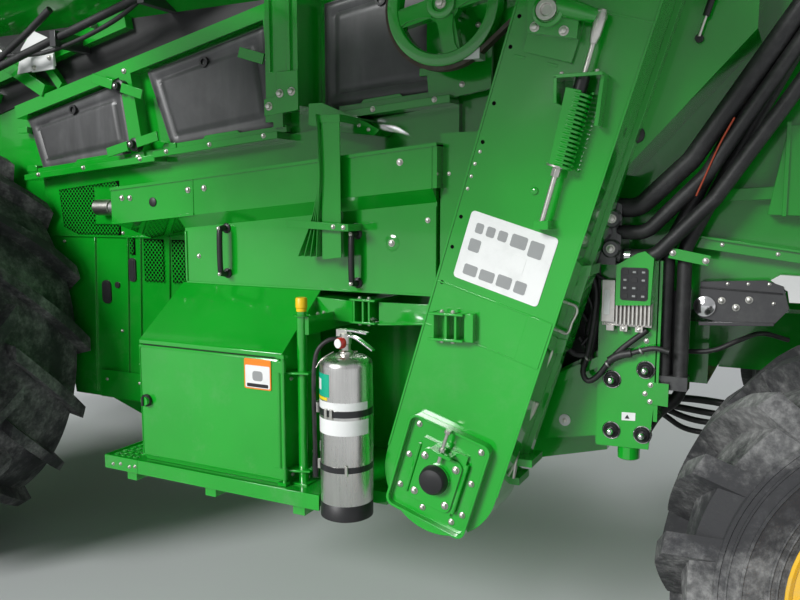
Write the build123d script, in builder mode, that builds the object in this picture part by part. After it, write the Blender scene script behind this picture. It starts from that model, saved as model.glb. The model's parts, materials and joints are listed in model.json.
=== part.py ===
import os
from math import atan2, cos, degrees, hypot, radians, sin, tan

from build123d import *

os.makedirs("parts", exist_ok=True)

# A large rotary combine harvester without its header. Lengths are in mm and angles in degrees.
# +X is to the rear, +Y to the right-hand side and +Z up. Places along the machine are measured
# back from the front axle, which lies at axle_x.
axle_x = -1592.0
wheelbase = 4440.0

# Body: a closed separator body on a narrower cleaning shoe
body_half = 1080.0
body_front = -520.0
body_rear = wheelbase - 190
body_floor = 1300.0
body_step = 2150.0
tank_floor = 2520.0
deck_level = 2700.0
shoe_half = body_half - 80
shoe_front = 900.0
shoe_rear = 3450.0
shoe_floor = 600.0
skirt_floor = 1090.0
skirt_rear = 3780.0

# Wheels: lug tips, carcass, rim and wheel centre planes, clear of the body's sides
front_radius = 1035.0
front_width = 840.0
front_rim_radius = 483.0
front_tyre_gap = 50.0
front_track_half = body_half + front_tyre_gap + front_width / 2
rear_radius = 710.0
rear_width = 500.0
rear_rim_radius = 355.0
rear_tyre_gap = 180.0
rear_track_half = body_half + rear_tyre_gap + rear_width / 2
lug_height = 62.0
lug_bar = 62.0
lug_slant = 43.0
front_lugs = 18
rear_lugs = 18
disc_thick = 24.0
rim_wall = 24.0
rim_flange = 25.0
running_gap = 0.5

# Grain tank, its covers and the engine deck
tank_half = 1450.0
tank_front = -480.0
tank_top = 3450.0
tank_wall = 40.0
cover_thick = 30.0
cover_gap = 6.0
deck_thick = 60.0
deck_rear = body_rear
rail_height = 900.0
rail_size = 34.0

# Cab
cab_front = -2300.0
cab_rear = -700.0
cab_half = 900.0
cab_floor = 2150.0
cab_top = 3550.0
cab_wall = 50.0
cab_bow = 170.0
roof_thick = 170.0
roof_over = 100.0
glass_thick = 10.0
door_front = -1590.0
door_rear = -795.0
door_low = 2190.0
door_high = 3500.0
door_gap = 6.0
door_frame = 70.0
cab_deck_front = -2350.0
cab_deck_left = 1750.0
cab_deck_right = 950.0
cab_deck_thick = 60.0

# Feeder house and its lift
feeder_pivot_x = -840.0
feeder_pivot_z = 1760.0
feeder_fall = 26.0
feeder_length = 1700.0
feeder_half = 700.0
feeder_depth = 330.0
feeder_end_radius = 290.0
pivot_radius = 40.0
pin_gap = 0.3
lift_foot_x = -260.0
lift_foot_z = 930.0
lift_eye_along = 1150.0
lift_eye_below = 400.0
lift_half_track = 600.0
barrel_radius = 60.0
barrel_length = 850.0
rod_radius = 35.0
rod_inset = 300.0
eye_radius = 62.0
eye_width = 70.0
lift_pin_radius = 30.0
ear_thick = 24.0

# Axles
front_beam = 300.0
front_beam_half = 700.0
final_drive_radius = 210.0
final_drive_out = front_track_half - 490
hub_radius = 120.0
rear_beam = 260.0
kingpin_half = rear_track_half - 340
kingpin_radius = 32.0
kingpin_housing = 65.0
kingpin_height = 350.0
spindle_radius = 60.0

# Left flank, measured outward from the body side
sheet_thick = 30.0
bin_out = 220.0
bin_front = 1765.0
bin_rear = 2905.0
bin_floor = 1375.0
ledge_out = 260.0
ledge_front = 1395.0
ledge_rear = 2922.0
ledge_low_front = 1611.0
ledge_rise = 5.24
ledge_height = 147.0
band_height = 48.0
elevator_thick = 200.0
elevator_inner = body_half + bin_out
elevator_outer = elevator_inner + elevator_thick
elevator_half = 205.0
elevator_foot_x = 3010.0
elevator_foot_z = 800.0
elevator_length = 1850.0
elevator_lean = 17.0
cross_auger_radius = 110.0

# Step platform, tool box and extinguisher
platform_front = 1580.0
platform_rear = 2790.0
platform_top = 690.0
platform_thick = 45.0
box_front = 1755.0
box_rear = 2420.0
box_depth = 250.0
box_back = body_half + bin_out
box_out = box_back + box_depth
platform_out = box_out + 50
box_height = 480.0
box_back_rise = 200.0
box_wall = 4.0
box_door_thick = 14.0
box_door_low = 18.0
box_door_high = 462.0
post_x = 2470.0
post_y = box_out - 50
post_radius = 18.0
post_height = 645.0
bottle_x = 2688.0
bottle_y = platform_out - 40
bottle_radius = 90.0
bottle_base = 632.0
bottle_height = 526.0

# Side shields, raised: they hinge on a tube along the edge of the tank and deck
shield_front = 1150.0
shield_rear = 3600.0
shield_out = 270.0
shield_thick = 40.0
shield_low = 1180.0
shield_drop = 40.0
shield_bulge = 90.0
shield_tube = 18.0
shield_bracket = 60.0

# Unloading auger
turret_x = -250.0
turret_out = tank_half + 240
auger_radius = 180.0
turret_low = deck_level + 20
turret_top = 3000.0
auger_level = 3235.0
auger_end = 5380.0
spout_drop = 360.0

# Rear hood, chopper and spreaders
hood_half = 850.0
hood_floor = 1560.0
hood_top = 2900.0
hood_rear = wheelbase + 1010
chopper_half = 820.0
chopper_front = wheelbase + 280
chopper_floor = 1100.0
chopper_rear = hood_rear + 200
spreader_x = hood_rear - 20
spreader_half = 385.0
spreader_radius = 330.0
spreader_drop = 90.0


def side(y):
    """Plane seen from the left: x runs back from the front axle, y up; extruding goes outward left."""
    return Plane(origin=(axle_x, y, 0), x_dir=(1, 0, 0), z_dir=(0, -1, 0))


def cross(x):
    """Plane across the machine at x behind the front axle: x runs right, y up; extruding goes back."""
    return Plane(origin=(axle_x + x, 0, 0), x_dir=(0, 1, 0), z_dir=(1, 0, 0))


def outline(plane, *points):
    with BuildSketch(plane) as drawn:
        with BuildLine():
            Polyline(*points, close=True)
        make_face()
    return drawn.sketch


def spot(x, y, z):
    return (axle_x + x, y, z)


def block(x_span, y_span, z_span, mode=Mode.ADD):
    """A box from low to high along each axis, in the open part."""
    middle = [(low + high) / 2 for low, high in (x_span, y_span, z_span)]
    with Locations(spot(*middle)):
        Box(*[high - low for low, high in (x_span, y_span, z_span)], mode=mode)


def bar_across(x, z, radius, y_from, y_to, mode=Mode.ADD):
    """A round bar along Y between two places, in the open part."""
    with Locations(Location(spot(x, (y_from + y_to) / 2, z), (90, 0, 0))):
        Cylinder(radius, abs(y_to - y_from), mode=mode)


def post(x, y, radius, z_from, z_to, mode=Mode.ADD):
    """An upright round bar, in the open part."""
    with Locations(spot(x, y, (z_from + z_to) / 2)):
        Cylinder(radius, z_to - z_from, mode=mode)


def save(built, name):
    built.part.label = name
    export_step(built.part, f"parts/{name}.step")


# Tyres and rims about their own centres, axle along Y
def tyre_shape(radius, width, rim_radius, lugs):
    carcass = radius - lug_height
    wall = carcass - rim_radius
    bead_half = 0.41 * width
    shoulder_half = 0.46 * width
    half = [
        (bead_half, rim_radius),
        (bead_half, rim_radius + rim_flange),
        (width / 2, rim_radius + 0.42 * wall),
        (width / 2, rim_radius + 0.62 * wall),
        (shoulder_half, carcass - 34),
        (0.25 * width, carcass - 6),
    ]
    section = half + [(-y, r) for y, r in reversed(half)]
    with BuildPart() as ring:
        with BuildSketch(Plane.YZ):
            with BuildLine():
                Polyline(*section, close=True)
            make_face()
        revolve(axis=Axis.Y)
    # A lug runs from the crown out and back over the shoulder, cut to the tyre's outer form
    reach = width / 2
    lean = tan(radians(lug_slant)) * reach
    low = carcass - 120
    with BuildPart() as lug:
        with BuildSketch(Plane.XY.offset(low)):
            with BuildLine():
                Polyline(
                    (-lean / 2 - lug_bar / 2, -18),
                    (-lean / 2 + lug_bar / 2, -18),
                    (lean / 2 + lug_bar / 2, reach),
                    (lean / 2 - lug_bar / 2, reach),
                    close=True,
                )
            make_face()
        extrude(amount=radius + 40 - low)
        with BuildSketch(Plane.YZ) as form:
            with BuildLine():
                Polyline(
                    (-40, rim_radius),
                    (width / 2, rim_radius),
                    (width / 2, radius - 165),
                    (0.485 * width, radius - 26),
                    (0.34 * width, radius - 4),
                    (0, radius),
                    (-40, radius),
                    close=True,
                )
            make_face()
        revolve(form.sketch, axis=Axis.Y, mode=Mode.INTERSECT)
    pitch = 360 / lugs
    opposite = mirror(lug.part, Plane.XZ)
    with BuildPart() as tyre:
        add(ring.part)
        add(
            [lug.part.rotate(Axis.Y, step * pitch + 180) for step in range(lugs)]
            + [opposite.rotate(Axis.Y, (step + 0.5) * pitch + 180) for step in range(lugs)]
        )
    return tyre.part


def rim_shape(width, rim_radius):
    """Rim with a flat centre on the wheel's middle plane and a web dished to its outer side, +Y."""
    bead_half = 0.41 * width
    well = rim_radius - rim_wall
    web_out = 0.22 * width
    with BuildPart() as rim:
        with BuildSketch(Plane.YZ):
            with BuildLine():
                Polyline(
                    (-bead_half - 14, well),
                    (bead_half + 14, well),
                    (bead_half + 14, rim_radius + rim_flange),
                    (bead_half + pin_gap, rim_radius + rim_flange),
                    (bead_half + pin_gap, rim_radius - pin_gap),
                    (-bead_half - pin_gap, rim_radius - pin_gap),
                    (-bead_half - pin_gap, rim_radius + rim_flange),
                    (-bead_half - 14, rim_radius + rim_flange),
                    close=True,
                )
            make_face()
            with BuildLine():
                Polyline(
                    (-disc_thick / 2, 0),
                    (-disc_thick / 2, hub_radius + 40),
                    (web_out - disc_thick / 2, well - 50),
                    (web_out - disc_thick / 2, well + 1),
                    (web_out + disc_thick / 2, well + 1),
                    (web_out + disc_thick / 2, well - 60),
                    (disc_thick / 2, hub_radius + 30),
                    (disc_thick / 2, 0),
                    close=True,
                )
            make_face()
        revolve(axis=Axis.Y)
        with Locations(Location((0, 0, 0), (90, 0, 0))):
            Cylinder(hub_radius, disc_thick + 120)
            Cylinder(hub_radius - 40, disc_thick + 120, mode=Mode.SUBTRACT)
            Cylinder(hub_radius, disc_thick)
    return rim.part


wheels = [  # name, x behind the front axle, track half, radius, width, rim radius, lugs
    ("front", 0.0, front_track_half, front_radius, front_width, front_rim_radius, front_lugs),
    ("rear", wheelbase, rear_track_half, rear_radius, rear_width, rear_rim_radius, rear_lugs),
]
for name, x, track_half, radius, width, rim_radius, lugs in wheels:
    tyre_form = tyre_shape(radius, width, rim_radius, lugs)
    rim_right = rim_shape(width, rim_radius)
    for hand, sign, rim_form in (("left", -1, mirror(rim_right, Plane.XZ)), ("right", 1, rim_right)):
        place = Location(spot(x, sign * track_half, radius))
        with BuildPart() as tyre:
            add(tyre_form.moved(place))
        save(tyre, f"{name}_tyre_{hand}")
        with BuildPart() as rim:
            add(rim_form.moved(place))
        save(rim, f"{name}_rim_{hand}")

# Chassis: saddles on the front axle, arms for the feeder pivot, rails to the rear axle's bracket
rail_inner = 500.0
rail_outer = 620.0
rail_low = 1080.0
arm_inner = feeder_half + 15
arm_outer = feeder_half + 90
arm_reach = 90.0
front_top = front_radius + front_beam / 2
rear_top = rear_radius + rear_beam / 2
with BuildPart() as chassis_frame:
    for sign in (-1, 1):
        inner, outer = sorted((sign * rail_inner, sign * rail_outer))
        block((-200, 200), (inner, outer), (front_top, body_floor))
        block((skirt_rear, wheelbase + 200), (inner, outer), (rail_low, body_floor))
        low, high = sorted((sign * arm_inner, sign * arm_outer))
        block(
            (feeder_pivot_x - arm_reach, body_front),
            (low, high),
            (feeder_pivot_z - arm_reach, feeder_pivot_z + arm_reach),
        )
        bar_across(feeder_pivot_x, feeder_pivot_z, pivot_radius + pin_gap, low, high, Mode.SUBTRACT)
    block((wheelbase - 120, wheelbase + 120), (-rail_outer, rail_outer), (rear_top, rail_low))
save(chassis_frame, "chassis_frame")

# Front axle: beam, final drives, hubs and the ears of the lift cylinders
disc_face = disc_thick / 2 + 60 + running_gap
with BuildPart() as front_axle:
    block(
        (-front_beam / 2, front_beam / 2),
        (-front_beam_half, front_beam_half),
        (front_radius - front_beam / 2, front_top),
    )
    for sign in (-1, 1):
        bar_across(0, front_radius, final_drive_radius, sign * front_beam_half, sign * final_drive_out)
        bar_across(0, front_radius, hub_radius, sign * final_drive_out, sign * (front_track_half - disc_face))
        for offset in (-1, 1):
            middle = sign * lift_half_track + offset * (eye_width / 2 + ear_thick / 2 + 2)
            block(
                (lift_foot_x - 45, -front_beam / 2),
                (middle - ear_thick / 2, middle + ear_thick / 2),
                (lift_foot_z - 45, lift_foot_z + 45),
            )
        reach = eye_width / 2 + ear_thick + 8
        bar_across(
            lift_foot_x,
            lift_foot_z,
            lift_pin_radius,
            sign * lift_half_track - reach,
            sign * lift_half_track + reach,
        )
save(front_axle, "front_axle")

# Rear axle: beam with an upper and a lower ear and the kingpin at each end
ear_low = rear_radius - kingpin_height / 2
ear_high = rear_radius + kingpin_height / 2
with BuildPart() as rear_axle:
    end = kingpin_half - kingpin_housing - 15
    block((wheelbase - 110, wheelbase + 110), (-end, end), (rear_radius - rear_beam / 2, rear_top))
    for sign in (-1, 1):
        low, high = sorted((sign * (end - 50), sign * end))
        block((wheelbase - 75, wheelbase + 75), (low, high), (ear_low - 40, ear_high + 40))
        low, high = sorted((sign * (end - 50), sign * kingpin_half))
        for ear_z in (ear_low - 40, ear_high):
            block((wheelbase - 75, wheelbase + 75), (low, high), (ear_z, ear_z + 40))
            post(wheelbase, sign * kingpin_half, 75, ear_z, ear_z + 40)
        post(wheelbase, sign * kingpin_half, kingpin_radius, ear_low, ear_high)
save(rear_axle, "rear_axle")

for hand, sign in (("left", -1), ("right", 1)):
    with BuildPart() as knuckle:
        post(wheelbase, sign * kingpin_half, kingpin_housing, ear_low + running_gap, ear_high - running_gap)
        bar_across(
            wheelbase,
            rear_radius,
            spindle_radius,
            sign * kingpin_half,
            sign * (rear_track_half - disc_face),
        )
        bar_across(
            wheelbase,
            rear_radius,
            hub_radius,
            sign * (rear_track_half - disc_face - 60),
            sign * (rear_track_half - disc_face),
        )
        post(
            wheelbase,
            sign * kingpin_half,
            kingpin_radius + pin_gap,
            ear_low - 1,
            ear_high + 1,
            Mode.SUBTRACT,
        )
    save(knuckle, f"knuckle_{hand}")

# Separator body and cleaning shoe
with BuildPart() as separator_body:
    extrude(
        outline(
            side(body_half),
            (body_front, body_floor),
            (body_front, tank_floor),
            (body_step, tank_floor),
            (body_step, deck_level),
            (body_rear, deck_level),
            (body_rear, hood_floor),
            (shoe_rear + 150, body_floor),
        ),
        amount=2 * body_half,
    )
save(separator_body, "separator_body")

with BuildPart() as cleaning_shoe:
    extrude(
        outline(
            side(shoe_half),
            (shoe_front, body_floor),
            (shoe_front, shoe_floor + 160),
            (shoe_front + 500, shoe_floor),
            (shoe_rear - 800, shoe_floor),
            (shoe_rear, shoe_floor + 213),
            (shoe_rear, skirt_floor),
            (skirt_rear, skirt_floor),
            (skirt_rear, body_floor),
        ),
        amount=2 * shoe_half,
    )
save(cleaning_shoe, "cleaning_shoe")

# Black covers along the rotor, three a side: corners low front, low rear, top rear, top front
rotor_cover_corners = [
    ((706, 1850), (1309, 1905), (1250, 2250), (610, 2108)),
    ((1530, 1940), (2100, 1996), (2046, 2415), (1400, 2278)),
    ((2330, 2070), (2846, 2100), (2846, 2560), (2330, 2470)),
]
cover_plate = 24.0
with BuildPart() as rotor_covers:
    for corners in rotor_cover_corners:
        extrude(outline(side(-body_half), *corners), amount=cover_plate)
    mirror(about=Plane.XZ)
save(rotor_covers, "rotor_covers")


def ledge_low(x):
    """Height of the ledge box's lower edge, which rises to the rear."""
    return ledge_low_front + (x - ledge_front) * tan(radians(ledge_rise))


# Flank sheets: a flat sheet on the body side, and a bin and a ledge box standing out from it
with BuildPart() as flank_panels:
    extrude(
        outline(
            side(-body_half),
            (860, 770),
            (bin_front + 100, 770),
            (bin_front + 100, bin_floor),
            (bin_rear, bin_floor),
            (bin_rear, 2060),
            (706, 1810),
            (720, 1540),
        ),
        amount=sheet_thick,
    )
    extrude(
        outline(
            side(-body_half - sheet_thick),
            (bin_front, bin_floor),
            (bin_rear, bin_floor),
            (bin_rear, ledge_low(bin_rear)),
            (bin_front, ledge_low(bin_front)),
        ),
        amount=bin_out - sheet_thick,
    )
    # Ledge box above the bin, standing out further, with a slanted band down to the bin's face
    extrude(
        outline(
            side(-body_half - sheet_thick),
            (ledge_front, ledge_low(ledge_front)),
            (ledge_rear, ledge_low(ledge_rear)),
            (ledge_rear, ledge_low(ledge_rear) + ledge_height),
            (ledge_front, ledge_low(ledge_front) + ledge_height),
        ),
        amount=ledge_out - sheet_thick,
    )
    band_ends = [
        outline(
            cross(x),
            (-body_half - bin_out + 1, ledge_low(x) - band_height),
            (-body_half - ledge_out, ledge_low(x)),
            (-body_half - bin_out + 1, ledge_low(x) + 1),
        ).face()
        for x in (bin_front, bin_rear)
    ]
    loft(band_ends)
    # Closing panel between the bin and the elevator
    block(
        (bin_rear + 8, bin_rear + 155),
        (-body_half - bin_out + 10, -body_half - sheet_thick),
        (bin_floor, ledge_low(bin_rear) + 190),
    )
    # Sheet behind the return elevator, cut off on a diagonal
    extrude(
        outline(
            side(-body_half),
            (3330, 1730),
            (3530, 1790),
            (3900, 2193),
            (3900, 2640),
            (3640, 2640),
        ),
        amount=bin_out,
    )
    mirror(about=Plane.XZ)
save(flank_panels, "flank_panels")

# Upright channel, sloping rail and slanted posts between the covers
column_foot = 2070.0
with BuildPart() as flank_rails:
    block((body_step, body_step + 150), (-body_half - 170, -body_half), (column_foot, deck_level - 20))
    for corners in (
        ((560, 2170), (2150, 2510), (2150, 2450), (570, 2110)),
        ((1325, 1890), (1400, 1896), (1330, 2290), (1262, 2275)),
        ((2106, 2000), (2150, 2004), (2150, 2440), (2060, 2440)),
    ):
        extrude(outline(side(-body_half - pin_gap), *corners), amount=60)
    mirror(about=Plane.XZ)
save(flank_rails, "flank_rails")

# Elevators: leaning casing with a round boot, a cross auger tube from the shoe and a head chute
lean = radians(elevator_lean)
top_x = elevator_foot_x + elevator_length * sin(lean)
top_z = elevator_foot_z + elevator_length * cos(lean)
across = (elevator_half * cos(lean), -elevator_half * sin(lean))
bearing_plates = [  # half width, lowest and highest along the casing from the shaft, thickness
    (138, -150, 168, 12),
    (82, -105, 115, 26),
]


def boot_spot(wide, up):
    """Place on the casing's face, measured across and along it from the boot's shaft."""
    return (
        elevator_foot_x + wide * cos(lean) + up * sin(lean),
        elevator_foot_z - wide * sin(lean) + up * cos(lean),
    )


with BuildPart() as elevators:
    extrude(
        outline(
            side(-elevator_inner),
            (elevator_foot_x - across[0], elevator_foot_z - across[1]),
            (elevator_foot_x + across[0], elevator_foot_z + across[1]),
            (top_x + across[0], top_z + across[1]),
            (top_x - across[0], top_z - across[1]),
        ),
        amount=elevator_outer - elevator_inner,
    )
    bar_across(elevator_foot_x, elevator_foot_z, elevator_half, -elevator_inner, -elevator_outer)
    bar_across(elevator_foot_x, elevator_foot_z, cross_auger_radius, -shoe_half, -elevator_inner)
    bar_across(elevator_foot_x, elevator_foot_z, 52, -elevator_outer, -elevator_outer - 44)
    for half_wide, low, high, thick in bearing_plates:
        extrude(
            outline(
                side(-elevator_outer),
                boot_spot(-half_wide, low),
                boot_spot(half_wide, low),
                boot_spot(half_wide, high),
                boot_spot(-half_wide, high),
            ),
            amount=thick,
        )
    chute = (deck_level - 371, deck_level - 231)
    block((top_x - 150, top_x - 25), (-elevator_inner, -body_half), chute)
    mirror(about=Plane.XZ)
save(elevators, "elevators")

# Grain tank, open at the top, on the body
tank_section = (
    (-body_half, tank_floor),
    (body_half, tank_floor),
    (tank_half, deck_level),
    (tank_half, tank_top),
    (-tank_half, tank_top),
    (-tank_half, deck_level),
)
tank_hollow = (
    (-body_half + tank_wall, tank_floor + tank_wall),
    (body_half - tank_wall, tank_floor + tank_wall),
    (tank_half - tank_wall, deck_level + tank_wall),
    (tank_half - tank_wall, tank_top),
    (-tank_half + tank_wall, tank_top),
    (-tank_half + tank_wall, deck_level + tank_wall),
)
cover_hinge_z = tank_top + cover_gap + cover_thick / 2
cover_pin_radius = 7.0
cover_pin_reach = 60.0
lug_thick = 18.0
cover_ends = (tank_front + cover_gap, body_step - cover_gap)
with BuildPart() as grain_tank:
    extrude(outline(cross(tank_front), *tank_section), amount=body_step - tank_front)
    extrude(
        outline(cross(tank_front + tank_wall), *tank_hollow),
        amount=body_step - tank_front - 2 * tank_wall,
        mode=Mode.SUBTRACT,
    )
    # Lugs at the corners with the pins of the covers
    for sign in (-1, 1):
        for x_span, pin_span in (
            ((tank_front - lug_thick, tank_front), (tank_front - lug_thick, tank_front + cover_pin_reach)),
            ((body_step, body_step + lug_thick), (body_step - cover_pin_reach, body_step + lug_thick)),
        ):
            block(x_span, (sign * tank_half - 14, sign * tank_half + 14), (tank_top - 90, cover_hinge_z + 14))
            with Locations(Location(spot(sum(pin_span) / 2, sign * tank_half, cover_hinge_z), (0, 90, 0))):
                Cylinder(cover_pin_radius, pin_span[1] - pin_span[0])
save(grain_tank, "grain_tank")

for hand, sign in (("left", -1), ("right", 1)):
    with BuildPart() as cover:
        low, high = sorted((sign * tank_half, sign * cover_gap / 2))
        block(cover_ends, (low, high), (tank_top + cover_gap, tank_top + cover_gap + cover_thick))
        with Locations(Location(spot(sum(cover_ends) / 2, sign * tank_half, cover_hinge_z), (0, 90, 0))):
            Cylinder(cover_thick / 2, cover_ends[1] - cover_ends[0])
            Cylinder(cover_pin_radius + pin_gap, body_step - tank_front, mode=Mode.SUBTRACT)
    save(cover, f"tank_cover_{hand}")

# Engine deck with guard rails, brackets of the shield hinge and the auger's rest
hinge_y = tank_half + shield_out
hinge_z = deck_level + shield_bracket / 2
rest_top = auger_level - auger_radius - 6
rail_start = body_step + 850
rest_front = deck_rear - 350
with BuildPart() as engine_deck:
    block((body_step, deck_rear), (-tank_half, tank_half), (deck_level, deck_level + deck_thick))
    floor = deck_level + deck_thick
    for sign in (-1, 1):
        edge = sign * (tank_half - rail_size / 2)
        low, high = edge - rail_size / 2, edge + rail_size / 2
        for x in (rail_start, (rail_start + deck_rear) / 2, deck_rear - rail_size):
            block((x, x + rail_size), (low, high), (floor, floor + rail_height))
        for z in (floor + rail_height / 2, floor + rail_height - rail_size):
            block((rail_start, deck_rear), (low, high), (z, z + rail_size))
    for z in (floor + rail_height / 2, floor + rail_height - rail_size):
        block((deck_rear - rail_size, deck_rear), (-tank_half, tank_half), (z, z + rail_size))
    block((rest_front, rest_front + 80), (-turret_out - 60, -tank_half + 40), (floor, floor + 40))
    block((rest_front, rest_front + 80), (-turret_out - 60, -turret_out + 60), (floor, rest_top))
save(engine_deck, "engine_deck")

shield_tabs = (shield_front + 120, shield_rear - 260)
tab_width = 140.0
hinge_pin_radius = 10.0
with BuildPart() as shield_hinges:
    for sign in (-1, 1):
        low, high = sorted((sign * tank_half, sign * (hinge_y + shield_tube)))
        for x in shield_tabs:
            block((x - 2 - shield_bracket, x - 2), (low, high), (deck_level, deck_level + shield_bracket))
            with Locations(Location(spot(x + tab_width / 2, sign * hinge_y, hinge_z), (0, 90, 0))):
                Cylinder(hinge_pin_radius, tab_width + 10)
save(shield_hinges, "shield_hinges")

# Side shields, raised level: panels that hang down over the flank when closed
for hand, sign in (("left", -1), ("right", 1)):
    with BuildPart() as side_shield:
        root = hinge_y + shield_drop
        tip = hinge_y + hinge_z - shield_low
        half = shield_thick / 2
        with BuildSketch(cross(shield_front)):
            with BuildLine():
                under = ThreePointArc(
                    (sign * root, hinge_z - half),
                    (sign * (root + tip) / 2, hinge_z - half + shield_bulge),
                    (sign * tip, hinge_z - half),
                )
                over = ThreePointArc(
                    (sign * root, hinge_z + half),
                    (sign * (root + tip) / 2, hinge_z + half + shield_bulge),
                    (sign * tip, hinge_z + half),
                )
                Line(under @ 0, over @ 0)
                Line(under @ 1, over @ 1)
            make_face()
        extrude(amount=shield_rear - shield_front)
        for x in shield_tabs:
            low, high = sorted((sign * hinge_y, sign * root))
            block((x, x + tab_width), (low, high), (hinge_z - shield_tube, hinge_z + shield_tube))
            with Locations(Location(spot(x + tab_width / 2, sign * hinge_y, hinge_z), (0, 90, 0))):
                Cylinder(shield_tube, tab_width)
                Cylinder(hinge_pin_radius + pin_gap, tab_width + 2, mode=Mode.SUBTRACT)
    save(side_shield, f"side_shield_{hand}")

# Engine, cooling housing and exhaust on the deck
deck_top = deck_level + deck_thick
with BuildPart() as engine_block:
    block((body_step + 200, deck_rear - 750), (-450, 650), (deck_top, deck_top + 660))
save(engine_block, "engine_block")

screen_radius = 330.0
housing_out = tank_half - 70
with BuildPart() as cooling_housing:
    block((body_step + 110, body_step + 810), (800, housing_out), (deck_top, deck_top + 760))
    bar_across(body_step + 460, deck_top + 380, screen_radius, housing_out, housing_out + 45)
save(cooling_housing, "cooling_housing")

stack_x = deck_rear - 550
stack_y = -620.0
stack_radius = 75.0
stack_top = deck_top + 1020
with BuildPart() as exhaust_stack:
    post(stack_x, stack_y, stack_radius, deck_top, stack_top)
    post(stack_x, stack_y, stack_radius + 35, deck_top + 160, deck_top + 620)
    post(stack_x, stack_y, stack_radius - 11, stack_top - 160, stack_top + 1, Mode.SUBTRACT)
save(exhaust_stack, "exhaust_stack")

with BuildPart() as fuel_tank:
    block((deck_rear - 630, deck_rear - 70), (100, tank_half - 150), (deck_top, deck_top + 540))
save(fuel_tank, "fuel_tank")

# Auger turret, fixed to the tank, and the swinging unloading auger
with BuildPart() as auger_turret:
    post(turret_x, -turret_out, auger_radius, turret_low, turret_top)
    block((turret_x - 140, turret_x + 140), (-turret_out, -tank_half), (turret_low + 10, turret_top - 60))
save(auger_turret, "auger_turret")

with BuildPart() as unloading_auger:
    post(turret_x, -turret_out, auger_radius, turret_top + running_gap, auger_level)
    with Locations(spot(turret_x, -turret_out, auger_level)):
        Sphere(auger_radius)
    with Locations(Location(spot((turret_x + auger_end) / 2, -turret_out, auger_level), (0, 90, 0))):
        Cylinder(auger_radius, auger_end - turret_x)
    block(
        (auger_end - 420, auger_end - 60),
        (-turret_out - 150, -turret_out + 150),
        (auger_level - spout_drop, auger_level),
    )
save(unloading_auger, "unloading_auger")

# Cab: floor, corner posts and window openings in a hollow shell with a bowed front
inner_x = (cab_front + cab_wall, cab_rear - cab_wall)
inner_y = (-cab_half + cab_wall, cab_half - cab_wall)
front_window = ((-780, 780), (2290, 3480))
right_window = ((-2120, -830), (2420, 3480))
quarter_window = ((-2120, door_front - 80), (2420, 3480))
rear_window = ((-600, 600), (2800, 3400))
bow_x = (cab_front - 10, cab_front + cab_bow + cab_wall)
door_hinge_x = door_rear
door_hinge_y = -cab_half - 16
door_pin_radius = 6.0
door_knuckle = 80.0
door_knuckles = (2420.0, 3260.0)


def cab_plan(inset, level):
    """Plan of the cab set in from its outer face, on a level plane."""
    front, rear, half = cab_front + inset, cab_rear - inset, cab_half - inset
    with BuildSketch(Plane(origin=(axle_x, 0, level))) as plan:
        with BuildLine():
            Polyline((front + cab_bow, half), (rear, half), (rear, -half), (front + cab_bow, -half))
            ThreePointArc((front + cab_bow, -half), (front, 0), (front + cab_bow, half))
        make_face()
    return plan.sketch


with BuildPart() as cab_shell:
    extrude(cab_plan(0, cab_floor), amount=cab_top - cab_floor)
    extrude(cab_plan(cab_wall, cab_floor + cab_wall / 2), amount=cab_top - cab_floor, mode=Mode.SUBTRACT)
    block(bow_x, *front_window, Mode.SUBTRACT)
    block((inner_x[1] - 1, cab_rear + 1), *rear_window, Mode.SUBTRACT)
    block(right_window[0], (inner_y[1] - 1, cab_half + 1), right_window[1], Mode.SUBTRACT)
    block(quarter_window[0], (-cab_half - 1, inner_y[0] + 1), quarter_window[1], Mode.SUBTRACT)
    doorway = (door_low - door_gap, door_high + door_gap)
    block((door_front, door_rear), (-cab_half - 1, inner_y[0] + 1), doorway, Mode.SUBTRACT)
    # Door hinge lugs above and below each knuckle, with the pin through both
    for low in door_knuckles:
        for z in (low - 27, low + door_knuckle + 1):
            block((door_hinge_x + 2, door_hinge_x + 60), (door_hinge_y - 9, -cab_half), (z, z + 26))
        post(door_hinge_x, door_hinge_y, door_pin_radius, low - 27, low + door_knuckle + 27)
save(cab_shell, "cab_shell")

pane_in = (cab_wall - glass_thick) / 2
with BuildPart() as cab_glass:
    extrude(cab_plan(pane_in, front_window[1][0]), amount=front_window[1][1] - front_window[1][0])
    extrude(
        cab_plan(pane_in + glass_thick, front_window[1][0]),
        amount=front_window[1][1] - front_window[1][0],
        mode=Mode.SUBTRACT,
    )
    block(bow_x, *front_window, Mode.INTERSECT)
    block((cab_rear - pane_in - glass_thick, cab_rear - pane_in), *rear_window)
    block(right_window[0], (cab_half - pane_in - glass_thick, cab_half - pane_in), right_window[1])
    block(quarter_window[0], (-cab_half + pane_in, -cab_half + pane_in + glass_thick), quarter_window[1])
save(cab_glass, "cab_glass")

with BuildPart() as cab_roof:
    block(
        (cab_front - roof_over, cab_rear + roof_over),
        (-cab_half - roof_over, cab_half + roof_over),
        (cab_top, cab_top + roof_thick),
    )
    fillet(cab_roof.edges().filter_by(Axis.Z), 120)
    fillet(cab_roof.faces().sort_by(Axis.Z)[-1].edges(), 60)
save(cab_roof, "cab_roof")

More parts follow.
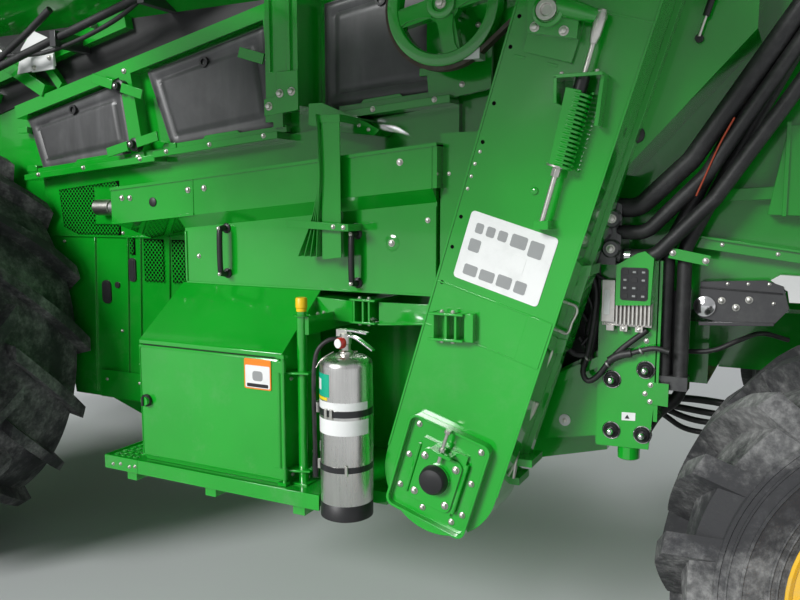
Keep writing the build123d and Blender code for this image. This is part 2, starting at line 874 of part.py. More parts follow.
door_span = (door_front + door_gap, door_rear - door_gap)
pane_span = (
    (door_span[0] + door_frame, door_span[1] - door_frame),
    (door_low + door_frame, door_high - door_frame),
)
with BuildPart() as cab_door:
    block(door_span, (-cab_half, -cab_half + cab_wall), (door_low, door_high))
    block(pane_span[0], (-cab_half - 1, -cab_half + cab_wall + 1), pane_span[1], Mode.SUBTRACT)
    for low in door_knuckles:
        high = low + door_knuckle
        bore = door_pin_radius + pin_gap
        block((door_hinge_x - 100, door_hinge_x), (-cab_half - 12, -cab_half), (low, high))
        post(door_hinge_x, door_hinge_y, 13, low, high)
        post(door_hinge_x, door_hinge_y, bore, low - 1, high + 1, Mode.SUBTRACT)
        relief = ((door_span[1], door_hinge_x + 20), (-cab_half, -cab_half + 20), (low - 1, high + 1))
        block(*relief, Mode.SUBTRACT)
    # Pull handle near the front edge
    block((door_span[0] + 22, door_span[0] + 46), (-cab_half - 44, -cab_half - 26), (2720, 2960))
    for z in (2730, 2932):
        block((door_span[0] + 26, door_span[0] + 42), (-cab_half - 30, -cab_half), (z, z + 18))
save(cab_door, "cab_door")
with BuildPart() as cab_door_glass:
    block(pane_span[0], (-cab_half + pane_in, -cab_half + pane_in + glass_thick), pane_span[1])
save(cab_door_glass, "cab_door_glass")

cab_inside = cab_floor + cab_wall / 2
with BuildPart() as operator_seat:
    block((-1420, -1020), (-190, 190), (cab_inside, cab_inside + 320))
    block((-1480, -960), (-250, 250), (cab_inside + 320, cab_inside + 470))
    block((-1080, -950), (-240, 240), (cab_inside + 470, cab_inside + 1080))
    block((-1420, -1000), (280, 420), (cab_inside, cab_inside + 640))
    block((-1420, -1100), (250, 280), (cab_inside + 330, cab_inside + 420))
save(operator_seat, "operator_seat")

with BuildPart() as cab_controls:
    post(-1960, 0, 60, cab_inside, cab_inside + 640)
    with Locations(Location(spot(-1930, 0, cab_inside + 700), (0, -28, 0))):
        Cylinder(60, 160)
        Torus(190, 18)
        Box(380, 40, 24)
save(cab_controls, "cab_controls")

# Cab deck with its beams, guard rail and the ladder's hinge pin
deck_low = cab_floor - cab_deck_thick
ladder_front = -1690.0
ladder_rear = -1150.0
ladder_out = cab_deck_left + 40.0
ladder_low = 450.0
ladder_spread = 150.0
ladder_steps = 6
stile = 40.0
with BuildPart() as cab_deck:
    block((cab_deck_front, body_front), (-cab_deck_left, cab_deck_right), (deck_low, cab_floor))
    for sign in (-1, 1):
        low, high = sorted((sign * 800, sign * 880))
        block((cab_deck_front + 150, body_front), (low, high), (deck_low - 110, deck_low))
    # Guard rails along the deck's left edge, open at the ladder, and across its front
    rail_edge = (-cab_deck_left, -cab_deck_left + rail_size)
    rail_front = (cab_deck_front, cab_deck_front + rail_size)
    rail_stand = (cab_floor, cab_floor + rail_height)
    for run in ((cab_deck_front, ladder_front - 60), (ladder_rear + 40, body_front)):
        for x in (run[0], run[1] - rail_size):
            block((x, x + rail_size), rail_edge, rail_stand)
        for z in (cab_floor + rail_height / 2, cab_floor + rail_height - rail_size):
            block(run, rail_edge, (z, z + rail_size))
    for z in (cab_floor + rail_height / 2, cab_floor + rail_height - rail_size):
        block(rail_front, (-cab_deck_left, -cab_half - 60), (z, z + rail_size))
    block(rail_front, (-cab_half - 60 - rail_size, -cab_half - 60), rail_stand)
    block((ladder_front - 35, ladder_front + 35), (-ladder_out - 35, -cab_deck_left), (deck_low, cab_floor))
    post(ladder_front, -ladder_out, 18, deck_low - 130, deck_low)
save(cab_deck, "cab_deck")

ladder_top = deck_low - 5
with BuildPart() as ladder:
    for x in (ladder_front, ladder_rear - stile):
        extrude(
            outline(
                cross(x),
                (-ladder_out - stile - 22, ladder_top - 130),
                (-ladder_out + 22 - 3, ladder_top - 130),
                (-ladder_out - ladder_spread + stile, ladder_low),
                (-ladder_out - ladder_spread - stile, ladder_low),
            ),
            amount=stile,
        )
    beam = (ladder_top - 170, ladder_top - 130)
    block((ladder_front, ladder_rear), (-ladder_out - 60, -ladder_out + 18), beam)
    post(ladder_front, -ladder_out, 42, ladder_top - 170, ladder_top)
    for step in range(ladder_steps):
        share = (step + 0.5) / ladder_steps
        z = ladder_low + share * (ladder_top - 170 - ladder_low) - 60
        y = -ladder_out - ladder_spread * (1 - share)
        block((ladder_front, ladder_rear), (y - 50, y + 70), (z, z + 30))
    post(ladder_front, -ladder_out, 18 + pin_gap, ladder_top - 131, ladder_top + 1, Mode.SUBTRACT)
save(ladder, "ladder")

# Feeder house about its pivot, falling to the front, with the lift eyes below
fall = radians(feeder_fall)
along = (-cos(fall), -sin(fall))
below = (sin(fall), -cos(fall))


def feeder_place(distance, depth):
    return (
        feeder_pivot_x + distance * along[0] + depth * below[0],
        feeder_pivot_z + distance * along[1] + depth * below[1],
    )


eye_x, eye_z = feeder_place(lift_eye_along, lift_eye_below)
with BuildPart() as feeder_house:
    extrude(
        outline(
            side(feeder_half),
            feeder_place(0, -feeder_end_radius),
            feeder_place(0, feeder_end_radius),
            feeder_place(500, feeder_depth),
            feeder_place(feeder_length, feeder_depth),
            feeder_place(feeder_length, -feeder_depth + 40),
        ),
        amount=2 * feeder_half,
    )
    bar_across(feeder_pivot_x, feeder_pivot_z, feeder_end_radius, -feeder_half, feeder_half)
    bar_across(feeder_pivot_x, feeder_pivot_z, pivot_radius, -arm_outer, arm_outer)
    extrude(
        outline(
            side(feeder_half + 60),
            feeder_place(feeder_length, -feeder_depth),
            feeder_place(feeder_length, feeder_depth + 20),
            feeder_place(feeder_length + 70, feeder_depth + 20),
            feeder_place(feeder_length + 70, -feeder_depth),
        ),
        amount=2 * feeder_half + 120,
    )
    extrude(
        outline(
            side(feeder_half - 90),
            feeder_place(feeder_length - 160, -feeder_depth + 140),
            feeder_place(feeder_length - 160, feeder_depth - 90),
            feeder_place(feeder_length + 71, feeder_depth - 90),
            feeder_place(feeder_length + 71, -feeder_depth + 140),
        ),
        amount=2 * feeder_half - 180,
        mode=Mode.SUBTRACT,
    )
    for sign in (-1, 1):
        for offset in (-1, 1):
            middle = sign * lift_half_track + offset * (eye_width / 2 + ear_thick / 2 + 2)
            extrude(
                outline(
                    side(middle + ear_thick / 2),
                    feeder_place(lift_eye_along - 60, feeder_depth - 5),
                    feeder_place(lift_eye_along - 60, lift_eye_below + 40),
                    feeder_place(lift_eye_along + 60, lift_eye_below + 40),
                    feeder_place(lift_eye_along + 60, feeder_depth - 5),
                ),
                amount=ear_thick,
            )
save(feeder_house, "feeder_house")

# Lift cylinders: barrels on the axle's pins, rods out to the feeder's eyes
reach = hypot(eye_x - lift_foot_x, eye_z - lift_foot_z)
lift_angle = degrees(atan2(eye_z - lift_foot_z, lift_foot_x - eye_x))


def lift_plane(y):
    """Plane on the lift's foot: x runs along the cylinder to the feeder, extruding goes left."""
    tilt = radians(lift_angle)
    return Plane(
        origin=spot(lift_foot_x, y, lift_foot_z),
        x_dir=(-cos(tilt), 0, sin(tilt)),
        z_dir=(0, 1, 0),
    )


with BuildPart() as lift_barrels:
    for sign in (-1, 1):
        base = lift_plane(sign * lift_half_track)
        with BuildSketch(Plane(origin=base.origin + base.x_dir * 58, z_dir=base.x_dir)):
            Circle(barrel_radius)
        extrude(amount=barrel_length - 58)
        with BuildSketch(base):
            Circle(eye_radius)
        extrude(amount=eye_width / 2, both=True)
        with BuildSketch(base):
            Circle(lift_pin_radius + pin_gap)
        extrude(amount=eye_width, both=True, mode=Mode.SUBTRACT)
        with BuildSketch(Plane(origin=base.origin + base.x_dir * 95, z_dir=base.x_dir)):
            Circle(rod_radius + pin_gap)
        extrude(amount=barrel_length, mode=Mode.SUBTRACT)
save(lift_barrels, "lift_barrels")

with BuildPart() as lift_rods:
    for sign in (-1, 1):
        base = lift_plane(sign * lift_half_track)
        with BuildSketch(Plane(origin=base.origin + base.x_dir * rod_inset, z_dir=base.x_dir)):
            Circle(rod_radius)
        extrude(amount=reach - rod_inset - 30)
        with BuildSketch(Plane(origin=base.origin + base.x_dir * reach, x_dir=base.x_dir, z_dir=base.z_dir)):
            Circle(eye_radius - 18)
        extrude(amount=eye_width / 2, both=True)
save(lift_rods, "lift_rods")

# Rear hood and straw chopper
with BuildPart() as rear_hood:
    extrude(
        outline(
            side(hood_half),
            (body_rear, hood_floor),
            (body_rear, hood_top),
            (body_rear + 450, hood_top),
            (hood_rear - 300, hood_top - 180),
            (hood_rear, hood_top - 560),
            (hood_rear, hood_floor),
        ),
        amount=2 * hood_half,
    )
    fillet(rear_hood.edges().filter_by(Axis.Y).group_by(Axis.Z)[-1].sort_by(Axis.X)[-1:], 240)
    fillet(rear_hood.edges().filter_by(Axis.Y).sort_by(Axis.X)[-2:].sort_by(Axis.Z)[-1:], 160)
save(rear_hood, "rear_hood")

with BuildPart() as straw_chopper:
    extrude(
        outline(
            side(chopper_half),
            (chopper_front, hood_floor),
            (hood_rear, hood_floor),
            (chopper_rear, chopper_floor + 90),
            (chopper_rear, chopper_floor),
            (chopper_front + 180, chopper_floor),
        ),
        amount=2 * chopper_half,
    )
save(straw_chopper, "straw_chopper")

for hand, sign in (("left", -1), ("right", 1)):
    with BuildPart() as spreader:
        disc_z = chopper_floor - spreader_drop
        post(spreader_x, sign * spreader_half, 30, disc_z, chopper_floor - running_gap)
        post(spreader_x, sign * spreader_half, spreader_radius, disc_z - 20, disc_z)
        for turn in range(6):
            angle = radians(60 * turn)
            with Locations(
                Location(
                    spot(
                        spreader_x + 200 * cos(angle),
                        sign * spreader_half + 200 * sin(angle),
                        disc_z + 22,
                    ),
                    (0, 0, 60 * turn),
                )
            ):
                Box(230, 12, 44)
    save(spreader, f"spreader_{hand}")

# Step platform with the hinge post, and the tool box on it
platform_low = platform_top - platform_thick
with BuildPart() as tool_platform:
    block((platform_front, platform_rear), (-platform_out, -shoe_half), (platform_low, platform_top))
    block(
        (bottle_x - bottle_radius - 12, platform_rear + 1),
        (-platform_out - 1, -bottle_y + bottle_radius + 12),
        (platform_low - 1, platform_top + 1),
        Mode.SUBTRACT,
    )
    post(post_x, -post_y, post_radius, platform_top, platform_top + post_height)
    back = -bottle_y + bottle_radius + pin_gap
    block((bottle_x - 45, bottle_x + 45), (back, back + 20), (platform_low, platform_top + 380))
    arm_low = platform_top + post_height - 75
    block((post_x - 12, post_x + 12), (-post_y, -shoe_half), (arm_low, arm_low + 25))
save(tool_platform, "tool_platform")

box_low = platform_top
hinge_pin_x = box_rear + 10.0
hinge_rod_radius = 8.0
door_face = box_out + 6
door_mid = door_face + box_door_thick / 2
with BuildPart() as tool_box:
    extrude(
        outline(
            cross(box_front),
            (-box_out, box_low),
            (-box_back, box_low),
            (-box_back, box_low + box_height + box_back_rise),
            (-box_out, box_low + box_height),
        ),
        amount=box_rear - box_front,
    )
    extrude(
        outline(
            cross(box_front + box_wall),
            (-box_out - 1, box_low + box_wall),
            (-box_back - box_wall, box_low + box_wall),
            (-box_back - box_wall, box_low + box_height + box_back_rise - 2 * box_wall),
            (-box_out - 1, box_low + box_height - 2 * box_wall),
        ),
        amount=box_rear - box_front - 2 * box_wall,
        mode=Mode.SUBTRACT,
    )
    # Lugs above and below the door that hold its hinge rod
    for z in (box_low + 2, box_low + box_door_high + 4):
        block((box_rear - 12, hinge_pin_x + 12), (-door_mid - 12, -box_out), (z, z + 12))
        post(hinge_pin_x, -door_mid, hinge_rod_radius + pin_gap, z - 1, z + 13, Mode.SUBTRACT)
save(tool_box, "tool_box")

knob_x = box_front + 40.0
with BuildPart() as tool_box_door:
    low, high = -door_face - box_door_thick, -door_face
    block((box_front, box_rear), (low, high), (box_low + box_door_low, box_low + box_door_high))
    bar_across(knob_x, box_low + 245, 17, low, low - 26)
    post(hinge_pin_x, -door_mid, hinge_rod_radius, box_low + 3, box_low + box_door_high + 18)
    block((box_rear - 1, hinge_pin_x), (-door_mid - 4, -door_mid + 4), (box_low + 30, box_low + 450))
save(tool_box_door, "tool_box_door")

# Fire extinguisher: bottle with a domed shoulder, base ring, valve and levers
bottle_shoulder = bottle_base + bottle_height
with BuildPart() as extinguisher:
    with BuildSketch(Plane.XZ):
        with BuildLine():
            Polyline(
                (0, bottle_base),
                (bottle_radius, bottle_base),
                (bottle_radius, bottle_shoulder),
                (bottle_radius - 16, bottle_shoulder + 20),
                (32, bottle_shoulder + 33),
                (19, bottle_shoulder + 34),
                (19, bottle_shoulder + 66),
                (0, bottle_shoulder + 66),
                close=True,
            )
        make_face()
    revolve(axis=Axis.Z)
    with Locations((28, 0, bottle_shoulder + 78), (30, 0, bottle_shoulder + 106)):
        Box(114, 24, 10)
    with Locations((0, 0, bottle_shoulder + 86)):
        Box(34, 22, 44)
extinguisher.part.position = spot(bottle_x, -bottle_y, 0)
save(extinguisher, "extinguisher")

# Drive pulley on its shaft with a belt to a small idler behind the return elevator
pulley_radius = 205.0
pulley_x, pulley_z = top_x - 636, deck_level - 332
idler_radius = 60.0
idler_x, idler_z = top_x - 131, deck_level - 115
belt_thick = 14.0
belt_low, belt_high = body_half + 170, body_half + 206
with BuildPart() as drive_pulleys:
    for x, z, radius in ((pulley_x, pulley_z, pulley_radius), (idler_x, idler_z, idler_radius)):
        bar_across(x, z, radius, -belt_low, -belt_high)
        bar_across(x, z, 28, -body_half, -belt_low)
    # Four windows between the large pulley's spokes
    with BuildSketch(side(-belt_low + 1)) as windows:
        with Locations((pulley_x, pulley_z)):
            Circle(pulley_radius - 42)
            Circle(62, mode=Mode.SUBTRACT)
            for turn in (12, 102):
                Rectangle(2 * pulley_radius, 64, rotation=turn, mode=Mode.SUBTRACT)
    extrude(windows.sketch, amount=belt_high - belt_low + 2, mode=Mode.SUBTRACT)
save(drive_pulleys, "drive_pulleys")

with BuildPart() as drive_belt:
    for grow, mode in ((belt_thick, Mode.ADD), (pin_gap, Mode.SUBTRACT)):
        with BuildSketch(side(-belt_low)):
            with Locations((pulley_x, pulley_z)):
                Circle(pulley_radius + grow)
            with Locations((idler_x, idler_z)):
                Circle(idler_radius + grow)
            make_hull()
        extrude(amount=belt_high - belt_low, mode=mode)
save(drive_belt, "drive_belt")

# Belt tensioner: rod and spring along the elevator's outer face
rod_top = (top_x - 46, top_z - 379)
rod_low = (top_x - 196, top_z - 927)
with BuildPart() as belt_tensioner:
    run = (rod_low[0] - rod_top[0], rod_low[1] - rod_top[1])
    for share, length, radius in ((0.0, hypot(*run), 9.0), (0.22, 0.42 * hypot(*run), 30.0)):
        start = spot(rod_top[0] + share * run[0], -elevator_outer - 36, rod_top[1] + share * run[1])
        with BuildSketch(Plane(origin=start, z_dir=(run[0], 0, run[1]))):
            Circle(radius)
        extrude(amount=length)
    bracket_y = (-elevator_outer - 50, -elevator_outer)
    block((rod_top[0] - 70, rod_top[0] + 30), bracket_y, (rod_top[1] - 140, rod_top[1] - 128))
    block((rod_low[0] - 22, rod_low[0] + 22), bracket_y, (rod_low[1] - 20, rod_low[1] + 20))
save(belt_tensioner, "belt_tensioner")

# Port plate with a controller, a keypad and four ports
port_out = body_half + 150
port_front = 3470.0
port_low = 905.0
port_blocks = [  # from and to behind the plate's front edge, outward from its back face, above its foot
    ((0, 155), (0, 10), (0, 600)),
    ((8, 140), (10, 45), (420, 520)),
    ((50, 145), (10, 60), (525, 590)),
]
ports = [(42, 245), (122, 260), (44, 80), (124, 80)]
port_radius = 20.0
with BuildPart() as port_plate:
    for (front, rear), (inner, outer), (low, high) in port_blocks:
        y_span = (-port_out - outer, -port_out - inner)
        block((port_front + front, port_front + rear), y_span, (port_low + low, port_low + high))
    arm = (port_low + 425, port_low + 575)
    block((port_front + 20, port_front + 100), (-port_out, -body_half), arm)
    for x, z in ports:
        bar_across(port_front + x, port_low + z, port_radius, -port_out - 10, -port_out - 44)
save(port_plate, "port_plate")

# Valve manifold, the hose block below it, and the hydraulic hoses between them and the deck
manifold_rear = 3520.0
manifold_low = 1506.0
manifold_high = manifold_low + 210
manifold_out = body_half + 210
bundle_y = -(body_half + 170)
drop_y = -(body_half + 115)
hose_block_top = 1150.0
supply_hoses = [  # radius, then back from and up from the manifold's lower rear edge: start, bend, turn, lift
    (30.0, (0, 179), (60, 179), (210, 324), (521, 797)),
    (23.0, (0, 102), (85, 102), (255, 279), (580, 794)),
    (23.0, (0, 26), (110, 26), (280, 204), (632, 738)),
]
drop_hoses = (3665.0, 3717.0)
drop_radius = 22.0
drop_run = [(0, 0), (0, 410), (190, 810), (380, 1180)]
with BuildPart() as valve_block:
    block((manifold_rear - 80, manifold_rear), (-manifold_out, -body_half), (manifold_low, manifold_high))
    block(
        (drop_hoses[0] - drop_radius - 4, drop_hoses[1] + drop_radius + 4),
        (drop_y - drop_radius - 8, drop_y + drop_radius + 8),
        (hose_block_top - 45, hose_block_top),
    )
    arm = (hose_block_top - 45, hose_block_top + 270)
    block((drop_hoses[0] - 10, drop_hoses[1] + 10), (drop_y + drop_radius + 6, -body_half), arm)
save(valve_block, "valve_block")

with BuildPart() as hydraulic_hoses:
    hose_runs = []
    for radius, *places in supply_hoses:
        corners = [(manifold_rear + back, manifold_low + up) for back, up in places]
        hose_runs.append((radius, bundle_y, *corners, (corners[-1][0], deck_level)))
    for x in drop_hoses:
        corners = [(x + back, hose_block_top + up) for back, up in drop_run]
        hose_runs.append((drop_radius, drop_y, *corners, (corners[-1][0], deck_level)))
    for radius, y, *corners in hose_runs:
        with BuildLine(side(y)) as run:
            FilletPolyline(*corners, radius=70)
        with BuildSketch(Plane(origin=run.line @ 0, z_dir=run.line % 0)):
            Circle(radius)
        sweep(path=run.line)
save(hydraulic_hoses, "hydraulic_hoses")

# Lamps under the roof's front edge and on the deck rail, and mirrors on arms from the roof
lamp_x = cab_front - roof_over + 20
with BuildPart() as work_lamps:
    for y in (-820, -560, 560, 820):
        block((lamp_x, lamp_x + 60), (y - 80, y + 80), (cab_top - 90, cab_top))
    for sign in (-1, 1):
        low, high = sorted((sign * (tank_half - 260), sign * (tank_half - 60)))
        block((deck_rear, deck_rear + 50), (low, high), (deck_level, deck_level + 110))
save(work_lamps, "work_lamps")

mirror_x = cab_front + 60.0
with BuildPart() as mirrors:
    for sign in (-1, 1):
        low, high = sorted((sign * (cab_half + roof_over), sign * 1330))
        block((mirror_x, mirror_x + 30), (low, high), (cab_top + 60, cab_top + 90))
        low, high = sorted((sign * 1300, sign * 1330))
        block((mirror_x, mirror_x + 30), (low, high), (cab_top - 60, cab_top + 60))
        low, high = sorted((sign * 1190, sign * 1440))
        block((mirror_x - 10, mirror_x + 40), (low, high), (cab_top - 480, cab_top - 60))
save(mirrors, "mirrors")
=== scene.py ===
import json
import math

import bmesh
import bpy
import numpy as np
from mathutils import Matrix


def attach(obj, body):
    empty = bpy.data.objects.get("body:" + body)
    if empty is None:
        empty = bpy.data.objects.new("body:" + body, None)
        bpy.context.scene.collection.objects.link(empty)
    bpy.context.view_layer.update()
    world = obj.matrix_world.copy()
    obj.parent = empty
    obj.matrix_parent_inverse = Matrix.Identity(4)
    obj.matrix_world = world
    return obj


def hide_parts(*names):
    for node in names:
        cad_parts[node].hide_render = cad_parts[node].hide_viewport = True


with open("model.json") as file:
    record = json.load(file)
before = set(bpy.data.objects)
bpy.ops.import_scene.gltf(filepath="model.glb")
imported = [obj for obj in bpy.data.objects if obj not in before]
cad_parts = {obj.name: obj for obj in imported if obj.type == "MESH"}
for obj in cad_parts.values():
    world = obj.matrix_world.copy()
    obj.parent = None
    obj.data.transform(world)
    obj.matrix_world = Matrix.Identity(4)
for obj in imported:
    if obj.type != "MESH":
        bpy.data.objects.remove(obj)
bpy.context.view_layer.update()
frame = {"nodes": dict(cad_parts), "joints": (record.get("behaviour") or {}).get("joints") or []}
nodes = frame["nodes"]

# Metres. +X is to the rear, +Y to the right-hand side, +Z up. Places along the machine are
# measured back from the front axle, and place() turns them into the frame's own.
joints = {j["name"]: j for j in frame["joints"]}
axleX = joints["front_wheel_left_spin"]["pos_m"][0]
toLeft, toRight, toFront, toRear = (0, -1, 0), (0, 1, 0), (-1, 0, 0), (1, 0, 0)
upward, downward = (0, 0, 1), (0, 0, -1)


def place(points):  # x from the front axle made x of the frame
    return np.asarray(points, float) + (axleX, 0.0, 0.0)


# Camera, floor and light
view = {"x": 4.06, "y": -3.85, "z": 1.7, "turn": 27.0, "dip": 6.91, "lens": 36.0}
camera = bpy.data.objects.new("camera", bpy.data.cameras.new("camera"))
camera.data.lens, camera.data.sensor_width, camera.data.clip_end = view["lens"], 36.0, 200.0
camera.location = place((view["x"], view["y"], view["z"]))
camera.rotation_euler = (math.radians(90.0 - view["dip"]), 0.0, math.radians(view["turn"]))
bpy.context.scene.collection.objects.link(camera)
bpy.context.scene.camera = camera
bpy.context.scene.view_settings.view_transform = "Standard"

lamps = {  # name: turn from the rear and height in degrees, spread, strength
    "key": (-112.0, 25.0, 20.0, 3.12),
    "far_side": (70.0, 42.0, 40.0, 1.6),
}
for name, (turn, rise, spread, strength) in lamps.items():
    light = bpy.data.lights.new(name, "SUN")
    light.angle, light.energy = math.radians(spread), strength
    lamp = bpy.data.objects.new(name, light)
    lamp.rotation_euler = (math.radians(90 - rise), 0, math.radians(turn + 90))
    bpy.context.scene.collection.objects.link(lamp)
world = bpy.data.worlds.new("air")
world.use_nodes = True
world.node_tree.nodes["Background"].inputs[0].default_value = (0.88, 0.9, 0.93, 1)
world.node_tree.nodes["Background"].inputs[1].default_value = 0.42
bpy.context.scene.world = world
print("camera and light set")


# Shader nodes as Python expressions: operators on a Value add Math nodes
class Value:
    def __init__(self, finish, socket):
        self.finish, self.socket = finish, socket

    def sum(self, operation, *others, clamp=False):
        inputs = dict(enumerate(others))
        return self.finish.node("Math", {"operation": operation, "use_clamp": clamp}, inputs)

    def __add__(self, other):
        return self.sum("ADD", self, other)

    def __mul__(self, other):
        return self.sum("MULTIPLY", self, other)

    def __rsub__(self, other):
        return self.sum("SUBTRACT", other, self)

    __radd__, __rmul__ = __add__, __mul__

    def between(self, low, high):  # 0 below low, 1 above high, smooth between
        settings = {"interpolation_type": "SMOOTHSTEP"}
        return self.finish.node("MapRange", settings, {"Value": self, "From Min": low, "From Max": high})


class Finish:
    def __init__(self, name):
        self.material = bpy.data.materials.new(name)
        self.material.use_nodes = True
        self.tree = self.material.node_tree
        self.tree.nodes.clear()
        self.shader = self.tree.nodes.new("ShaderNodeBsdfPrincipled")
        output = self.tree.nodes.new("ShaderNodeOutputMaterial")
        self.tree.links.new(self.shader.outputs[0], output.inputs[0])
        self.spot = self.node("TexCoord", output="Object")

    def node(self, kind, settings=None, inputs=None, output=0):
        made = self.tree.nodes.new("ShaderNode" + kind)
        for key, value in (settings or {}).items():
            setattr(made, key, value)
        for key, value in (inputs or {}).items():
            if isinstance(value, Value):
                self.tree.links.new(value.socket, made.inputs[key])
            else:
                made.inputs[key].default_value = value
        return Value(self, made.outputs[output])

    def along(self, x=1.0, y=1.0, z=1.0):  # object coordinates stretched per axis
        return self.node("VectorMath", {"operation": "MULTIPLY"}, {0: self.spot, 1: (x, y, z)})

    def noise(self, scale, detail=3.0, at=None, rough=0.55):
        inputs = {"Vector": at or self.spot, "Scale": scale, "Detail": detail, "Roughness": rough}
        return self.node("TexNoise", None, inputs)

    def cells(self, scale, at=None):
        return self.node("TexVoronoi", None, {"Vector": at or self.spot, "Scale": scale})

    def axis(self, letter):
        return self.node("SeparateXYZ", None, {0: self.spot}, letter)

    def blend(self, share, first, second):
        inputs = {0: share}
        for key, colour in ((6, first), (7, second)):
            inputs[key] = colour if isinstance(colour, Value) else (*colour, 1.0)
        return self.node("Mix", {"data_type": "RGBA"}, inputs, 2)

    def set(self, **sockets):  # Base_Color=..., Roughness=..., and so on
        for key, value in sockets.items():
            socket = self.shader.inputs[key.replace("_", " ")]
            if isinstance(value, Value):
                self.tree.links.new(value.socket, socket)
            elif isinstance(value, tuple):
                socket.default_value = (*value, 1.0) if len(value) == 3 else value
            else:
                socket.default_value = value
        return self

    def bump(self, height, strength, distance):
        inputs = {"Height": height, "Strength": strength, "Distance": distance}
        return self.set(Normal=self.node("Bump", None, inputs))


def shade(colour, factor):  # each channel times the factor, up to 1
    return tuple(min(1.0, channel * factor) for channel in colour)


paints = {  # colour, roughness, dust share
    "greenPaint": ((0.004, 0.315, 0.016), 0.12, 0.2),
    "yellowPaint": ((0.8, 0.46, 0.012), 0.25, 0.4),
    "blackPaint": ((0.016, 0.016, 0.018), 0.34, 0.55),
    "whitePaint": ((0.78, 0.79, 0.78), 0.3, 0.35),
    "redPaint": ((0.42, 0.012, 0.01), 0.25, 0.25),
}


def paint(name, colour, rough, dust):
    # Gloss coat over pressed sheet: slow waves bend the reflections, fine peel, dust and dried drops
    f = Finish(name)
    cloud = f.noise(0.9, 4.0)
    wave = f.noise(2.1, 1.5)
    peel = f.noise(420.0, 1.0)
    film = f.noise(5.5, 6.0, rough=0.7).between(0.5, 0.78)
    drops = 1.0 - f.cells(85.0).between(0.02, 0.11)
    low = 1.0 - f.axis("Z").between(0.35, 1.5)
    dirt = film * (low * 0.75 + 0.14) * dust + drops * f.noise(3.0, 2.0).between(0.52, 0.66) * (dust * 0.3)
    tone = f.blend(cloud.between(0.32, 0.68), shade(colour, 0.8), shade(colour, 1.18))
    f.set(Base_Color=f.blend(dirt, tone, (0.33, 0.35, 0.31)), Roughness=rough + dirt * 0.45 + cloud * 0.06)
    f.set(Coat_Weight=1.0, Coat_Roughness=0.05, Specular_IOR_Level=0.6)
    return f.bump(wave + peel * 0.003, 0.5, 0.024)


def plastic(name, colour, rough, grain, streak=0.0):
    # Moulded plastic: fine grain, hand smears and rain streaks that run down it
    f = Finish(name)
    smear = f.noise(6.0, 5.0, rough=0.65).between(0.42, 0.75)
    runs = f.noise(14.0, 4.0, f.along(1.0, 1.0, 0.12)).between(0.45, 0.8)
    mark = smear * 0.5 + runs * streak
    f.set(Base_Color=f.blend(mark * 0.5, colour, shade(colour, 2.1)), Roughness=rough + mark * 0.16)
    return f.bump(f.noise(grain, 2.0) * 0.6 + f.noise(2.6, 2.0) * 3.0 * streak, 0.25, 0.0012)


def metal(name, colour, rough, stretch=(1.0, 1.0, 1.0), scale=40.0, stain=0.25):
    # Bare metal: drawn or cast grain, and dull patches
    f = Finish(name)
    grain = f.noise(scale, 4.0, f.along(*stretch))
    patch = f.noise(7.0, 5.0).between(0.48, 0.75)
    f.set(
        Base_Color=f.blend(
            patch * stain, f.blend(grain, shade(colour, 0.82), shade(colour, 1.12)), shade(colour, 0.4)
        ),
    )
    f.set(Metallic=1.0 - patch * stain * 0.6, Roughness=rough + grain * 0.12 + patch * stain * 0.4)
    return f.bump(grain, 0.15, 0.0006)


def rubber(name, colour, rough, dust):
    # Rubber: pits, scuffs and the dried mud that sits in the hollows
    f = Finish(name)
    pits = f.noise(130.0, 3.0)
    scuff = f.noise(9.0, 7.0, f.along(1.0, 0.6, 1.0), 0.72).between(0.5, 0.72)
    mud = f.noise(3.2, 8.0, rough=0.74).between(0.43, 0.66) * dust
    fine = f.noise(55.0, 4.0).between(0.35, 0.7)
    tone = f.blend(scuff * 0.55, colour, shade(colour, 2.6))
    f.set(
        Base_Color=f.blend(mud * (0.45 + fine * 0.5), tone, (0.27, 0.27, 0.265)),
        Roughness=rough - scuff * 0.1 + mud * 0.12,
    )
    return f.bump(pits * 0.35 + scuff * 0.5 + mud * 1.4, 0.5, 0.0035)


def clear(name, colour, alpha):
    # Glass and lenses: thin colour with dried smudges under a gloss coat
    f = Finish(name)
    smudge = f.noise(1.2, 3.0).between(0.5, 0.9)
    f.set(Base_Color=f.blend(smudge, colour, shade(colour, 0.85)), Roughness=0.03 + smudge * 0.04)
    f.set(Alpha=alpha + smudge * 0.03, Coat_Weight=1.0, Coat_Roughness=0.02)
    f.material.surface_render_method = "BLENDED"
    return f


def weave(name, colour):
    # Woven seat cloth: two crossed sets of threads
    f = Finish(name)
    threads = [
        f.node("TexWave", {"bands_direction": way}, {"Vector": f.spot, "Scale": 75.0, "Distortion": 0.6})
        for way in ("X", "Y", "Z")
    ]
    cloth = threads[0] * 0.5 + threads[1] * 0.5 + threads[2] * 0.4
    wear = f.noise(5.0, 4.0).between(0.45, 0.75)
    f.set(
        Base_Color=f.blend(cloth * 0.5 + wear * 0.3, shade(colour, 0.7), shade(colour, 1.9)),
        Roughness=0.88 - wear * 0.1,
    )
    f.set(Sheen_Weight=0.25, Sheen_Roughness=0.5)
    return f.bump(cloth, 0.6, 0.0012)


def label(name, colour, rough=0.32):
    # Printed film: slightly faded, with scratches in its gloss
    f = Finish(name)
    fade = f.noise(12.0, 4.0).between(0.4, 0.8)
    f.set(Base_Color=f.blend(fade, colour, shade(colour, 0.86)), Roughness=rough + fade * 0.1)
    return f.bump(f.noise(240.0, 2.0), 0.1, 0.0005)


def paintedShadeFinish(name, colour):
    # Painted shade standing for a hole's depth: dark, with the dust at its mouth and no gloss
    f = Finish(name)
    dust = f.noise(30.0, 3.0).between(0.5, 0.8)
    return f.set(
        Base_Color=f.blend(dust, colour, shade(colour, 1.8)), Roughness=1.0, Specular_IOR_Level=0.0
    )


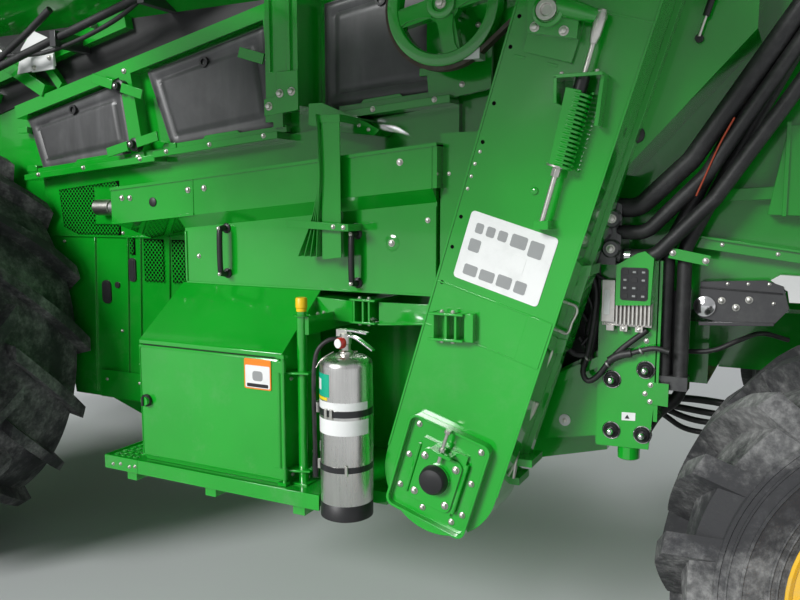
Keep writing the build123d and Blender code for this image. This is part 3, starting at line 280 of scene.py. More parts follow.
finishes = {name: paint(name, *values) for name, values in paints.items()}
finishes.update({
    "coverPlastic": plastic("coverPlastic", (0.062, 0.062, 0.064), 0.34, 300.0, 0.9),
    "blackPlastic": plastic("blackPlastic", (0.013, 0.013, 0.014), 0.4, 500.0, 0.2),
    "greyPlastic": plastic("greyPlastic", (0.16, 0.165, 0.17), 0.5, 400.0, 0.3),
    "capYellow": plastic("capYellow", (0.88, 0.5, 0.008), 0.38, 300.0, 0.1),
    "tankPlastic": plastic("tankPlastic", (0.022, 0.022, 0.024), 0.55, 90.0, 0.7),
    "zinc": metal("zinc", (0.66, 0.65, 0.6), 0.26, scale=90.0),
    "chrome": metal("chrome", (0.8, 0.8, 0.8), 0.06, scale=60.0, stain=0.08),
    "stainless": metal("stainless", (0.74, 0.725, 0.7), 0.22, (1.0, 1.0, 0.04), 160.0, 0.12),
    "castMetal": metal("castMetal", (0.36, 0.36, 0.35), 0.48, scale=120.0, stain=0.35),
    "exhaustSteel": metal("exhaustSteel", (0.42, 0.36, 0.31), 0.34, (0.3, 0.3, 1.0), 25.0, 0.7),
    "aluminium": metal("aluminium", (0.62, 0.6, 0.57), 0.36, scale=70.0, stain=0.3),
    "mirrorGlass": metal("mirrorGlass", (0.88, 0.9, 0.91), 0.02, scale=2.0, stain=0.02),
    "tyreRubber": rubber("tyreRubber", (0.027, 0.0275, 0.03), 0.74, 1.0),
    "hoseRubber": rubber("hoseRubber", (0.012, 0.012, 0.0125), 0.5, 0.14),
    "beltRubber": rubber("beltRubber", (0.055, 0.036, 0.026), 0.62, 0.3),
    "glass": clear("glass", (0.42, 0.52, 0.53), 0.3),
    "lampLens": clear("lampLens", (0.82, 0.85, 0.87), 0.75),
    "amberLens": clear("amberLens", (0.9, 0.3, 0.01), 0.9),
    "redLens": clear("redLens", (0.6, 0.01, 0.01), 0.9),
    "seatCloth": weave("seatCloth", (0.035, 0.036, 0.04)),
    "labelWhite": label("labelWhite", (0.8, 0.81, 0.8)),
    "labelGrey": label("labelGrey", (0.3, 0.31, 0.31)),
    "darkGap": paintedShadeFinish("darkGap", (0.004, 0.0045, 0.004)),
    # Black film for print, also used as painted shade inside openings and recesses
    "labelBlack": label("labelBlack", (0.018, 0.018, 0.02)),
    "labelOrange": label("labelOrange", (0.85, 0.24, 0.015)),
    "labelTeal": label("labelTeal", (0.004, 0.4, 0.24)),
    "labelYellow": label("labelYellow", (0.82, 0.66, 0.02)),
    "tagRed": label("tagRed", (0.45, 0.06, 0.02), 0.5),
})
print(len(finishes), "finishes made")

nodeFinish = {
    "tyreRubber": "front_tyre_left front_tyre_right rear_tyre_left rear_tyre_right",
    "yellowPaint": "front_rim_left front_rim_right rear_rim_left rear_rim_right",
    "coverPlastic": "rotor_covers",
    "blackPaint": "shield_hinges lift_barrels spreader_left spreader_right ladder cab_deck valve_block",
    "castMetal": "engine_block",
    "exhaustSteel": "exhaust_stack",
    "tankPlastic": "fuel_tank",
    "glass": "cab_glass cab_door_glass",
    "seatCloth": "operator_seat",
    "blackPlastic": "cab_controls mirrors",
    "chrome": "lift_rods",
    "hoseRubber": "hydraulic_hoses",
    "beltRubber": "drive_belt",
    "stainless": "extinguisher",
    "lampLens": "work_lamps",
}
finishOf = {node: finish for finish, names in nodeFinish.items() for node in names.split()}
for name, node in nodes.items():
    node.data.materials.clear()
    node.data.materials.append(finishes[finishOf.get(name, "greenPaint")].material)


# New pieces: surfaces worked out as whole arrays
class Piece:
    def __init__(self, name, body="machine", slot="green_paint"):
        self.name, self.body, self.slot = name, body, slot
        self.points, self.faces, self.used, self.count = [], [], [], 0

    def put(self, points, faces, finish):  # faces count from the points that are there already
        points = np.asarray(points, float).reshape(-1, 3)
        self.faces += [[corner + self.count for corner in face] for face in faces]
        self.used += [finish] * len(faces)
        self.points.append(points)
        self.count += len(points)
        return self

    def grid(self, points, finish, around=True, caps=True, closed=False):
        # rows x columns of points; columns close on themselves, and flat caps close both ends,
        # or the last row joins the first where the form is closed
        points = np.asarray(points, float)
        rows, columns = points.shape[:2]
        row, column = np.mgrid[0 : rows if closed else rows - 1, 0 : columns if around else columns - 1]
        beside, below = (column + 1) % columns, (row + 1) % rows
        quads = np.stack(
            [
                row * columns + column, row * columns + beside, below * columns + beside,
                below * columns + column,
            ], -1
        )
        faces = quads.reshape(-1, 4).tolist()
        if around and caps and not closed:
            faces += [list(range(columns))[::-1], list(range((rows - 1) * columns, rows * columns))]
        return self.put(points, faces, finish)

    def plate(self, outline, across, finish="greenPaint", plane="side"):
        # Outline of (x, z) between two y places, (x, y) between two z, or (y, z) between two x
        outline = np.asarray(outline, float)
        first, second = (np.full(len(outline), level) for level in across)
        order = {"side": (0, 2, 1), "floor": (0, 1, 2), "cross": (2, 0, 1)}[plane]
        stack = [np.stack([outline[:, 0], outline[:, 1], level], -1)[:, order] for level in (first, second)]
        return self.grid(np.stack(stack), finish)

    def box(self, x, y, z, finish="greenPaint"):  # low and high on each axis
        return self.plate([(x[0], z[0]), (x[1], z[0]), (x[1], z[1]), (x[0], z[1])], y, finish)

    def tube(self, path, radius, finish, sides=12, caps=True):
        # A ring carried along a path: each ring stands square to the run through its neighbours
        path = np.asarray(path, float)
        run = np.gradient(path, axis=0)
        run /= np.linalg.norm(run, axis=1)[:, None]
        guide = np.array((0.0, 1.0, 0.0)) if abs(run[:, 1]).max() < 0.9 else np.array((0.31, 0.11, 0.94))
        over = np.cross(run, guide)
        over /= np.linalg.norm(over, axis=1)[:, None]
        up = np.cross(over, run)
        turn = np.linspace(0, 2 * np.pi, sides, endpoint=False)
        radius = np.broadcast_to(radius, len(path))[:, None, None]
        ring = over[:, None] * np.cos(turn)[None, :, None] + up[:, None] * np.sin(turn)[None, :, None]
        return self.grid(path[:, None] + radius * ring, finish, caps=caps)

    def lathe(self, profile, centre, axis, finish, sides=32, closed=False):
        # A profile of (radius, distance along the axis) turned about it; closed makes a ring of it
        radius, far = np.asarray(profile, float).T
        axis = np.asarray(axis, float) / np.linalg.norm(axis)
        over = np.cross(axis, (0.0, 0.0, 1.0) if abs(axis[2]) < 0.9 else (1.0, 0.0, 0.0))
        over /= np.linalg.norm(over)
        up = np.cross(axis, over)
        turn = np.linspace(0, 2 * np.pi, sides, endpoint=False)
        ring = over[None] * np.cos(turn)[:, None] + up[None] * np.sin(turn)[:, None]
        points = np.asarray(centre) + radius[:, None, None] * ring[None] + (far[:, None] * axis)[:, None]
        return self.grid(points, finish, closed=closed)

    def bolts(self, spots, normal, size, finish="zinc"):
        # Hex heads on round washers, all in one go
        for spot in np.asarray(spots, float).reshape(-1, 3):
            self.lathe([(size, -0.001), (size, size * 0.18)], spot, normal, finish, 12)
            self.lathe(
                [(size * 0.72, 0), (size * 0.72, size * 0.72), (size * 0.5, size * 0.85)], spot, normal,
                finish, 6,
            )
        return self

    def boltRing(self, centre, radius, count, normal, size, start=0.0):
        # Bolts evenly round a circle: cosine and sine lie on the two axes that the normal leaves
        first, second = circle(radius, count, start)
        flat = np.zeros(count)
        spots = ((flat, second, first), (first, flat, second), (first, second, flat))
        square = spots[int(np.argmax(np.abs(normal)))]
        return self.bolts(np.asarray(centre) + np.stack(square, -1), normal, size)

    def hoop(self, reach, far, centre, axis, finish, sides=32):
        # A ring of four-sided section, between two radii and two places along its axis
        section = [(reach[0], far[0]), (reach[1], far[0]), (reach[1], far[1]), (reach[0], far[1])]
        return self.lathe(section, centre, axis, finish, sides, closed=True)

    def flankTube(self, line, y, radius, finish, sides=12, steps=8):
        # A tube on a smooth run of (x, z) points, all at one depth
        return self.tube(stack(curve(line, steps), y), radius, finish, sides)

    def tile(self, low, high, radius, across, finish="greenPaint", plane="side", steps=4):
        # A plate whose outline is a rectangle with round corners
        return self.plate(rounded(low, high, radius, steps), across, finish, plane)

    def bothSides(self):  # the same again on the other flank
        points, faces, used = np.concatenate(self.points), list(self.faces), list(self.used)
        self.points.append(points * (1, -1, 1))
        self.faces += [[corner + self.count for corner in face][::-1] for face in faces]
        self.used += used
        self.count *= 2
        return self

    def done(self, bevel=0.0, smooth=38.0):  # one mesh with its finishes, riding on its body
        mesh = bpy.data.meshes.new(self.name)
        mesh.from_pydata(place(np.concatenate(self.points)), [], self.faces)
        names = sorted(set(self.used))
        for name in names:
            mesh.materials.append(finishes[name].material)
        mesh.polygons.foreach_set("material_index", [names.index(name) for name in self.used])
        whole = bmesh.new()
        whole.from_mesh(mesh)
        bmesh.ops.recalc_face_normals(whole, faces=whole.faces)
        whole.to_mesh(mesh)
        whole.free()
        mesh.polygons.foreach_set("use_smooth", [True] * len(mesh.polygons))
        mesh.set_sharp_from_angle(angle=math.radians(smooth))
        made = bpy.data.objects.new(self.name, mesh)
        bpy.context.scene.collection.objects.link(made)
        if bevel:
            edge = made.modifiers.new("edge", "BEVEL")
            edge.width, edge.segments = bevel, 2
            edge.limit_method, edge.angle_limit = "ANGLE", math.radians(50)
            edge.harden_normals = False
        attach(made, self.body)
        return made


def curve(points, steps=8):
    # A smooth run through points: each stretch is the cubic that passes both neighbours evenly
    points = np.asarray(points, float)
    ends = np.concatenate([[2 * points[0] - points[1]], points, [2 * points[-1] - points[-2]]])
    a, b, c, d = ends[:-3], ends[1:-2], ends[2:-1], ends[3:]
    t = np.linspace(0, 1, steps, endpoint=False)[None, :, None]
    a, b, c, d = (part[:, None] for part in (a, b, c, d))
    run = 0.5 * (2 * b + (c - a) * t + (2 * a - 5 * b + 4 * c - d) * t**2 + (3 * b - a - 3 * c + d) * t**3)
    return np.concatenate([run.reshape(-1, points.shape[1]), points[-1:]])


# centre + radius times cosine and sine of each bearing
def arc(radius, start, end, steps, centre=(0.0, 0.0)):
    turn = np.radians(np.linspace(start, end, steps))
    return np.stack([centre[0] + radius * np.cos(turn), centre[1] + radius * np.sin(turn)], -1)


def rounded(low, high, radius, steps=4):  # a rectangle with round corners
    (x0, y0), (x1, y1) = low, high
    middles = (
        (x1 - radius, y0 + radius, -90), (x1 - radius, y1 - radius, 0), (x0 + radius, y1 - radius, 90),
        (x0 + radius, y0 + radius, 180),
    )
    return np.concatenate([arc(radius, turn, turn + 90, steps, (x, y)) for x, y, turn in middles])


def patch(quad, u, v):  # a point u across and v up inside four corners, low front first
    a, b, c, d = (np.asarray(corner, float) for corner in quad)
    u, v = np.asarray(u)[..., None], np.asarray(v)[..., None]
    return (a * (1 - u) + b * u) * (1 - v) + (d * (1 - u) + c * u) * v


def circle(radius, count, start=0.0):  # points evenly round a circle, from a starting angle in degrees
    turn = np.radians(start) + np.linspace(0, 2 * np.pi, count, endpoint=False)
    return radius * np.cos(turn), radius * np.sin(turn)


def step(value, low, high):  # 0 to 1 with a smooth start and end
    share = np.clip((np.asarray(value) - low) / (high - low), 0, 1)
    return share * share * (3 - 2 * share)


def stack(flat, y):  # flank points (x, z) set at a depth
    flat = np.asarray(flat, float)
    return np.stack([flat[..., 0], np.broadcast_to(y, flat.shape[:-1]), flat[..., 1]], -1)


# Rotor covers: moulded panels whose field stands up inside a groove, with stiff edge strips
rotor = {
    "face": -1.104,
    "field": 0.01,  # how far the field, the edge strip and the bow stand out
    "strip": 0.007,
    "bow": 0.006,
    "corners": [
        ((0.706, 1.85), (1.309, 1.905), (1.25, 2.25), (0.61, 2.108)),
        ((1.53, 1.94), (2.1, 1.996), (2.046, 2.415), (1.4, 2.278)),
        ((2.33, 2.07), (2.846, 2.1), (2.846, 2.56), (2.33, 2.47)),
    ],
}
covers = Piece("cover_panels", slot="black_plastic")
for corner in rotor["corners"]:
    u, v = np.meshgrid(np.linspace(0, 1, 46), np.linspace(0, 1, 34))
    wide = np.linalg.norm(np.subtract(corner[1], corner[0]))
    high = np.linalg.norm(np.subtract(corner[3], corner[0]))
    sides = np.minimum(u, 1 - u) * wide
    ends = np.minimum(v, 1 - v) * high
    near = np.minimum(sides, ends)
    rise = rotor["field"] * step(near, 0.052, 0.066)
    rise = rise + rotor["strip"] * (step(near, 0.006, 0.012) - step(near, 0.038, 0.046))
    rise = rise + rotor["bow"] * (np.sin(np.pi * u) * np.sin(np.pi * v) - (near < 1e-9))
    flat = patch(corner, u, v)
    covers.grid(
        np.stack([flat[..., 0], rotor["face"] - 0.001 - rise, flat[..., 1]], -1), "coverPlastic",
        around=False,
    )
    ring = patch(corner, [0.5, 0.5], [0.86, 0.86])[0]
    covers.lathe(
        [(0.022, 0), (0.022, 0.014), (0.013, 0.014), (0.012, 0.006), (0.002, 0.005)],
        (ring[0], -1.112, ring[1]), toLeft, "blackPlastic", 24,
    )
covers.bothSides().done(smooth=50)

# Lips under the covers, corner tabs, wing latches on the slanted posts and the column's foot
latchParts = {
    "lips": (
        ((0.66, 1.838), (1.5, 1.912), 0.075), ((1.5, 1.925), (2.16, 1.985), 0.085),
        ((2.3, 2.035), (2.9, 2.085), 0.075),
    ),
    "tabs": ((0.6, 2.055), (0.655, 1.868), (1.268, 1.945), (2.095, 2.04), (1.545, 1.948), (2.79, 2.175)),
    "wings": (((1.29, 2.215), -17), ((1.368, 1.958), 12), ((2.118, 2.26), -17)),
    "columnFoot": [(2.146, 2.035), (2.304, 2.052), (2.304, 2.2), (2.206, 2.2), (2.206, 2.11), (2.146, 2.1)],
    "footBolts": [(2.222, 2.118), (2.276, 2.122), (2.17, 2.072)],
    "studs": [(1.297, 2.285), (1.362, 1.905), (2.085, 2.38)],
    "columnEdges": (2.166, 2.258),
}
latches = Piece("cover_latches")
for low, high, depth in latchParts["lips"]:
    run = np.array([low, high])
    for shift, out in ((0.0, -1.13), (-0.03, -1.11 - depth)):
        latches.plate(
            [
                run[0] + (0, shift), run[1] + (0, shift), run[1] + (0, shift + 0.028),
                run[0] + (0, shift + 0.028),
            ],
            (-1.1, out),
        )
    notch = patch(
        (run[0], run[1], run[1] + (0, 0.04), run[0] + (0, 0.04)), [0.3, 0.36, 0.62, 0.68], [0, 1, 1, 0]
    )
    latches.plate(notch, (-1.115, -1.128))
    spots = patch((run[0], run[1], run[1], run[0]), [0.12, 0.48, 0.9], [0, 0, 0]) - (0, 0.012)
    latches.bolts([(x, -1.11 - depth, z) for x, z in spots], toLeft, 0.011)
for x, z in latchParts["tabs"]:
    latches.box((x - 0.034, x + 0.034), (-1.135, -1.1), (z - 0.014, z + 0.014))
for (x, z), swing in latchParts["wings"]:
    turn = math.radians(swing)
    way = np.array([math.cos(turn), math.sin(turn)])
    for side in (-1, 1):
        tip = np.array((x, z)) + way * 0.155 * side
        root = np.array((x, z)) + way * 0.028 * side
        off = np.array([-way[1], way[0]]) * 0.021
        latches.plate([root - off, tip - off, tip + off, root + off], (-1.176, -1.184), "greenPaint")
    latches.lathe(
        [(0.03, 0), (0.03, 0.03), (0.018, 0.034), (0.016, 0.052)], (x, -1.141, z), toLeft, "blackPlastic",
        16,
    )
    latches.bolts([(x, -1.19, z)], toLeft, 0.012)
latches.plate(latchParts["columnFoot"], (-1.248, -1.258))
latches.bolts(stack(latchParts["footBolts"], -1.258), toLeft, 0.017)
latches.bolts(stack(latchParts["studs"], -1.141), toLeft, 0.013)
for x in latchParts["columnEdges"]:  # folded edges down the column
    latches.box((x, x + 0.014), (-1.262, -1.24), (2.2, 2.68))
latches.bothSides().done(0.0018)

# Bay above the covers, its dark back a painted shade, with its frame, rods, a pale bracket and the lines
# that pass in front
bayParts = {
    "back": [(-0.4, 1.96), (0.56, 2.19), (2.14, 2.52), (2.14, 2.535), (1.06, 2.535), (-0.4, 2.535)],
    "rods": (
        ((-0.3, 2.18), (1.3, 2.52), 0.045, -1.13), ((0.25, 2.52), (0.78, 2.23), 0.03, -1.15),
        ((0.62, 2.52), (0.86, 2.25), 0.02, -1.12), ((-0.1, 2.5), (0.4, 2.22), 0.024, -1.16),
    ),
    "fittings": ((0.05, 2.42), (0.22, 2.3), (0.44, 2.43), (0.92, 2.46), (1.12, 2.5), (-0.12, 2.3)),
    "bracket": [(0.62, 2.315), (0.885, 2.335), (0.872, 2.455), (0.74, 2.51), (0.655, 2.43)],
    "bracketFoot": [(0.735, 2.315), (0.885, 2.32), (0.885, 2.39), (0.735, 2.385)],
    "bracketBolts": [(0.755, 2.335), (0.862, 2.372)],
    "lines": (
        (((0.05, 2.18), (0.6, 2.33), (1.3, 2.5), (1.8, 2.62)), 0.018),
        (((-0.35, 2.13), (0.4, 2.29), (0.72, 2.42), (0.98, 2.56)), 0.016),
        (((0.6, 2.39), (0.95, 2.38), (1.35, 2.47), (1.62, 2.6)), 0.01),
        (((-0.3, 2.36), (0.1, 2.4), (0.3, 2.3), (0.55, 2.38)), 0.008),
    ),
    "clips": ((0.33, 2.255), (1.02, 2.43), (1.55, 2.56)),
}
bay = Piece("upper_bay", slot="dark_green")
# The black back plate is painted shade for the bay's depth
bay.plate(bayParts["back"], (-1.078, -1.086), "blackPlastic")
for low, high, wide, out in bayParts["rods"]:
    way = np.subtract(high, low) / np.linalg.norm(np.subtract(high, low))
    off = np.array([-way[1], way[0]]) * wide
    bay.plate(
        [np.array(low) - off, np.array(high) - off, np.array(high) + off, np.array(low) + off], (-1.08, out)
    )
for x, z in bayParts["fittings"]:
    bay.lathe(
        [(0.028, 0), (0.028, 0.03), (0.014, 0.034), (0.014, 0.075), (0.003, 0.078)], (x, -1.086, z), toLeft,
        "castMetal", 14,
    )
bay.plate(bayParts["bracket"], (-1.155, -1.162), "whitePaint")
bay.plate(bayParts["bracketFoot"], (-1.162, -1.172), "whitePaint")
bay.bolts(stack(bayParts["bracketBolts"], -1.172), toLeft, 0.013)
for spots, size in bayParts["lines"]:
    bay.flankTube(spots, -1.24 - size, size, "hoseRubber", 12, 10)
for x, z in bayParts["clips"]:
    bay.box((x - 0.018, x + 0.018), (-1.285, -1.09), (z - 0.04, z + 0.03), "blackPaint")
bay.bothSides().done(0.0015)


# Vented zones: a thin sheet of diamond cells, each cut by a hole, over a dark back of painted shade
def vent(piece, corners, y, skip=None, pitch=0.0215, rise=0.0115, hole=0.0067):
    corners = np.asarray(corners, float)  # counter-clockwise (x, z)
    low, high = corners.min(0), corners.max(0)
    column, row = np.meshgrid(*(np.arange(int(span) + 1) for span in (high - low) / (pitch, rise)))
    spot = np.stack(
        [low[0] + (column + 0.3 + 0.5 * (row % 2)) * pitch, low[1] + (row + 0.7) * rise], -1
    ).reshape(-1, 2)
    edge = np.roll(corners, -1, 0) - corners
    edge /= np.linalg.norm(edge, axis=1)[:, None]
    away = spot[:, None] - corners
    inside = (edge[:, 0] * away[..., 1] - edge[:, 1] * away[..., 0] > 0.45 * hole).all(1)
    if skip:
        inside &= ~((spot > skip[0]) & (spot < skip[1])).all(1)
        piece.box((skip[0][0], skip[1][0]), (y, y + 0.006), (skip[0][1], skip[1][1]))
    spot = spot[inside]
    outer = np.array(
        [(2, 0), (1, 1), (0, 2), (-1, 1), (-2, 0), (-1, -1), (0, -2), (1, -1)]
    ) * (pitch / 4, rise / 2)
    both = np.concatenate([outer, np.stack(circle(hole, 8), -1)])
    flat = (spot[:, None] + both).reshape(-1, 2)
    spin = np.arange(8)
    ring = np.stack([spin, (spin + 1) % 8, (spin + 1) % 8 + 8, spin + 8], -1)
    faces = (np.arange(len(spot))[:, None, None] * 16 + ring).reshape(-1, 4)[:, ::-1].tolist()
    piece.put(np.stack([flat[:, 0], np.full(len(flat), y), flat[:, 1]], -1), faces, "greenPaint")
    # The dark back behind the holes is painted shade for the depth behind the sheet
    piece.plate(corners, (y + 0.0015, y + 0.006), "darkGap")


ventParts = {
    "windows": (
        ((1.262, 1.462), (1.292, 1.543)), ((1.348, 1.342), (1.466, 1.537)), ((1.517, 1.342), (1.598, 1.536))
    ),
    "grabs": ((1.272, 1.392, 0.014, 0.048), (1.101, 1.281, 0.021, 0.049)),
    "seams": (1.035, 1.246, 1.325, 1.5),
    "bolts": [
        (0.83, -1.112, 1.515), (1.22, -1.112, 1.562), (1.19, -1.112, 1.1), (1.3, -1.112, 0.95),
        (1.09, -1.124, 0.86), (1.3, -1.124, 0.86),
    ],
}
vents = Piece("vented_sheets")
grille = [(0.835, 1.586), (0.928, 1.552), (1.206, 1.552), (1.206, 1.803), (0.812, 1.764)]
vent(vents, grille, -1.1165, ((1.05, 1.602), (1.21, 1.776)))
for low, high in ventParts["windows"]:
    vent(vents, [low, (high[0], low[1]), high, (low[0], high[1])], -1.1165)
for x, z, wide, high in ventParts["grabs"]:  # long grab openings
    loop = rounded((-wide, -high), (wide, high), wide * 0.98, 7)
    # A black rim round each opening, and inside it a plate of painted shade for the hole
    for grow, out, finish in ((0.007, -1.1175, "blackPlastic"), (0.0, -1.1195, "labelBlack")):
        vents.plate(loop * (1 + grow / wide, 1 + grow / high) + (x, z), (-1.108, out), finish)
vents.lathe(
    [(0.015, 0), (0.015, 0.008), (0.008, 0.008)], (1.172, -1.109, 1.317), toLeft, "blackPlastic", 16
)
for x in ventParts["seams"]:  # folded seams between the lower sheets
    vents.plate([(x - 0.03, 0.79), (x - 0.022, 0.79), (x + 0.008, 1.548), (x, 1.548)], (-1.108, -1.119))
vents.box((0.745, 1.4), (-1.121, -1.108), (1.541, 1.549))
vents.plate([(1.045, 0.772), (1.86, 0.772), (1.86, 0.905), (1.05, 0.905)], (-1.108, -1.124), "greenPaint")
vents.tube([(1.108, -1.15, 1.68), (1.2, -1.15, 1.68)], 0.037, "zinc", 24)
vents.tube([(1.195, -1.15, 1.68), (1.4, -1.15, 1.68)], 0.03, "castMetal", 16)
vents.bolts(ventParts["bolts"], toLeft, 0.008)
vents.bothSides().done(0.0006)

# Ledge box, bin and closing panel: bolts with washers, the seam plate, wear rings and black grab handles
binWall = {
    "rise": math.tan(math.radians(5.24)), "low": 1.611, "front": 1.395,
    "ledgeBolts": [
        (1.459, 1.721), (1.505, 1.721), (1.823, 1.752), (1.906, 1.759), (2.781, 1.841), (2.5, 1.862)
    ],
    "faceBolts": [(1.835, 1.484), (2.87, 1.64)],
    "seams": ((1.845, 1.85, -1.338, -1.3425), (2.898, 2.904, -1.3, -1.3425)),
    "uprights": (1.77, 2.9),
    "handles": ((1.982, 1.42, 1.6), (2.586, 1.408, 1.588)),
    "rearBolts": [(2.945, 1.8), (2.945, 1.5)],
}


def ledgeLow(x):  # z of the ledge's lower edge: its height at the front plus the rise per metre times x
    return binWall["low"] + (x - binWall["front"]) * binWall["rise"]


trim = Piece("bin_trim")
trim.bolts(stack(binWall["ledgeBolts"], -1.34), toLeft, 0.0125)
trim.bolts(stack(binWall["faceBolts"], -1.3), toLeft, 0.01)
trim.lathe([(0.019, 0), (0.019, 0.006), (0.012, 0.009)], (1.633, -1.338, 1.704), toLeft, "blackPlastic", 20)
trim.lathe(
    [(0.03, 0), (0.03, 0.002), (0.021, 0.004), (0.021, 0.002)], (2.728, -1.299, 1.557), toLeft,
    "greenPaint", 28,
)
trim.bolts([(2.728, -1.301, 1.557)], toLeft, 0.013)
for x0, x1, y0, y1 in binWall["seams"]:
    trim.plate(
        [(x0, ledgeLow(x0)), (x1, ledgeLow(x1)), (x1, ledgeLow(x1) + 0.147), (x0, ledgeLow(x0) + 0.147)],
        (y0, y1),
    )
trim.plate(
    [
        (x, ledgeLow(x) + 0.147 + up)
        for x, up in ((1.395, -0.006), (2.922, -0.006), (2.922, 0.006), (1.395, 0.006))
    ],
    (-1.12, -1.346),
)
trim.plate(
    [(x, ledgeLow(x) + up) for x, up in ((1.395, -0.002), (1.85, -0.002), (1.85, 0.008), (1.395, 0.008))],
    (-1.12, -1.344),
)
under = [
    [(x, -1.112, ledgeLow(x) + 0.004), (x, -1.336, ledgeLow(x) + 0.004), (x, -1.112, ledgeLow(x) - 0.07)]
    for x in (1.397, 1.768)
]
trim.grid(under, "greenPaint")
for x in binWall["uprights"]:
    trim.box((x - 0.004, x + 0.004), (-1.305, -1.29), (1.38, ledgeLow(x) - 0.06))
trim.box((1.77, 2.9), (-1.306, -1.2), (1.373, 1.38))
for x, low, high in binWall["handles"]:
    path = curve(
        [
            (x, -1.298, high), (x, -1.33, high), (x, -1.345, high - 0.02), (x, -1.345, low + 0.02),
            (x, -1.33, low), (x, -1.298, low),
        ],
        6,
    )
    trim.tube(path, 0.0115, "blackPlastic", 12)
    for z in (low, high):
        trim.lathe([(0.02, 0), (0.02, 0.006), (0.014, 0.01)], (x, -1.299, z), toLeft, "blackPlastic", 20)
        trim.bolts([(x, -1.352, z)], toLeft, 0.008)
trim.bolts(stack(binWall["rearBolts"], -1.29), toLeft, 0.007)
trim.bothSides().done(0.0008)

# Bundle of curved strips that hangs below the column, in a clip
stripParts = {
    "backStrip": [(2.482, 2.0), (2.56, 2.0), (2.562, 1.505), (2.482, 1.495)],
    "clip": [(2.345, 1.612), (2.61, 1.6), (2.61, 1.626), (2.345, 1.64)],
    "clipBolts": [(2.548, 1.616), (2.59, 1.614)],
    "shelf": [
        (2.34, 2.075), (2.4, 2.075), (2.6, 1.99), (2.645, 1.965), (2.625, 1.945), (2.5, 1.96), (2.34, 1.995)
    ],
    "shelfBolts": [(2.56, 1.985), (2.6, 1.968)],
}
strips = Piece("strip_bundle")
for row in range(4):
    path = curve(
        [
            (2.47, 2.015), (2.478, 1.95), (2.476 + 0.002 * row, 1.8), (2.452 + 0.007 * row, 1.66),
            (2.385 + 0.027 * row, 1.505),
        ],
        8,
    )
    across = np.array([(-1.338, 0.0), (-1.395, 0.0), (-1.395, 0.003), (-1.338, 0.003)])
    strips.grid(
        np.stack(
            [np.stack([path[:, 0] + thick, np.full(len(path), y), path[:, 1]], -1) for y, thick in across],
            1,
        ),
        "greenPaint",
    )
strips.plate(stripParts["backStrip"], (-1.374, -1.378))
strips.plate(stripParts["clip"], (-1.402, -1.408))
strips.box((2.565, 2.605), (-1.402, -1.295), (1.6, 1.626))
strips.bolts(stack(stripParts["clipBolts"], -1.408), toLeft, 0.009)
strips.plate(stripParts["shelf"], (-1.12, -1.24))
strips.box((2.462, 2.562), (-1.38, -1.11), (1.985, 2.012))
strips.bolts(stack(stripParts["shelfBolts"], -1.24), toLeft, 0.008)
strips.done(0.0008)

# Drive pulley: rolled rim lips, spoke ribs, hub with its bolt, a bolt ring, a white block and a back plate
# with its bolts
pulley = {
    "x": 2.915, "z": 2.368, "face": -1.286,
    "backPlate": [(2.8, 2.06), (3.04, 2.1), (3.05, 2.5), (2.79, 2.5), (2.79, 2.18)],
    "backBolts": [(2.93, 2.12), (2.88, 2.22)],
}
wheel = Piece("pulley_face")
middle = (pulley["x"], pulley["face"], pulley["z"])
wheel.lathe(
    [(0.206, -0.036), (0.206, 0.01), (0.2, 0.014), (0.168, 0.014), (0.164, 0.008), (0.163, -0.036)], middle,
    toLeft, "greenPaint", 72, closed=True,
)
wheel.lathe(
    [(0.052, -0.03), (0.052, 0.02), (0.044, 0.026), (0.03, 0.026), (0.026, 0.016), (0.004, 0.016)], middle,
    toLeft, "greenPaint", 32,
)
wheel.bolts([(pulley["x"], pulley["face"] - 0.016, pulley["z"])], toLeft, 0.02)
for turn in np.radians((12, 102, 192, 282)):
    way, off = np.array([math.cos(turn), math.sin(turn)]), np.array([-math.sin(turn), math.cos(turn)])
    ends = [(0.045, 0.034), (0.09, 0.022), (0.14, 0.02), (0.168, 0.03)]
    outline = [(pulley["x"], pulley["z"]) + way * far + off * half for far, half in ends]
    outline += [(pulley["x"], pulley["z"]) + way * far - off * half for far, half in reversed(ends)]
    wheel.plate(outline, (pulley["face"] + 0.01, pulley["face"] - 0.009))
wheel.bolts(
    [
        (pulley["x"] + 0.088 * math.cos(t), -1.145, pulley["z"] + 0.088 * math.sin(t))
        for t in np.radians((57, 147, 237, 327))
    ],
    toLeft,
    0.01,
)
wheel.box((2.985, 3.052), (-1.29, -1.235), (2.178, 2.222), "whitePaint")
wheel.plate(pulley["backPlate"], (-1.13, -1.145))
wheel.bolts(stack(pulley["backBolts"], -1.145), toLeft, 0.011)
wheel.done(0.0012)

# Return elevator: places on its leaning casing, measured across it and up it from the boot's shaft
casing = {
    "x": 3.01, "z": 0.8, "half": 0.205, "long": 1.85, "lean": math.radians(17.0),
    "laps": (0.47, 0.62, 1.52),
    "welds": ((-0.165, 1.345), (-0.06, 1.345), (0.05, 1.345), (0.085, 1.235)),
}


def onCasing(wide, up):
    # The shaft's place plus wide along the casing's width and up along its lean, each by cosine and sine
    wide, up = np.asarray(wide, float), np.asarray(up, float)
    lean = casing["lean"]
    return np.stack(
        [
            casing["x"] + wide * math.cos(lean) + up * math.sin(lean),
            casing["z"] - wide * math.sin(lean) + up * math.cos(lean),
        ],
        -1,
    )


def band(piece, wide, up, y, finish="greenPaint"):  # a plate square to the casing
    outline = onCasing([wide[0], wide[1], wide[1], wide[0]], [up[0], up[0], up[1], up[1]])
    return piece.plate(outline, y, finish)


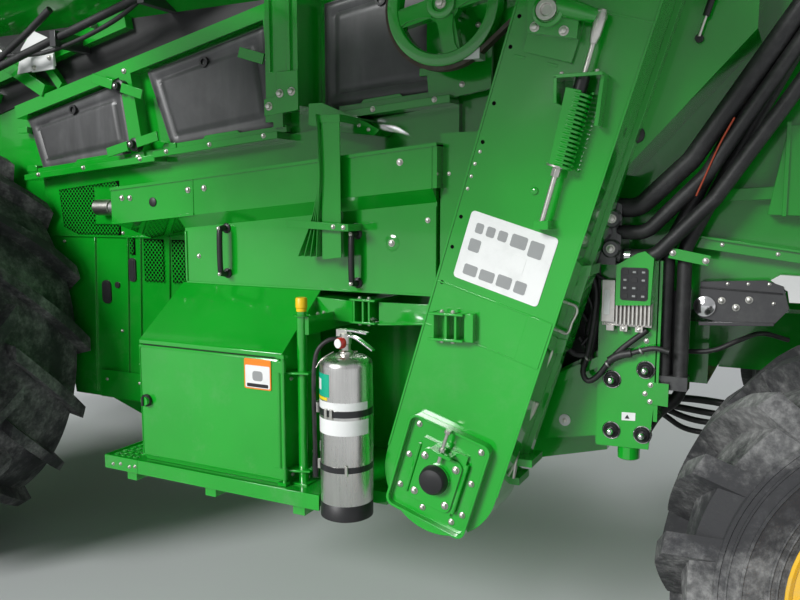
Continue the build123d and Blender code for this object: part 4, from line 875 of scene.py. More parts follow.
shell = Piece("elevator_trim")
for up in casing["laps"]:  # lap seams across the casing
    band(shell, (-0.204, 0.204), (up - 0.003, up + 0.003), (-1.499, -1.5016))
band(shell, (0.12, 0.2), (0.47, 0.62), (-1.499, -1.5025))
for side in (-1, 1):  # folded flanges along both edges
    edge = side * casing["half"]
    band(shell, (edge - 0.0035, edge + 0.0035), (0.02, casing["long"]), (-1.3, -1.503))
# Holes in the casing: flat dark discs of painted shade
holes = [(-0.185, up) for up in (1.08, 1.2, 1.37, 1.46, 0.62, 0.74, 0.84)]
for wide, up in holes:
    shell.lathe(
        [(0.0065, -0.002), (0.0065, 0.0014)], stack(onCasing(wide, up), -1.5), toLeft, "darkGap", 10
    )
shell.bolts(stack(onCasing([-0.19, -0.19, -0.19, -0.185], [0.93, 0.97, 1.01, 1.05]), -1.5), toLeft, 0.006)
shell.lathe(
    [(0.012, 0), (0.012, 0.004), (0.006, 0.007)], stack(onCasing(0.02, 0.985), -1.5), toLeft, "greenPaint",
    16,
)
band(shell, (0.208, 0.226), (0.1, 1.84), (-1.3, -1.345))
for wide, up in casing["welds"]:  # stitch welds
    band(shell, (wide, wide + 0.035), (up, up + 0.008), (-1.499, -1.5018))
shell.bothSides().done(0.0012)

# Blank instruction plate: round-cornered white film with plain grey blocks
plateParts = {
    "blocks": (
        (-0.118, -0.092, 0.046, 0.078), (-0.08, -0.052, 0.046, 0.078), (-0.04, -0.01, 0.046, 0.078),
        (0.004, 0.056, 0.042, 0.082), (0.066, 0.112, 0.03, 0.08), (-0.118, -0.072, -0.09, -0.056),
        (-0.062, -0.012, -0.09, -0.056), (-0.002, 0.046, -0.09, -0.052), (0.058, 0.096, -0.09, -0.052),
        (-0.07, 0.07, -0.034, 0.02), (-0.124, -0.086, -0.014, 0.026),
    ),
}
plate = Piece("casing_plate")
middle = onCasing(-0.008, 0.762)
spin = np.array(
    [
        [math.cos(casing["lean"]), -math.sin(casing["lean"])],
        [math.sin(casing["lean"]), math.cos(casing["lean"])],
    ],
)


def onPlate(loop):  # turned by the casing's lean, then moved to the plate's middle
    return middle + np.asarray(loop) @ spin


plate.plate(onPlate(rounded((-0.146, -0.11), (0.146, 0.11), 0.012)), (-1.499, -1.5025), "labelWhite")
for x0, x1, z0, z1 in plateParts["blocks"]:
    tone = "labelGrey" if z0 != -0.034 else "labelWhite"
    plate.plate(onPlate(rounded((x0, z0), (x1, z1), 0.004, 2)), (-1.502, -1.5033), tone)
plate.done()

# Boot bearing: raised frame, flange with a black cap, bolts and the chain adjuster
bootParts = {  # places across the casing and up it
    "bolts": (
        [-0.115, 0.115, -0.12, -0.12, 0.115, -0.02, 0.09, 0.118],
        [0.145, 0.145, 0.03, -0.085, 0.03, -0.125, -0.125, -0.085],
    ),
    "flangeBolts": ([-0.058, 0.058, -0.058, 0.058], [0.06, 0.06, -0.072, -0.072]),
    "slide": [-0.09, -0.05, 0.0, 0.03, 0.06, 0.09],
    "nuts": (0.112, 0.178),
}
boot = Piece("boot_bearing")
loop = rounded((-0.15, -0.162), (0.15, 0.18), 0.03, 5)
inner = rounded((-0.141, -0.153), (0.141, 0.171), 0.024, 5)
levels = [(loop, -1.5), (loop, -1.536), (inner, -1.536), (inner, -1.5135)]
boot.grid(np.stack([stack(onCasing(ring[:, 0], ring[:, 1]), y) for ring, y in levels]), "greenPaint")
loop = rounded((-0.078, -0.1), (0.078, 0.088), 0.026, 5)
boot.plate(onCasing(loop[:, 0], loop[:, 1]), (-1.524, -1.534))
for side in (-1, 1):
    boot.tube(stack(onCasing([side * 0.088] * 6, bootParts["slide"]), -1.527), 0.007, "greenPaint", 8)
boot.bolts(stack(onCasing(*bootParts["bolts"]), -1.514), toLeft, 0.0115)
boot.bolts(stack(onCasing(*bootParts["flangeBolts"]), -1.534), toLeft, 0.0135)
hub = onCasing(0, 0)
boot.lathe(
    [(0.05, -0.002), (0.05, 0.02), (0.046, 0.038), (0.04, 0.046), (0.03, 0.048), (0.02, 0.05)],
    (hub[0], -1.526, hub[1]), toLeft, "blackPlastic", 36,
)
boot.tube(stack(onCasing([0.0] * 4, [0.065, 0.1, 0.14, 0.175]), -1.552), 0.0065, "zinc", 10)
band(boot, (-0.04, 0.04), (0.092, 0.104), (-1.51, -1.566))
for up in bootParts["nuts"]:
    boot.lathe(
        [(0.012, -0.006), (0.012, 0.006)], stack(onCasing(0, up), -1.552),
        stack(onCasing(0, 1) - onCasing(0, 0), 0.0), "zinc", 6,
    )
boot.bothSides().done(0.0015)

# Head of the casing: pivot block, clevis and rod, bracket plate, spring in its tapered guard
headParts = {
    "rodEnds": ((3.512, 2.215), (3.355, 1.642)),
    "clevis": [(3.3, 2.192), (3.445, 2.162), (3.45, 2.205), (3.425, 2.3), (3.3, 2.3)],
    "clevisBolts": [(3.322, 2.205), (3.408, 2.186)],
    "rod": [(3.39, -1.545, 2.255), (3.45, -1.545, 2.235), (3.505, -1.545, 2.215)],
}
head = Piece("belt_tensioner_dressed")
band(head, (-0.14, 0.015), (1.365, 1.5), (-1.499, -1.512))
head.plate(headParts["clevis"], (-1.512, -1.545))
head.lathe(
    [(0.046, 0), (0.046, 0.05), (0.036, 0.056), (0.034, 0.05), (0.022, 0.05)], (3.365, -1.515, 2.243),
    toLeft, "greenPaint", 32,
)
head.lathe(
    [(0.03, 0.04), (0.03, 0.066), (0.018, 0.066), (0.016, 0.056)], (3.365, -1.515, 2.243), toLeft, "zinc",
    24,
)
head.bolts(stack(headParts["clevisBolts"], -1.545), toLeft, 0.015)
head.tube(headParts["rod"], [0.03, 0.026, 0.019], "greenPaint", 14)
top, rodFoot = stack(headParts["rodEnds"], -1.545)
rodWay = (rodFoot - top) / np.linalg.norm(rodFoot - top)
head.tube(
    top + rodWay * np.array([[-0.02], [0.0], [0.05], [0.075]]), [0.012, 0.018, 0.016, 0.009], "zinc", 12
)
head.tube(top + rodWay * np.array([[0.06], [0.16], [0.22]]), 0.0075, "zinc", 10)
head.lathe([(0.016, -0.014), (0.016, 0.014)], tuple(top), toRight, "zinc", 16)
plateAt = top + rodWay * 0.165
head.box(
    (plateAt[0] - 0.075, plateAt[0] + 0.062), (-1.585, -1.505), (plateAt[2] - 0.005, plateAt[2] + 0.005)
)
head.box((plateAt[0] - 0.075, plateAt[0] - 0.066), (-1.585, -1.5), (plateAt[2] - 0.075, plateAt[2]))
head.plate(
    [
        (plateAt[0] + 0.052, plateAt[2]), (plateAt[0] + 0.062, plateAt[2]),
        (plateAt[0] + 0.048, plateAt[2] - 0.14), (plateAt[0] + 0.036, plateAt[2] - 0.14),
    ],
    (-1.5, -1.56),
)
head.bolts(
    [(plateAt[0] + dx, y, plateAt[2] + 0.005) for dx in (-0.055, 0.045) for y in (-1.575, -1.525)], upward,
    0.009,
)
head.lathe(
    [(0.02, -0.01), (0.02, 0.045), (0.014, 0.05)], tuple(top + rodWay * 0.175), tuple(rodWay),
    "blackPlastic", 16,
)
start, end = top + rodWay * 0.205, top + rodWay * 0.425
off = np.array([-rodWay[2], 0.0, rodWay[0]])
guard = [start - off * 0.034, start + off * 0.012, end + off * 0.02, end - off * 0.02]
head.plate([(point[0], point[2]) for point in guard], (-1.528, -1.572))
turns = 17
t = np.linspace(0, 1, turns * 14)
swing = t * turns * 2 * np.pi
coil = start + (end - start) * t[:, None]
size = 0.03
coil = coil + off * (0.01 + size * np.cos(swing))[:, None]
coil = coil + np.array(toRight) * (size * 0.9 * np.sin(swing))[:, None]
head.tube(coil, 0.0045, "greenPaint", 8)
head.lathe([(0.034, -0.003), (0.034, 0.003)], tuple(end), tuple(rodWay), "zinc", 20)
head.lathe([(0.014, 0), (0.014, 0.03)], tuple(end), tuple(rodWay), "zinc", 6)
head.tube(end + rodWay * np.array([[0.0], [0.08], [0.165]]), 0.0085, "zinc", 12)
head.box((3.333, 3.377), (-1.555, -1.5), (1.622, 1.648))
head.done(0.001)
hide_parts("belt_tensioner")

# Casing brackets with their arm, the latch block with wire bails, and the tensioning lever
holdParts = {
    "brackets": ((2.575, 2.68, -1.1), (2.985, 3.105, -1.3)),
    "arm": [(2.4, 1.272), (2.58, 1.262), (2.58, 1.342), (2.4, 1.352)],
    "linkFace": [(2.68, 1.262), (2.99, 1.285), (2.99, 1.345), (2.68, 1.342)],
    "linkEdge": [(2.68, 1.258), (2.99, 1.281), (2.99, 1.289), (2.68, 1.266)],
}
hold = Piece("casing_brackets")
for x0, x1, back in holdParts["brackets"]:
    face = -1.345 if x1 < 2.9 else -1.545
    hold.box((x0, x1), (face, back), (1.262, 1.27)).box((x0, x1), (face, back), (1.345, 1.353))
    hold.box((x0 + 0.012, x0 + 0.02), (face + 0.004, back), (1.262, 1.353))
    hold.box((x1 - 0.03, x1 - 0.022), (face + 0.004, back), (1.262, 1.353))
    hold.box(((x0 + x1) / 2 - 0.004, (x0 + x1) / 2 + 0.004), (face + 0.006, back), (1.268, 1.347))
    for z, way in ((1.353, upward), (1.262, downward)):
        hold.bolts([((x0 + x1) / 2 + off, face + 0.018, z) for off in (-0.018, 0.02)], way, 0.0095)
hold.plate(holdParts["arm"], (-1.1, -1.33))
hold.plate(holdParts["linkFace"], (-1.3, -1.312))
hold.plate(holdParts["linkEdge"], (-1.22, -1.325))
hold.box((3.105, 3.135), (-1.53, -1.499), (1.262, 1.353))
hold.done(0.0015)

gateParts = {
    "block": [(3.35, 1.226), (3.39, 1.229), (3.467, 1.49), (3.415, 1.482), (3.36, 1.273)],
    "blockHead": [(3.415, 1.47), (3.47, 1.478), (3.474, 1.512), (3.424, 1.506)],
    "bail": [
        (3.394, 1.47), (3.383, 1.44), (3.379, 1.408), (3.398, 1.396), (3.429, 1.385), (3.436, 1.366),
        (3.421, 1.331), (3.413, 1.306), (3.401, 1.298), (3.372, 1.308),
    ],
    "tails": (
        ((3.372, 1.313), (3.352, 1.302), (3.343, 1.278)),
        ((3.335, 1.254), (3.357, 1.243), (3.358, 1.225), (3.339, 1.179)),
    ),
    "strap": [(3.405, 1.53), (3.428, 1.53), (3.462, 1.7), (3.438, 1.7)],
    "strapPad": [(3.41, 1.551), (3.434, 1.551), (3.468, 1.668), (3.442, 1.668)],
    "strapBolts": [(3.426, -1.392, 1.565), (3.45, -1.392, 1.655), (3.418, -1.376, 1.6)],
    "lever": [
        (3.253, 0.975), (3.28, 0.985), (3.302, 1.022), (3.318, 1.062), (3.31, 1.066), (3.288, 1.022),
        (3.262, 0.992),
    ],
    "leverRod": [(3.236, -1.41, 0.8), (3.246, -1.41, 0.88), (3.254, -1.41, 0.95)],
}
gate = Piece("latch_block")
gate.plate(gateParts["block"], (-1.3, -1.4))
gate.plate(gateParts["blockHead"], (-1.29, -1.408))
gate.flankTube(gateParts["bail"], -1.425, 0.0052, "zinc", 8, 5)
turn = np.linspace(0, 2 * np.pi, 26)
gate.tube(
    np.stack([3.363 + 0.018 * np.cos(turn), np.full(26, -1.425), 1.328 + 0.018 * np.sin(turn)], -1), 0.0044,
    "zinc", 8, caps=False,
)
for tail in gateParts["tails"]:
    gate.flankTube(tail, -1.425, 0.0046, "zinc", 8, 5)
gate.lathe([(0.016, -0.02), (0.016, 0.02)], (3.392, -1.405, 1.466), toRight, "greenPaint", 14)
gate.lathe([(0.012, -0.02), (0.012, 0.02)], (3.34, -1.405, 1.266), toRight, "greenPaint", 12)
gate.box((3.33, 3.4), (-1.405, -1.3), (1.255, 1.275)).box((3.36, 3.43), (-1.4, -1.3), (1.445, 1.465))
gate.plate(gateParts["strap"], (-1.29, -1.375))
gate.plate(gateParts["strapPad"], (-1.29, -1.392), "greyPlastic")
gate.bolts(gateParts["strapBolts"], toLeft, 0.008)
gate.plate(gateParts["lever"], (-1.405, -1.415), "zinc")
gate.lathe(
    [(0.017, -0.012), (0.017, 0.012), (0.009, 0.014)], (3.256, -1.408, 0.962), toLeft, "castMetal", 20
)
gate.tube(gateParts["leverRod"], [0.007, 0.009, 0.01], "zinc", 10)
gate.box((3.225, 3.3), (-1.415, -1.3), (0.845, 0.87))
gate.box((3.205, 3.255), (-1.405, -1.3), (0.775, 0.8))
gate.done(0.0012)

# Lower rear panels between the casing and the port plate, over dark sheets of painted shadow
panelParts = {
    "sheet": [(3.19, 0.87), (3.47, 0.925), (3.47, 1.22), (3.3, 1.12)],
    "hem": [(3.27, 1.06), (3.47, 1.165), (3.47, 1.2), (3.27, 1.1)],
    "paintedShadowBack": [(3.3, 1.1), (3.47, 1.19), (3.47, 1.5), (3.4, 1.5)],
    "paintedShadowSlot": [
        (3.423, 1.553), (3.44, 1.47), (3.376, 1.286), (3.426, 1.225), (3.463, 1.316), (3.482, 1.448)
    ],
    "hoses": (
        (((3.452, 1.53), (3.458, 1.44), (3.452, 1.33), (3.436, 1.23), (3.415, 1.16)), 0.016),
        (((3.43, 1.5), (3.44, 1.38), (3.425, 1.27), (3.437, 1.18)), 0.011),
        (((3.4, 1.34), (3.435, 1.3), (3.458, 1.35), (3.466, 1.43)), 0.008),
        (((3.395, 1.255), (3.425, 1.215), (3.45, 1.25)), 0.008),
    ),
}
sheets = Piece("rear_flank_panels")
sheets.plate(panelParts["sheet"], (-1.06, -1.21))
sheets.plate(panelParts["hem"], (-1.205, -1.235))
# Dark back sheet: painted shadow in the recess behind the panels
sheets.plate(panelParts["paintedShadowBack"], (-1.08, -1.13), "labelBlack")
sheets.lathe([(0.02, 0), (0.02, 0.004), (0.01, 0.006)], (3.35, -1.21, 0.962), toLeft, "labelWhite", 24)
sheets.bolts([(3.35, -1.216, 0.962)], toLeft, 0.009)
# Dark slot: painted shadow in the gap beside the latch block
sheets.plate(panelParts["paintedShadowSlot"], (-1.13, -1.2), "labelBlack")
for line, size in panelParts["hoses"]:
    sheets.flankTube(line, -1.225, size, "hoseRubber", 10, 8)
sheets.box((3.462, 3.472), (-1.238, -1.07), (0.905, 1.5))
sheets.bothSides().done(0.0015)

# Fire extinguisher: polished bottle, rubber foot, straps, blank labels, valve, levers and hose
bottle = {
    "x": 2.688, "y": -1.56, "base": 0.632, "shoulder": 1.158, "radius": 0.09,
    "labels": (  # bearings round it, heights, finish and how far it stands proud
        ((-178, -60), (0.3, 0.352), "labelWhite", 0.0008),
        ((-60, -5), (0.3, 0.352), "labelWhite", 0.001),
        ((-178, -8), (0.385, 0.412), "labelWhite", 0.0008),
        ((-178, -98), (0.428, 0.505), "labelTeal", 0.0008),
        ((-178, -104), (0.416, 0.426), "labelYellow", 0.0009),
        ((-172, -125), (0.448, 0.486), "labelWhite", 0.001),
        ((-178, -150), (0.225, 0.262), "labelWhite", 0.0008),
    ),
    "buckles": ((-106, 0.373), (-92, 0.373), (-150, 0.182), (-60, 0.182)),
    "hose": [
        (-0.018, 0.0, 0.05), (-0.055, -0.02, 0.046), (-0.088, -0.04, 0.01), (-0.098, -0.048, -0.06),
        (-0.0985, -0.05, -0.16), (-0.0985, -0.048, -0.26), (-0.098, -0.046, -0.36),
    ],
}
foot = (bottle["x"], bottle["y"], bottle["base"])
tank = Piece("extinguisher_dressed", slot="steel")
tall = bottle["shoulder"] - bottle["base"]
r = bottle["radius"]
bend = [
    (r * math.cos(a) ** 0.45, tall + 0.034 * math.sin(a))
    for a in np.radians((0, 12, 26, 42, 58, 72, 80))
]
tank.lathe(
    [(r - 0.002, 0.045), (r, 0.05), (r, tall * 0.5), (r, tall - 0.01)] + bend + [(0.024, tall + 0.036)],
    foot, upward, "stainless", 64,
)
tank.lathe(
    [(r - 0.006, 0.0), (r + 0.001, 0.004), (r + 0.001, 0.056), (r - 0.001, 0.058)], foot, upward,
    "blackPlastic", 56,
)
for up, high in ((0.172, 0.02), (0.362, 0.022)):
    tank.lathe(
        [(r, up), (r + 0.0022, up), (r + 0.0022, up + high), (r, up + high)], foot, upward, "labelBlack", 56
    )


def wrap(piece, turn, up, finish, proud):  # a label bent round the bottle between two bearings
    angle = np.radians(np.linspace(turn[0], turn[1], 24))
    rows = []
    for radius, high in ((r, up[0]), (r + proud, up[0]), (r + proud, up[1]), (r, up[1])):
        rows.append(
            np.stack(
                [
                    foot[0] + radius * np.cos(angle), foot[1] + radius * np.sin(angle),
                    np.full(24, foot[2] + high),
                ],
                -1,
            ),
        )
    piece.grid(np.stack(rows, 1), finish)


for turn, up, finish, proud in bottle["labels"]:
    wrap(tank, turn, up, finish, proud)
for turn, up in bottle["buckles"]:
    a = math.radians(turn)
    spot = (foot[0] + (r + 0.004) * math.cos(a), foot[1] + (r + 0.004) * math.sin(a), foot[2] + up)
    tank.box(
        (spot[0] - 0.005, spot[0] + 0.005), (spot[1] - 0.003, spot[1] + 0.003),
        (spot[2] - 0.017, spot[2] + 0.017), "zinc",
    )
top = bottle["base"] + tall + 0.036
tank.lathe(
    [
        (0.024, -0.004), (0.024, 0.01), (0.017, 0.014), (0.017, 0.034), (0.02, 0.036), (0.02, 0.07),
        (0.012, 0.074),
    ],
    (foot[0], foot[1], top),
    upward,
    "zinc",
    24,
)
tank.lathe(
    [(0.0195, 0.0), (0.0195, 0.016), (0.016, 0.02)], (foot[0] - 0.004, foot[1] - 0.016, top + 0.04),
    (-0.25, -1, 0), "redPaint", 24,
)
tank.lathe(
    [(0.0155, 0.0), (0.0155, 0.003)], (foot[0] - 0.0085, foot[1] - 0.0365, top + 0.04), (-0.25, -1, 0),
    "labelWhite", 24,
)
upper = curve(
    [
        (foot[0] - 0.026, foot[1], top + 0.078), (foot[0] + 0.02, foot[1], top + 0.082),
        (foot[0] + 0.085, foot[1], top + 0.076),
    ],
    6,
)
lower = curve(
    [
        (foot[0] + 0.012, foot[1], top + 0.064), (foot[0] + 0.045, foot[1], top + 0.056),
        (foot[0] + 0.108, foot[1] - 0.004, top + 0.022),
    ],
    6,
)
for path, wide in ((upper, 0.012), (lower, 0.011)):
    ring = np.array([(0, -wide, -0.003), (0, wide, -0.003), (0, wide, 0.003), (0, -wide, 0.003)])
    tank.grid(path[:, None] + ring[None], "chrome")
tank.box(
    (foot[0] - 0.03, foot[0] + 0.012), (foot[1] - 0.013, foot[1] + 0.013), (top + 0.06, top + 0.084), "zinc"
)
tank.tube(
    [(foot[0] + x, foot[1] + y, top + z) for x, y, z in curve(bottle["hose"], 9)], 0.0075, "hoseRubber", 12
)
tank.tube(
    [
        (foot[0] + x, foot[1] + y, top + z)
        for x, y, z in ((-0.098, -0.046, -0.35), (-0.098, -0.046, -0.4), (-0.098, -0.045, -0.43))
    ],
    [0.009, 0.011, 0.008],
    "blackPlastic",
    12,
)
ringTurn = np.linspace(0.2, 5.6, 30)
tank.tube(
    np.stack(
        [
            foot[0] + 0.006 + 0.04 * np.cos(ringTurn), foot[1] - 0.01 + 0.03 * np.sin(ringTurn),
            top + 0.004 + 0.008 * np.cos(ringTurn),
        ],
        -1,
    ),
    0.0018,
    "zinc",
    6,
)
tank.tube(
    curve(
        [
            (foot[0] - 0.03, foot[1] - 0.03, top + 0.01), (foot[0] - 0.065, foot[1] - 0.05, top - 0.015),
            (foot[0] - 0.082, foot[1] - 0.06, top - 0.045),
        ],
        5,
    ),
    0.0014,
    "zinc",
    6,
)
tank.box(
    (foot[0] - 0.112, foot[0] - 0.088), (foot[1] - 0.03, foot[1] + 0.01), (foot[2] + 0.355, foot[2] + 0.39),
    "zinc",
)
tank.done(0.0006, 45)
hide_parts("extinguisher")

# Tool box: roof edges, gasket, hinge hardware and the post with its plates and yellow cap
chest = {
    "front": 1.755, "rear": 2.42, "out": -1.55, "eave": 1.17, "ridge": 1.37, "back": -1.3,
    "hinges": (0.742, 1.1),
    "hinge": [
        (2.42, -1.545), (2.452, -1.545), (2.512, -1.525), (2.512, -1.475), (2.43, -1.475), (2.42, -1.5)
    ],
    "sideBolts": [(2.4205, -1.45, 0.76), (2.4205, -1.36, 0.76)],
    "postFoot": [(2.44, -1.47), (2.505, -1.47), (2.505, -1.535), (2.44, -1.535)],
    "postArm": [(2.475, -1.51), (2.5, -1.5), (2.5, -1.11), (2.475, -1.11)],
    "armBolts": [(2.487, -1.42, 1.3), (2.487, -1.38, 1.3)],
}
slope = np.array(
    [
        (chest["out"] - 0.004, chest["eave"] - 0.004), (chest["back"] - 0.001, chest["ridge"] + 0.001),
        (chest["back"] - 0.001, chest["ridge"] + 0.005), (chest["out"] - 0.012, chest["eave"] + 0.001),
        (chest["out"] - 0.012, chest["eave"] - 0.014), (chest["out"] - 0.008, chest["eave"] - 0.014),
    ],
)
box = Piece("tool_box_trim")
box.plate(slope, (chest["front"] - 0.006, chest["rear"] + 0.006), plane="cross")
box.box((chest["front"] + 0.012, chest["rear"] - 0.012), (-1.5545, -1.5495), (1.148, 1.158), "blackPlastic")
box.box((chest["front"] + 0.004, chest["front"] + 0.012), (-1.5545, -1.5495), (0.705, 1.15), "blackPlastic")
box.box((chest["rear"] - 0.012, chest["rear"] - 0.004), (-1.5545, -1.5495), (0.705, 1.15), "blackPlastic")
box.box((chest["front"], chest["rear"]), (-1.553, -1.545), (0.692, 0.704))
for z in chest["hinges"]:
    box.box((2.42, 2.452), (-1.549, -1.515), (z - 0.003, z + 0.003))
    box.plate(chest["hinge"], (z - 0.004, z + 0.004), plane="floor")
    box.bolts([(2.4205, -1.5, z - 0.03)], toRear, 0.008)
box.bolts(chest["sideBolts"], toRear, 0.008)
box.lathe(
    [(0.0185, 0), (0.0185, 0.012), (0.021, 0.014), (0.021, 0.045), (0.018, 0.05)], (2.47, -1.5, 1.318),
    upward, "capYellow", 32,
)
box.lathe([(0.03, 0), (0.03, 0.004)], (2.47, -1.5, 1.302), upward, "greenPaint", 20)
box.plate(chest["postFoot"], (0.69, 0.696), plane="floor")
box.plate(chest["postArm"], (1.235, 1.3), plane="floor")
box.bolts(chest["armBolts"], upward, 0.008)
box.done(0.0012)

doorLabels = (  # corners, radius, depths and finish
    ((2.268, 1.035), (2.386, 1.146), 0.006, (-1.573, -1.5744), "labelOrange"),
    ((2.273, 1.04), (2.381, 1.122), 0.004, (-1.574, -1.575), "labelWhite"),
    ((2.28, 1.043), (2.374, 1.056), 0.003, (-1.5746, -1.5755), "labelBlack"),
    ((2.305, 1.066), (2.35, 1.102), 0.01, (-1.5746, -1.5755), "labelGrey"),
)
door = Piece("tool_box_door_trim", "box_door")
loop = rounded((1.757, 0.71), (2.418, 1.15), 0.01, 3)
inner = rounded((1.763, 0.716), (2.412, 1.144), 0.008, 3)
door.grid(
    np.stack([stack(loop, -1.5695), stack(loop, -1.5715), stack(inner, -1.5738), stack(inner, -1.5712)]),
    "greenPaint",
)
for low, high, radius, y, finish in doorLabels:
    door.tile(low, high, radius, y, finish, steps=3)
door.lathe(
    [(0.024, 0), (0.024, 0.01), (0.019, 0.016), (0.012, 0.02), (0.004, 0.0205)], (1.79, -1.572, 0.935),
    toLeft, "blackPlastic", 28,
)
door.box((1.786, 1.794), (-1.602, -1.588), (0.917, 0.953), "blackPlastic")
for z in (0.735, 1.125):
    door.lathe([(0.0115, -0.022), (0.0115, 0.022)], (2.43, -1.563, z), upward, "greenPaint", 16)
    door.box((2.395, 2.432), (-1.5735, -1.566), (z - 0.02, z + 0.02))
door.done(0.0008)

# Step platform: raised tread holes at its front, folded edge, seam and end bolts
platform = {
    "frontBolts": [(1.625, 0.662), (1.665, 0.668), (1.712, 0.662), (1.742, 0.668)],
    "topBolts": [
        (1.61, -1.03, 0.69), (1.72, -1.03, 0.69), (2.46, -1.42, 0.69), (2.52, -1.3, 0.69),
        (2.52, -1.2, 0.69),
    ],
    "bearers": (1.7, 2.1, 2.5),
}
deck = Piece("platform_tread")
spotX, spotY = np.meshgrid(np.arange(1.61, 1.745, 0.034), np.arange(-1.565, -1.04, 0.042))
for x, y in zip(spotX.ravel(), spotY.ravel()):
    deck.lathe(
        [(0.0125, 0), (0.0115, 0.004), (0.007, 0.0045), (0.006, 0.001)], (x, y, 0.69), upward, "greenPaint",
        10,
    )
deck.box((1.578, 2.6), (-1.6035, -1.595), (0.64, 0.695))
deck.box((1.578, 1.586), (-1.6, -1.0), (0.64, 0.695))
deck.box((1.752, 1.756), (-1.605, -1.595), (0.64, 0.695))
deck.bolts(stack(platform["frontBolts"], -1.6035), toLeft, 0.0075)
deck.bolts(platform["topBolts"], upward, 0.009)
for x in platform["bearers"]:  # bearers under the platform
    deck.box((x - 0.025, x + 0.025), (-1.58, -1.0), (0.6, 0.646))
deck.done(0.001)

# Port plate: pointed housing with its keypad, finned controller, ports in chrome rings, harness
port = {
    "housing": [(3.466, 0.9), (3.634, 0.905), (3.65, 1.1), (3.65, 1.52), (3.566, 1.545), (3.466, 1.505)],
    "hood": [(3.526, 1.378), (3.634, 1.384), (3.64, 1.53), (3.612, 1.552), (3.59, 1.545), (3.526, 1.506)],
    "lugs": (3.505, 3.548, 3.596),
    "finBolts": [(3.548, -1.27, 1.3), (3.596, -1.27, 1.3), (3.486, -1.263, 1.316)],
    "ports": ((3.511, 1.127), (3.617, 1.168), (3.514, 0.956), (3.614, 0.953)),
    "bolts": [(3.634, -1.243, 1.12), (3.618, -1.243, 1.09), (3.634, -1.243, 1.066), (3.616, -1.241, 1.262)],
    "tab": [(3.62, 1.058), (3.69, 1.054), (3.69, 1.128), (3.62, 1.13)],
    "tag": [(3.546, 0.993), (3.59, 0.996), (3.59, 1.022), (3.546, 1.02)],
    "tagMark": [(3.556, 1.0), (3.572, 1.001), (3.564, 1.014)],
    "harness": (
        (
            (
                (3.425, 1.5), (3.455, 1.42), (3.452, 1.33), (3.436, 1.22), (3.42, 1.15), (3.436, 1.118),
                (3.468, 1.136), (3.505, 1.188), (3.545, 1.235), (3.62, 1.3),
            ),
            0.0095,
        ),
        (((3.525, 1.2), (3.575, 1.222), (3.642, 1.243), (3.69, 1.235)), 0.0085),
        (((3.505, 1.192), (3.535, 1.212), (3.575, 1.222)), 0.013),
        (((3.36, 1.228), (3.391, 1.205), (3.43, 1.203)), 0.01),
        (((3.44, 1.52), (3.452, 1.475), (3.486, 1.452)), 0.0065),
        (((3.402, 1.43), (3.44, 1.37), (3.448, 1.29), (3.412, 1.235)), 0.0055),
    ),
    "clips": ((3.5, 1.18), (3.432, 1.195), (3.605, 1.232)),
}
panel = Piece("port_plate_dressed")
panel.plate(port["housing"], (-1.226, -1.24))
panel.box((3.645, 3.658), (-1.24, -1.12), (1.0, 1.52))
panel.plate(port["hood"], (-1.235, -1.302))
panel.tile((3.541, 1.397), (3.625, 1.5), 0.009, (-1.3, -1.3055), "labelBlack", steps=4)
for row in range(4):
    for column in range(3):
        x, z = 3.555 + column * 0.028, 1.411 + row * 0.0252
        panel.tile(
            (x - 0.01, z - 0.008), (x + 0.01, z + 0.008), 0.003, (-1.305, -1.3072), "blackPlastic", steps=2
        )
        if (row + column) % 3:
            panel.tile(
                (x - 0.005, z - 0.003), (x + 0.005, z + 0.003), 0.001, (-1.307, -1.3078), "labelGrey",
                steps=2,
            )
panel.box((3.478, 3.634), (-1.262, -1.238), (1.308, 1.388), "aluminium")
panel.box((3.48, 3.52), (-1.282, -1.238), (1.322, 1.456), "aluminium")
for x in np.arange(3.526, 3.628, 0.0125):
    panel.box((x, x + 0.0055), (-1.288, -1.258), (1.316, 1.382), "aluminium")
for x in port["lugs"]:
    panel.plate(
        [(x - 0.012, 1.292), (x + 0.012, 1.292), (x + 0.012, 1.31), (x - 0.012, 1.31)], (-1.246, -1.27),
        "aluminium",
    )
panel.tile((3.487, 1.345), (3.505, 1.425), 0.003, (-1.281, -1.2832), "labelWhite", steps=2)
panel.bolts(port["finBolts"], toLeft, 0.007)
for x, z in port["ports"]:
    panel.lathe(
        [(0.03, -0.004), (0.03, 0.005), (0.0265, 0.007), (0.0245, 0.004)], (x, -1.238, z), toLeft, "chrome",
        32,
    )
    panel.lathe(
        [(0.0245, 0.0), (0.0245, 0.012), (0.02, 0.016), (0.013, 0.01)], (x, -1.238, z), toLeft,
        "blackPlastic", 28,
    )
    panel.lathe(
        [(0.0105, 0.0), (0.0105, 0.03), (0.0075, 0.036), (0.003, 0.038)], (x, -1.24, z), toLeft, "chrome",
        20,
    )
panel.bolts(port["bolts"], toLeft, 0.0085)
panel.plate(port["tab"], (-1.236, -1.244))
panel.plate(port["tag"], (-1.239, -1.2415), "labelWhite")
panel.plate(port["tagMark"], (-1.241, -1.2425), "labelBlack")
panel.lathe([(0.036, 0), (0.036, 0.04), (0.03, 0.044)], (3.566, -1.205, 0.902), downward, "greenPaint", 24)
for line, size in port["harness"]:
    panel.flankTube(line, -1.252 - size, size, "hoseRubber", 10, 8)
for x, z in port["clips"]:
    panel.lathe([(0.0125, -0.003), (0.0125, 0.003)], (x, -1.262, z), (0.8, 0, 0.6), "castMetal", 12)
panel.done(0.0008)
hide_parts("port_plate")

